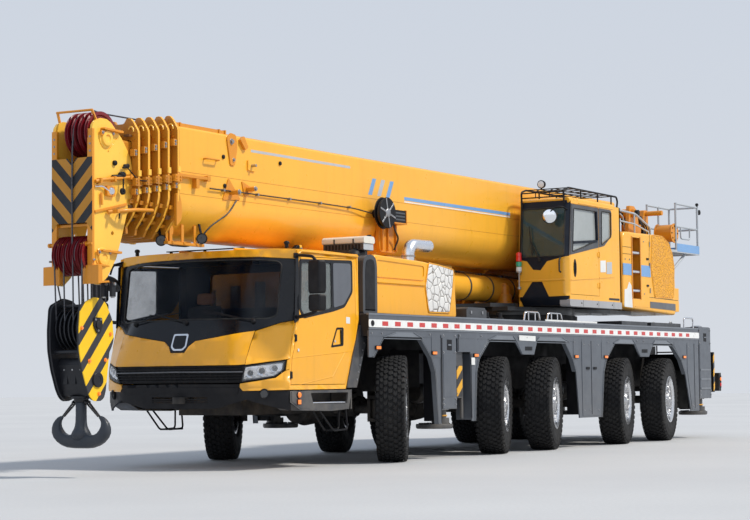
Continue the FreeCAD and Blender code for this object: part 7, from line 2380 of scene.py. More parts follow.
wd = Mesh()
prof = [(-452, 150)]
for k in range(40):
    c = -430 + 22 * k
    prof += [(c - 11, 196), (c, 206)]
prof += [(441, 196), (452, 150)]
lathe(wd, (-8650, 0, 2460), (0, 1, 0), prof, 1, n=40)
for y0, y1 in ((-490, -452), (452, 490)):
    lathe(wd, (-8650, y0, 2460), (0, 1, 0), [(0, 60), (0, 222), (4, 230), (y1 - y0 - 4, 230), (y1 - y0, 222), (y1 - y0, 60)], 0, n=56)
for y0, y1 in ((-560, -500), (500, 560)):
    prism(wd, "y", rounded([(-8830, 2202), (-8470, 2202), (-8470, 2520), (-8560, 2660), (-8740, 2660), (-8830, 2520)], 40), y0, y1, 3)
lathe(wd, (-8650, -505, 2460), (0, 1, 0), [(0, 100), (1010, 100)], 2, n=32)
for k in range(10):
    a = 2 * math.pi * k / 10
    for s in (1, -1):
        hexnut(wd, (-8650 + 150 * math.cos(a), s * 490, 2460 + 150 * math.sin(a)), (0, s, 0), 12, 9, 2)
make("winch_assembly", "upperworks", wd, [M_OCH, M_ROPE, M_STEEL, M_DGREY], angle=42, replaces=("winch_drums",))

wt = Mesh()
WT = rounded([(-9062, 1382), (-9250, 1382), (-9302, 1250), (-9302, -1250), (-9250, -1382), (-9062, -1382)], 16)
prism(wt, "z", WT, 2162, 2350, 0)
prism(wt, "z", WT, 2358, 2560, 0)
prism(wt, "z", inset_loop(WT, 10), 2350, 2358, 1)
for s in (1, -1):
    for y in (500, 1080):
        tube(wt, soften([(-9200, s * y - 70, 2556), (-9200, s * y - 70, 2640), (-9200, s * y + 70, 2640), (-9200, s * y + 70, 2556)], 50), 18, 1, n=14)
        block(wt, -9310, -9296, s * y - 120, s * y + 120, 2230, 2300, 1)
    plate(wt, "x", -9308, -1, [(s * 700 - 230, 2400), (s * 700 + 230, 2400), (s * 700 + 230, 2500), (s * 700 - 230, 2500)], thick=6, mat=2)
    for z in (2200, 2420):
        lathe(wt, (-9300, s * 1290, z), (-1, 0, 0), [(0, 40), (20, 40), (24, 30)], 3, n=24)
make("counterweight_slab", "upperworks", wt, [M_YEL_PAINTED_LIGHT, M_DGREY, M_HAZ, M_REDLENS], bevel=10, seg=3, angle=40, replaces=("counterweight_base",))

# slew ring bolts and the black skirt round it
sr = Mesh()
for k in range(96):
    a = 2 * math.pi * k / 96
    c, s = math.cos(a), math.sin(a)
    if k % 2 == 0:
        hexnut(sr, (-5600 + 650 * c, 650 * s, 2140), (0, 0, 1), 12, 12, 1)
lathe(sr, (-5600, 0, 2022), (0, 0, 1), [(0, 690), (0, 764), (16, 770), (40, 770), (44, 752), (74, 752), (78, 770), (108, 770), (116, 760), (116, 690)], 0, n=96)
make("slew_ring_race", "upperworks", sr, [M_BLACK, M_STEEL], angle=35)

# ------------------------------------------------------------------ lifting cylinder dressing
FX, FZ, HX, HZ = -6900, 2420, -1950, 2480
LD = Vector((HX - FX, 0, HZ - FZ))
LSPAN = LD.length
LD = LD.normalized()


def along(d, y=0, up_=0):
    n = Vector((-LD.z, 0, LD.x))
    p = Vector((FX, 0, FZ)) + LD * d + n * up_
    return (p.x, y, p.z)


lc = Mesh()
AX = (LD.x, 0, LD.z)
lathe(lc, along(200), AX, [(0, 60), (0, 196), (8, 205), (60, 205), (64, 214), (84, 214), (88, 205), (LSPAN - 1150, 205), (LSPAN - 1146, 212),
                           (LSPAN - 1130, 212), (LSPAN - 1126, 205), (LSPAN - 640, 205), (LSPAN - 636, 222), (LSPAN - 472, 222), (LSPAN - 466, 214),
                           (LSPAN - 460, 190), (LSPAN - 460, 152), (LSPAN - 640, 152)], 0, n=64)
for k in range(16):
    a = 2 * math.pi * k / 16
    p = along(LSPAN - 262, 186 * math.cos(a), 186 * math.sin(a))
    hexnut(lc, p, AX, 11, 12, 1)
prism(lc, "y", rounded([(-7040, 2420), (-6990, 2280), (-6820, 2280), (-6640, 2300), (-6640, 2540), (-6820, 2560), (-6990, 2560)], 40), -225, 225, 0)
rod(lc, (-6900, -305, 2420), (-6900, 305, 2420), 80, 1, n=36)
for y, r in ((-120, 17), (-60, 13)):
    tube(lc, soften([along(300, y, 216), along(380, y, 236), along(LSPAN - 560, y, 236), along(LSPAN - 500, y, 224)], 30), r, 1, n=12)
for d in (700, 1400, 2100, 2800, 3500):
    p = along(d, -90, 226)
    q = along(d + 40, -90, 226)
    bar(lc, p, q, 170, 34, 2)
    lathe(lc, along(d), AX, [(0, 206), (0, 211), (40, 211), (40, 206)], 2, n=48)
make("lift_barrel_dressed", "lift_barrel", lc, [M_YEL_PAINTED_LIGHT, M_STEEL, M_DGREY], bevel=2, angle=40, replaces=("lift_cylinder_barrel",))

# ------------------------------------------------------------------ engine housing behind the driving cab
M_CRACKLE = textured("cracked_glaze_white", (0.74, 0.73, 0.71), scale=9.0, strength=0.9, distance=0.012, rough=0.42, coat=0.2, dust=0.0, streak=0.05)
nt_ = M_CRACKLE.node_tree
v_ = next(n for n in nt_.nodes if n.type == "TEX_VORONOI")
b_ = next(n for n in nt_.nodes if n.type == "BSDF_PRINCIPLED")
src_ = b_.inputs["Base Color"].links[0].from_socket
nt_.links.new(mixc(nt_, ramp(nt_, v_.outputs["Distance"], 0.012, 0.035), (0.16, 0.13, 0.10), src_), b_.inputs["Base Color"])
M_CREAMBOX = paint("cream_cover", (0.74, 0.70, 0.61), rough=0.38, coat=0.3, dust=0.15, dust_z=(3.2, 2.4))
M_PIPE = metal("bright_pipe", (0.80, 0.81, 0.84), rough=0.26, grime=0.2, scale=6.0, grain=0.04)
M_SKIRT = paint("skirt_blue_grey", (0.080, 0.092, 0.112), rough=0.36, coat=0.35, var=0.16, dust=0.35, dust_col=(0.22, 0.21, 0.20), dust_z=(1.3, 0.4), streak=0.35)
M_SKIRTLIGHT = paint("skirt_edge", (0.150, 0.168, 0.195), rough=0.34, coat=0.35, var=0.12, dust=0.3, dust_z=(1.5, 0.5))
M_CHEQUER = textured("tread_plate", (0.10, 0.105, 0.115), scale=34.0, strength=0.5, distance=0.006, rough=0.5, coat=0.0, dust=0.4, dust_z=(3.0, 1.0))

eh = Mesh()
HOOD_V = rounded([(520, 1884), (520, 2652), (-730, 2616), (-1560, 2548), (-1600, 1884)], 60, 6)
prism(eh, "y", HOOD_V, -1350, 1350, 0)
make("engine_hood", "carrier", eh, [M_YEL], bevel=30, seg=4, angle=50, replaces=("engine_housing",))

ep = Mesh()
CRACK = [(-853, 2592), (-1105, 2575), (-1500, 2530), (-1462, 2283), (-1380, 1960), (-837, 1956), (-760, 2279)]
POCKET = [(500, 2606), (-735, 2574), (-731, 2404), (-672, 2372), (500, 2375)]
LOWER = [(500, 2262), (-712, 2250), (-790, 1950), (-770, 1900), (500, 1905)]
for s in (1, -1):
    plate(ep, "y", s * 1360, s, rounded(CRACK, 26), thick=16, mat=1)
    tube(ep, [(a, s * 1356, b) for a, b in dense(rounded(inset_loop(CRACK, -12), 30), 200)], 8, 0, n=8, closed=True)
    # raised border of the upper pocket and its sunken floor line
    outer, inner = rounded(inset_loop(POCKET, -10), 60), rounded(inset_loop(POCKET, 22), 46)
    plate(ep, "y", s * 1362, s, outer, [inner], thick=16, mat=0)
    # ledge and the lower door
    prism(ep, "x", [(s * 1346, 2350), (s * 1372, 2340), (s * 1372, 2296), (s * 1346, 2280)], -722, 500, 0)
    plate(ep, "y", s * 1358, s, rounded(LOWER, 40), thick=12, mat=0)
    # grille slats behind
    for k in range(11):
        z = 1990 + 48 * k
        block(ep, -1594 - 6, -1580, s * 300 - 240, s * 300 + 240, z, z + 20, 2)
# bonnet lids on top with grips and louvres
def hood_z(x):
    return 2652 + (x - 520) * 36 / 1250 if x > -730 else 2616 + (x + 730) * 68 / 830


for x0, x1 in ((440, -640), (-760, -1500)):
    for s in (1, -1):
        pts = rounded([(x0, s * 60), (x1, s * 60), (x1, s * 660), (x0, s * 660)], 40)
        panel(ep, lambda a, b: (P(a, b, hood_z(a) + 10), Vector((-0.03, 0, 1)).normalized()), pts, thick=12, mat=0, flat=True)
    for k in range(12):
        x = x0 - 90 - (x0 - x1 - 180) * k / 11
        block(ep, x - 9, x + 9, -560, -160, hood_z(x) + 8, hood_z(x) + 22, 2)
for x in (-200, -1100):
    tube(ep, soften([(x, 330, hood_z(x) + 4), (x, 330, hood_z(x) + 34), (x - 120, 330, hood_z(x) + 30), (x - 120, 330, hood_z(x))], 16), 7, 3, n=8)
make("engine_hood_panels", "carrier", ep, [M_YEL, M_CRACKLE, M_BLACK, M_STEEL], bevel=4, angle=40)

rb = Mesh()
RB = rounded([(386, 2792), (382, 2850), (410, 2882), (610, 2884), (646, 2862), (650, 2792)], 24, 4)
prism(rb, "y", RB, 640, 1280, 0)
prism(rb, "y", rounded([(396, 2700), (396, 2800), (640, 2800), (640, 2700)], 12), 656, 1262, 1)
plate(rb, "y", 1268, 1, rounded([(402, 2708), (402, 2790), (634, 2790), (634, 2708)], 12), thick=10, mat=3)
for k in range(11):
    block(rb, 638, 644, 690 + 50 * k, 720 + 50 * k, 2716, 2780, 2)
block(rb, 434, 496, 804, 1196, 2600, 2724, 1)
block(rb, 560, 632, 804, 1196, 2560, 2724, 1)
for y in (820, 1110):
    block(rb, 640, 654, y, y + 20, 2790, 2850, 1)
rod(rb, (440, 1230, 2884), (440, 1230, 2906), 30, 2, n=20)
make("air_filter_box", "carrier", rb, [M_CREAMBOX, M_DGREY, M_BLACK, M_PALEGREY], bevel=12, seg=2, angle=44)

xp = Mesh()
tube(xp, soften([(-905, 1000, 2560), (-905, 1000, 2770), (-985, 1000, 2866), (-1200, 1000, 2869), (-1440, 1000, 2872)], 110, 9), 84, 0, n=36)
lathe(xp, (-905, 1000, 2560), (0, 0, 1), [(0, 96), (0, 118), (26, 118), (30, 96)], 1, n=36)
lathe(xp, (-905, 1000, 2700), (0, 0, 1), [(0, 88), (0, 95), (24, 95), (24, 88)], 1, n=36)
lathe(xp, (-1438, 1000, 2872), (-1, 0, 0), [(0, 80), (3, 80), (3, 87), (-12, 87)], 0, n=36)
lathe(xp, (-1434, 1000, 2872), (-1, 0, 0), [(0, 76), (6, 76)], 2, n=36)
make("exhaust_pipe", "carrier", xp, [M_PIPE, M_STEEL, M_BLACK], angle=35)

rs = Mesh()
prism(rs, "y", rounded([(1010, 2640), (1010, 2700), (900, 2792), (850, 2784), (860, 2640)], 16), 380, 440, 0)
prism(rs, "y", rounded([(860, 2640), (860, 2770), (800, 2800), (770, 2740), (790, 2640)], 14), 390, 430, 1)
rod(rs, (820, 370, 2745), (820, 450, 2745), 18, 2, n=16)
make("roof_holder", "carrier", rs, [M_BLACK, M_CREAM, M_STEEL], bevel=5, angle=42)

# dark mudguard post and the ribbed intake duct between the cab and the hood
ik = Mesh()
POST = rounded([(870, 1880), (870, 2420), (850, 2560), (790, 2620), (660, 2640), (560, 2600), (530, 2500), (530, 1880)], 50, 5)
prism(ik, "y", POST, 1290, 1400, 0)
prism(ik, "y", inset_loop(POST, 60), 1396, 1404, 1)
lathe(ik, (690, 1130, 1880), (0, 0, 1), [(0, 118)] + [(20 + 26 * k + d, r) for k in range(24) for d, r in ((0, 118), (6, 124), (13, 124), (19, 118))] + [(650, 118)], 1, n=32)
tube(ik, soften([(680, 1130, 2500), (680, 1130, 2620), (540, 1130, 2660)], 60), 100, 1, n=28)
block(ik, 560, 800, 1010, 1250, 1880, 2300, 1)
block(ik, 560, 860, -1280, 1280, 1880, 1960, 0)
for y in (-1100, -700, -300, 100, 500):
    rod(ik, (700, y, 1950), (700, y, 2380 - abs(y) * 0.1), 70, 1, n=20)
make("intake_and_post", "carrier", ik, [M_DGREY, M_BLACK], bevel=6, angle=42)

# ------------------------------------------------------------------ deck, reflective strip, skirts
dk = Mesh()
plate(dk, "z", 1882, 1, [(900, -1498), (900, 1498), (-9772, 1498), (-9772, -1498)],
      [circle(-5600, 0, 800, 48)], thick=5, mat=0)
for s in (1, -1):
    plate(dk, "y", s * 1503, s, [(902, 1602), (902, 1880), (-9775, 1880), (-9775, 1602)], thick=5, mat=1)
    prism(dk, "y", rounded([(910, 1690), (918, 1700), (918, 1704), (-9790, 1704), (-9790, 1690)], 2), s * 1500, s * 1512, 2)
    # lipped upper edge
    prism(dk, "y", [(904, 1868), (904, 1890), (-9778, 1890), (-9778, 1868)], s * 1470, s * 1509, 2)
for k in range(18):
    x = 600 - 600 * k
    if not (-6500 < x < -4700):
        block(dk, x - 2, x + 2, -1490, 1490, 1883, 1886, 3)
make("deck_plating", "carrier", dk, [M_CHEQUER, M_SKIRT, M_SKIRTLIGHT, M_BLACK], angle=40)

stp = Mesh()
for s in (1, -1):
    plate(stp, "y", s * 1511, s, rounded([(912, 1713), (912, 1812), (-9790, 1812), (-9790, 1713)], 22), thick=5, mat=0)
    for k in range(33):
        x = 527 - 306.5 * k
        plate(stp, "y", s * 1513, s, rounded([(x - 70, 1734), (x + 70, 1734), (x + 70, 1791), (x - 70, 1791)], 5), thick=3, mat=1)
    lathe(stp, (828, s * 1508, 1763), (0, s, 0), [(0, 34), (4, 38), (10, 36), (12, 0.3)], 2, n=24)
make("reflective_strip", "carrier", stp, [M_REFWHITE, M_REFRED, M_BLACK])

SK_FRONT = [(905, 1600), (905, 1340), (808, 1340), (566, 1585), (-375, 1585), (-640, 1340), (-740, 1150), (-815, 464), (-890, 464), (-890, 1600)]
SK_REAR = [(-1340, 1600), (-1340, 1420), (-1690, 1420), (-1711, 483), (-1800, 483), (-1850, 1150), (-1930, 1340), (-2227, 1585), (-2999, 1585),
           (-3207, 1396), (-3582, 1396), (-3683, 1585), (-4598, 1585), (-4850, 1340), (-4960, 1150), (-5060, 450), (-5840, 450), (-5930, 1150),
           (-6030, 1340), (-6329, 1585), (-7089, 1585), (-7314, 1385), (-7671, 1385), (-7842, 1585), (-8627, 1585), (-9000, 1340), (-9180, 1100),
           (-9400, 471), (-9765, 471), (-9765, 1600)]
sk = Mesh()
for s in (1, -1):
    for loop in (SK_FRONT, SK_REAR):
        plate(sk, "y", s * 1500, s, [(a, b + (72 if b > 1595 else 0)) for a, b in loop], thick=18, mat=0)
    # folded flanges along the arch edges
    for run in (SK_FRONT[2:8], SK_REAR[4:9], SK_REAR[11:15], SK_REAR[16:20], SK_REAR[23:27]):
        for a, b in zip(run, run[1:]):
            bar(sk, (a[0], s * 1470, a[1]), (b[0], s * 1470, b[1]), 74, 12, 1)
            bar(sk, (a[0], s * 1503, a[1]), (b[0], s * 1503, b[1]), 8, 30, 1)
    # gussets over the arches
    for g in ([(555, 1592), (242, 1660), (-175, 1660), (-400, 1592)], [(-2209, 1592), (-2449, 1655), (-2936, 1655), (-3020, 1592)],
              [(-3660, 1592), (-3760, 1655), (-4495, 1655), (-4732, 1592)], [(-6300, 1592), (-6540, 1655), (-7020, 1655), (-7110, 1592)],
              [(-7820, 1592), (-7920, 1655), (-8420, 1655), (-8660, 1592)]):
        plate(sk, "y", s * 1507, s, g, thick=9, mat=1)
        bar(sk, (g[0][0], s * 1512, g[0][1]), (g[1][0], s * 1512, g[1][1]), 8, 8, 1)
        bar(sk, (g[2][0], s * 1512, g[2][1]), (g[3][0], s * 1512, g[3][1]), 8, 8, 1)
    # trapezoid plates between the arches
    for g, h in (([(-3028, 1595), (-3215, 1400), (-3576, 1400), (-3680, 1595)], [(-3296, 1510), (-3516, 1512), (-3514, 1456), (-3294, 1454)]),
                 ([(-7120, 1595), (-7322, 1390), (-7664, 1390), (-7830, 1595)], [(-7380, 1506), (-7600, 1508), (-7598, 1452), (-7378, 1450)])):
        plate(sk, "y", s * 1506, s, rounded(g, 10), thick=8, mat=0)
        plate(sk, "y", s * 1510, s, rounded(h, 6), thick=6, mat=2)
    # upright boxes at the ends of the arches, with their seams and fixings
    for g in ([(-640, 1340), (-870, 1340), (-870, 1660), (-640, 1660)], [(-4870, 1350), (-5120, 1350), (-5120, 1650), (-4870, 1650)],
              [(-5860, 1350), (-6060, 1350), (-6290, 1560), (-6290, 1650), (-5860, 1650)], [(-9000, 1350), (-9180, 1350), (-9180, 1650), (-8700, 1650), (-8700, 1575)]):
        plate(sk, "y", s * 1505, s, rounded(g, 16), thick=7, mat=0)
    plate(sk, "y", s * 1506, s, rounded([(-5165, 478), (-5800, 478), (-5790, 1640), (-5155, 1640)], 14), thick=8, mat=0)
    plate(sk, "y", s * 1506, s, rounded([(-9440, 500), (-9750, 500), (-9750, 1640), (-9260, 1640), (-9260, 1160)], 14), thick=8, mat=0)
    for x, z0, z1 in ((-5480, 500, 1620), (-9560, 520, 1620), (-880, 480, 1640), (-1352, 1430, 1660), (-1700, 520, 1400)):
        bar(sk, (x, s * 1508, z0), (x, s * 1508, z1), 5, 7, 2, up=(1, 0, 0))
    for x, z in ((-5220, 1560), (-5220, 560), (-5730, 1560), (-5730, 560), (-5420, 1560), (-5420, 560), (-9500, 560), (-9700, 560), (-9700, 1560), (-9320, 1560),
                 (840, 1640), (600, 1640), (-600, 1640), (-1400, 1640), (-2000, 1640), (-3100, 1640), (-3350, 1640), (-4900, 1600), (-6100, 1600), (-7200, 1640), (-7450, 1640)):
        hexnut(sk, (x, s * 1505, z), (0, s, 0), 10, 9, 3)
    for x in (-5350, -5600):
        prism(sk, "y", rounded([(x - 50, 1180), (x + 50, 1180), (x + 50, 1220), (x - 50, 1220)], 14), s * 1508, s * 1520, 2)
    # returns behind the skirt
    for x0, x1 in ((-5790, -5110), (-9755, -9440), (-885, -830)):
        y0, y1 = sorted((s * 1262, s * 1480))
        block(sk, x0, x1, y0, y1, 500, 1596, 2)
    y0, y1 = sorted((s * 1250, s * 1482))
    block(sk, -1806, -1716, y0, y1, 500, 1400, 0)
    # arch linings
    for x0, x1 in ((560, -370), (-2230, -4590), (-6330, -8620)):
        y0, y1 = sorted((s * 1180, s * 1478))
        block(sk, x1, x0, y0, y1, 1588, 1598, 2)
make("skirt_panels", "carrier", sk, [M_SKIRT, M_SKIRTLIGHT, M_BLACK, M_STEEL], bevel=3, angle=42, replaces=("side_skirts",))

sl2 = Mesh()
for s in (1, -1):
    for x, z in ((700, 1458), (-700, 1400), (-1830, 1376), (-4953, 1376), (-6000, 1376), (-9120, 1390)):
        y0, y1 = sorted((s * 1498, s * 1516))
        prism(sl2, "y", rounded([(x - 62, z - 26), (x + 62, z - 26), (x + 62, z + 26), (x - 62, z + 26)], 12), y0, y1, 1)
        prism(sl2, "y", rounded([(x - 52, z - 19), (x + 52, z - 19), (x + 52, z + 19), (x - 52, z + 19)], 10), s * 1512, s * 1525, 0)
    plate(sl2, "y", s * 1512, s, rounded([(-3111, 1596), (-3617, 1590), (-3617, 1664), (-3111, 1669)], 8), thick=6, mat=2)
    plate(sl2, "y", s * 1512, s, rounded([(-1700, 1245), (-1800, 1245), (-1800, 1345), (-1700, 1345)], 8), thick=6, mat=2)
make("side_markers", "carrier", sl2, [M_AMBER, M_BLACK, M_WHITE], bevel=2)

# ------------------------------------------------------------------ outrigger columns (dressing on the four beams)
for name, s, x0, x1, top, low in (("front_left", 1, -1302, -925, 1680, 657), ("front_right", -1, -1302, -925, 1680, 657),
                                  ("rear_left", 1, -10325, -9800, 1904, 680), ("rear_right", -1, -10325, -9800, 1904, 680)):
    m = Mesh()
    jx = 0.5 * (x0 + x1)
    plate(m, "y", s * 1502, s, rounded([(x0 + 8, low + 8), (x1 - 8, low + 8), (x1 - 8, top - 8), (x0 + 8, top - 8)], 14),
          [rounded([(jx - 70, top - 245), (jx + 66, top - 240), (jx + 66, top - 96), (jx - 70, top - 100)], 10)], thick=6, mat=0)
    plate(m, "y", s * 1499, s, [(jx - 70, top - 245), (jx + 66, top - 240), (jx + 66, top - 96), (jx - 70, top - 100)], thick=4, mat=1)
    bar(m, (jx - 40, s * 1504, top - 170), (jx + 40, s * 1504, top - 170), 14, 20, 2)
    plate(m, "y", s * 1506, s, rounded([(x0 + 26, low + 160), (x1 - 26, low + 160), (x1 - 26, top - 290), (x0 + 26, top - 290)], 20), thick=8, mat=0)
    for x in (x0 + 30, x1 - 30):
        for z in (low + 60, low + 130, top - 270, top - 50):
            hexnut(m, (x, s * 1502, z), (0, s, 0), 12, 11, 3)
    y0, y1 = sorted((s * 1208, s * 1492))
    prism(m, "z", rounded([(x0 + 8, y0), (x1 - 8, y0), (x1 - 8, y1), (x0 + 8, y1)], 30), top - 4, top + 10, 0)
    lathe(m, (jx, s * 1349, top + 4), (0, 0, 1), [(0, 100), (18, 100), (24, 88), (34, 60), (36, 0.3)], 3, n=32)
    lathe(m, (jx, s * 1349, low - 8), (0, 0, 1), [(0, 94), (0, 118), (16, 118), (18, 94)], 3, n=36)
    for k in range(8):
        a = 2 * math.pi * k / 8
        hexnut(m, (jx + 107 * math.cos(a), s * 1349 + 107 * math.sin(a), low - 8), (0, 0, -1), 7, 7, 3)
    if name.startswith("rear"):
        for z in (840, 1000, 1160):
            block(m, x0 + 40, x1 - 40, *sorted((s * 1504, s * 1514)), z, z + 26, 2)
    else:
        y0, y1 = sorted((s * 1240, s * 1486))
        plate(m, "x", x0 - 6, -1, rounded([(y0, 826), (y1, 826), (y1, 1236), (y0, 1236)], 8), thick=5, mat=4)
        plate(m, "x", x0 - 5, -1, rounded([(y0 - 6, 820), (y1 + 6, 820), (y1 + 6, 1242), (y0 - 6, 1242)], 8), thick=4, mat=1)
    make("outrigger_column_" + name, "beam_" + name, m, [M_SKIRT, M_BLACK, M_SKIRTLIGHT, M_STEEL, M_HAZ], bevel=3, angle=42)
    f = Mesh()
    for k in range(8):
        a = 2 * math.pi * k / 8 + 0.2
        bar(f, (jx + 110 * math.cos(a), s * 1255 + 110 * math.sin(a), 462), (jx + 222 * math.cos(a), s * 1255 + 222 * math.sin(a), 460), 12, 26, 0)
    lathe(f, (jx, s * 1255, 396), (0, 0, 1), [(0, 20), (0, 232), (10, 246), (40, 250), (62, 246), (62, 20)], 0, n=56)
    lathe(f, (jx, s * 1349, 560), (0, 0, 1), [(0, 82), (0, 92), (20, 92), (20, 82)], 1, n=36)
    make("outrigger_pad_" + name, "jack_" + name, f, [M_DGREY, M_YEL], bevel=3, angle=42)

# hazard plates standing in the gap behind the front column and on the rear panel
hz = Mesh()
for s in (1, -1):
    y0, y1 = sorted((s * 1385, s * 1492))
    plate(hz, "y", s * 1478, s, [(-1352, 822), (-1500, 822), (-1500, 1232), (-1352, 1232)], thick=8, mat=0)
    block(hz, -1510, -1345, *sorted((s * 1440, s * 1468)), 800, 1596, 1)
    for z in (860, 1200):
        hexnut(hz, (-1366, s * 1478, z), (0, s, 0), 7, 7, 2)
    rod(hz, (-1600, s * 1400, 520), (-1600, s * 1400, 1590), 26, 1, n=16)
    for k in range(5):
        tube(hz, soften([(-1400 - 50 * k, s * 1330, 1590), (-1400 - 50 * k, s * 1340, 1200 + 30 * k), (-1560, s * (1310 - 30 * k), 900), (-1640, s * 1200, 760)], 90), 14, 3, n=10)
make("hazard_plates", "carrier", hz, [M_HAZ, M_DGREY, M_STEEL, M_HOSE], bevel=2, angle=42)

# ------------------------------------------------------------------ things standing on the deck
tp = Mesh()
for x0, x1 in ((-3510, -4020), (-4250, -4750)):
    tube(tp, soften([(x0, 1380, 1884), (x0 - 40, 1380, 2020), (x1 + 40, 1380, 2020), (x1, 1380, 1884)], 50), 15, 0, n=12)
    for x in (x0 - 150, x1 + 150):
        rod(tp, (x, 1380, 1884), (x, 1380, 2012), 9, 0, n=10)
block(tp, -5750, -3990, 1478, 1490, 1888, 1916, 1)
block(tp, -5750, -3990, 1440, 1480, 1884, 1900, 3)
for x in (-2600, -3000):
    lathe(tp, (x, 1250, 1884), (0, 0, 1), [(0, 60), (40, 60), (46, 44), (110, 44), (116, 20)], 2, n=24)
block(tp, -1780, -2350, 900, 1400, 1884, 2010, 3)
prism(tp, "y", rounded([(-1800, 2010), (-2330, 2010), (-2300, 2040), (-1830, 2040)], 12), 900, 1400, 3)
for x in (-1900, -2220):
    block(tp, x - 20, x + 20, 1400, 1412, 1950, 1990, 4)
block(tp, -2500, -3300, 300, 760, 1884, 2060, 2)
for k in range(6):
    tube(tp, soften([(-1620, 200 - 60 * k, 1900), (-2400, 180 - 60 * k, 1912 + 8 * (k % 2)), (-3600, 240 - 90 * k, 1905), (-4780, 300 - 120 * k, 1920)], 200), 17, 2, n=10)
for k in range(5):
    block(tp, -1900 - 560 * k, -1860 - 560 * k, -180, 260, 1884, 1936, 4)
for x0, x1 in ((-6900, -7900), (-8050, -9300)):
    block(tp, x1, x0, -1380, -820, 1884, 1990, 3)
    block(tp, x1, x0, 820, 1380, 1884, 1960, 3)
    for k in range(3):
        tube(tp, soften([(x0 - 200 - 260 * k, -1000, 1990), (x0 - 200 - 260 * k, -1000, 2030), (x0 - 330 - 260 * k, -1000, 2030), (x0 - 330 - 260 * k, -1000, 1990)], 20), 9, 4, n=10)
lathe(tp, (-5600, 0, 1884), (0, 0, 1), [(0, 800), (0, 930), (14, 930), (20, 900), (96, 860), (124, 852), (132, 800)], 2, n=96)
for k in range(48):
    a = 2 * math.pi * k / 48
    hexnut(tp, (-5600 + 828 * math.cos(a), 828 * math.sin(a), 2016), (0, 0, 1), 13, 13, 4)
for s in (1, -1):
    tube(tp, soften([(-9300, s * 1440, 1884), (-9300, s * 1440, 2060), (-9700, s * 1440, 2060), (-9700, s * 1440, 1884)], 60), 15, 0, n=12)
make("deck_fittings", "carrier", tp, [M_CHROME, M_WHITE, M_BLACK, M_DGREY, M_STEEL], bevel=5, angle=42)

# ------------------------------------------------------------------ tail of the carrier
tl = Mesh()
prism(tl, "z", rounded([(-10768, -1466), (-10768, 1466), (-10862, 1466), (-10934, 1340), (-10934, -1340), (-10862, -1466)], 20), 806, 1116, 0)
for s in (1, -1):
    # lamp cluster
    block(tl, -10952, -10926, *sorted((s * 820, s * 1320)), 850, 1070, 1)
    for k, mat in enumerate((3, 2, 2, 4)):
        yc = s * (885 + 122 * k)
        lathe(tl, (-10950, yc, 960), (-1, 0, 0), [(0, 54), (8, 54), (12, 48), (20, 30), (22, 0.3)], mat, n=28)
        lathe(tl, (-10950, yc, 960), (-1, 0, 0), [(0, 54), (0, 58), (10, 58), (10, 54)], 1, n=28)
    # end face lamp cluster seen from the side
    block(tl, -10800, -10860, *sorted((s * 1462, s * 1478)), 860, 1070, 1)
    for z, mat in ((910, 2), (1010, 3)):
        lathe(tl, (-10830, s * 1474, z), (0, s, 0), [(0, 34), (8, 34), (12, 24), (14, 0.3)], mat, n=24)
    # upright hazard board by the rear column
    block(tl, -10520, -10460, *sorted((s * 1400, s * 1486)), 785, 1483, 1)
    plate(tl, "y", s * 1490, s, [(-10464, 790), (-10516, 790), (-10516, 1478), (-10464, 1478)], thick=5, mat=5)
    plate(tl, "x", -10524, -1, [(s * 1396, 790), (s * 1488, 790), (s * 1488, 1478), (s * 1396, 1478)], thick=5, mat=5)
    rod(tl, (-10380, s * 1440, 1120), (-10490, s * 1440, 1120), 22, 1, n=14)
    # mud flap and its hanger
    bar(tl, (-9420, s * 930, 1180), (-9420, s * 1440, 1180), 40, 30, 1)
    block(tl, -9432, -9418, *sorted((s * 960, s * 1430)), 520, 1190, 6)
    for k in range(4):
        hexnut(tl, (-9434, s * (1010 + 120 * k), 1150), (-1, 0, 0), 12, 8, 7)
    # ladder up to the deck
    for y in (480, 800):
        tube(tl, soften([(-10330, s * y, 900), (-10340, s * y, 1560), (-10310, s * y, 2000), (-10180, s * y, 2040), (-10180, s * y, 1890)], 60), 14, 7, n=12)
    for z in (960, 1220, 1480):
        block(tl, -10360, -10312, *sorted((s * 480, s * 800)), z, z + 24, 7)
plate(tl, "x", -10940, -1, rounded([(-260, 870), (260, 870), (260, 1010), (-260, 1010)], 12), thick=6, mat=8)
lathe(tl, (-10700, 0, 1000), (-1, 0, 0), [(0, 120), (60, 120), (66, 96), (150, 84), (156, 50), (230, 50)], 7, n=36)
tube(tl, [(-10890 - 62 * math.cos(t), 0, 1000 + 62 * math.sin(t)) for t in [2 * math.pi * k / 24 for k in range(24)]], 20, 7, n=12, closed=True)
make("tail_bar", "carrier", tl, [M_DGREY, M_BLACK, M_REDLENS, M_AMBER, M_CLEAR, M_HAZ, M_RUBBER, M_STEEL, M_WHITE], bevel=4, angle=42)

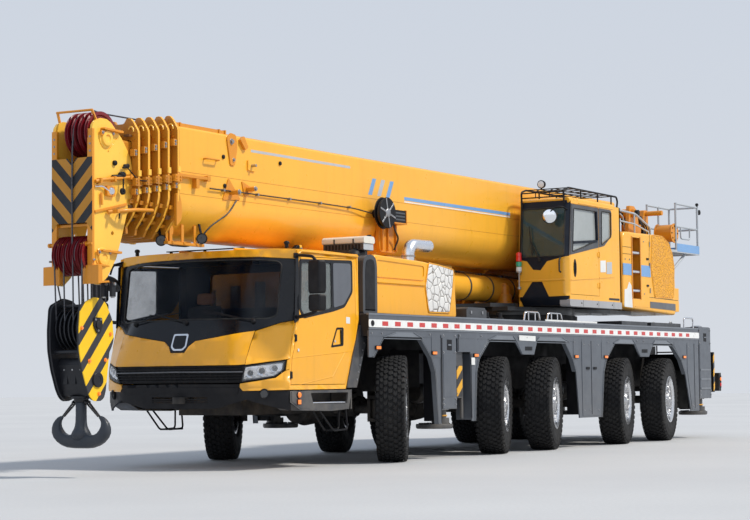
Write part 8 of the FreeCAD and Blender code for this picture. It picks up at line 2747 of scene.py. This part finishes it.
# ------------------------------------------------------------------ running gear round the axles
rg = Mesh()
for kx in (97, -2660, -4220, -6770, -8460):
    for s in (1, -1):
        # strut between the axle and the chassis, with its bright rod
        rod(rg, (kx + 90, s * 560, 1240), (kx + 90, s * 590, 930), 66, 0, n=24)
        rod(rg, (kx + 90, s * 590, 930), (kx + 90, s * 604, 800), 40, 1, n=20)
        rod(rg, (kx + 90, s * 604, 800), (kx + 90, s * 606, 740), 58, 0, n=20)
        bar(rg, (kx - 60, s * 430, 700), (kx - 760, s * 380, 900), 60, 80, 0)
        rod(rg, (kx - 60, s * 400, 700), (kx - 60, s * 470, 700), 62, 2, n=20)
        # air can and brake hose near the knuckle
        lathe(rg, (kx - 150, s * 700, 760), (-1, 0, 0.1), [(0, 20), (4, 70), (50, 78), (60, 84), (68, 84), (78, 78), (140, 70), (150, 30)], 0, n=28)
        tube(rg, soften([(kx - 300, s * 700, 790), (kx - 360, s * 660, 900), (kx - 200, s * 560, 1010), (kx - 100, s * 500, 1100)], 60), 12, 3, n=8)
    lathe(rg, (kx - 260, 0, 700), (1, 0, 0), [(0, 60), (10, 130), (60, 150), (120, 220), (300, 236), (420, 200), (470, 120), (520, 90), (600, 84)], 0, n=40)
    for k in range(12):
        a = 2 * math.pi * k / 12
        hexnut(rg, (kx + 44, 220 * math.cos(a), 700 + 220 * math.sin(a)), (1, 0, 0), 10, 9, 2)
for x0, x1 in ((-2400, -230), (-4000, -2900), (-6540, -4480), (-8230, -7030)):
    rod(rg, (x0 + 120, 0, 700), (x1 - 120, 0, 712), 58, 0, n=24)
    for x in (x0 + 120, x1 - 120):
        lathe(rg, (x, 0, 705), (1, 0, 0), [(-60, 50), (-50, 84), (50, 84), (60, 50)], 2, n=24)
for x, y, r, l in ((-1560, -670, 128, 620), (-1560, 670, 128, 620), (-5450, -820, 140, 560), (-5450, 820, 140, 560)):
    lathe(rg, (x, y, 860), (-1, 0, 0), [(0, 20), (6, r - 20), (30, r), (l - 30, r), (l - 6, r - 20), (l, 20)], 0, n=36)
    for d in (120, l - 160):
        lathe(rg, (x - d, y, 860), (-1, 0, 0), [(0, r), (0, r + 7), (36, r + 7), (36, r)], 2, n=36)
# plates along the chassis that close the space above the frame rails
for s in (1, -1):
    block(rg, -9400, 860, *sorted((s * 690, s * 700)), 1392, 1596, 0)
make("running_gear", "carrier", rg, [M_FRAME, M_CHROME, M_STEEL, M_HOSE], angle=42)

# ------------------------------------------------------------------ plain finish for what is left of the frame
# the slewing platform's frame is yellow above 2.21 m and near black below: partly the dark turntable itself, partly
# painted shade under the cab
M_TURNTABLE = paint("platform_dark_base_and_painted_shade", YEL, rough=0.34, coat=0.35, dust=0.3, dust_z=(2.6, 2.0))
nt_ = M_TURNTABLE.node_tree
b_ = next(n for n in nt_.nodes if n.type == "BSDF_PRINCIPLED")
src_ = b_.inputs["Base Color"].links[0].from_socket
sep_ = nt_.nodes.new("ShaderNodeSeparateXYZ")
nt_.links.new(coords(nt_), sep_.inputs[0])
nt_.links.new(mixc(nt_, ramp(nt_, sep_.outputs["Z"], 2.212, 2.206), src_, (0.016, 0.017, 0.019)), b_.inputs["Base Color"])

SLOT_MATERIALS = {
    "crane_yellow": M_YEL, "frame_grey": M_FRAME, "skirt_grey": M_GREY, "black_plastic": M_BLACK, "tinted_glass": M_GLASS,
    "trim_dark": M_BLACK, "axle_black": M_FRAME, "cast_block": M_FRAME, "tyre_rubber": M_RUBBER, "jack_steel": M_DGREY,
    "sheave_red": M_RED, "hook_steel": M_HOOK, "chrome_rod": M_CHROME, "winch_steel": M_STEEL, "rail_grey": M_GREYRAIL,
}
for sub in frame["record"]["subparts"]:
    ob = frame["nodes"][sub["node"]]
    mat = M_TURNTABLE if sub["node"] == "turntable_frame" else SLOT_MATERIALS[sub["material_slot"]]
    for slot in ob.material_slots:
        slot.material = mat
    w = ob.modifiers.new("weld", "WELD")
    w.merge_threshold = 0.0002
    b = ob.modifiers.new("edge", "BEVEL")
    b.width = 0.005
    b.segments = 1
    b.limit_method = "ANGLE"
    b.angle_limit = math.radians(40)
    n = ob.modifiers.new("normals", "WEIGHTED_NORMAL")
    n.keep_sharp = True
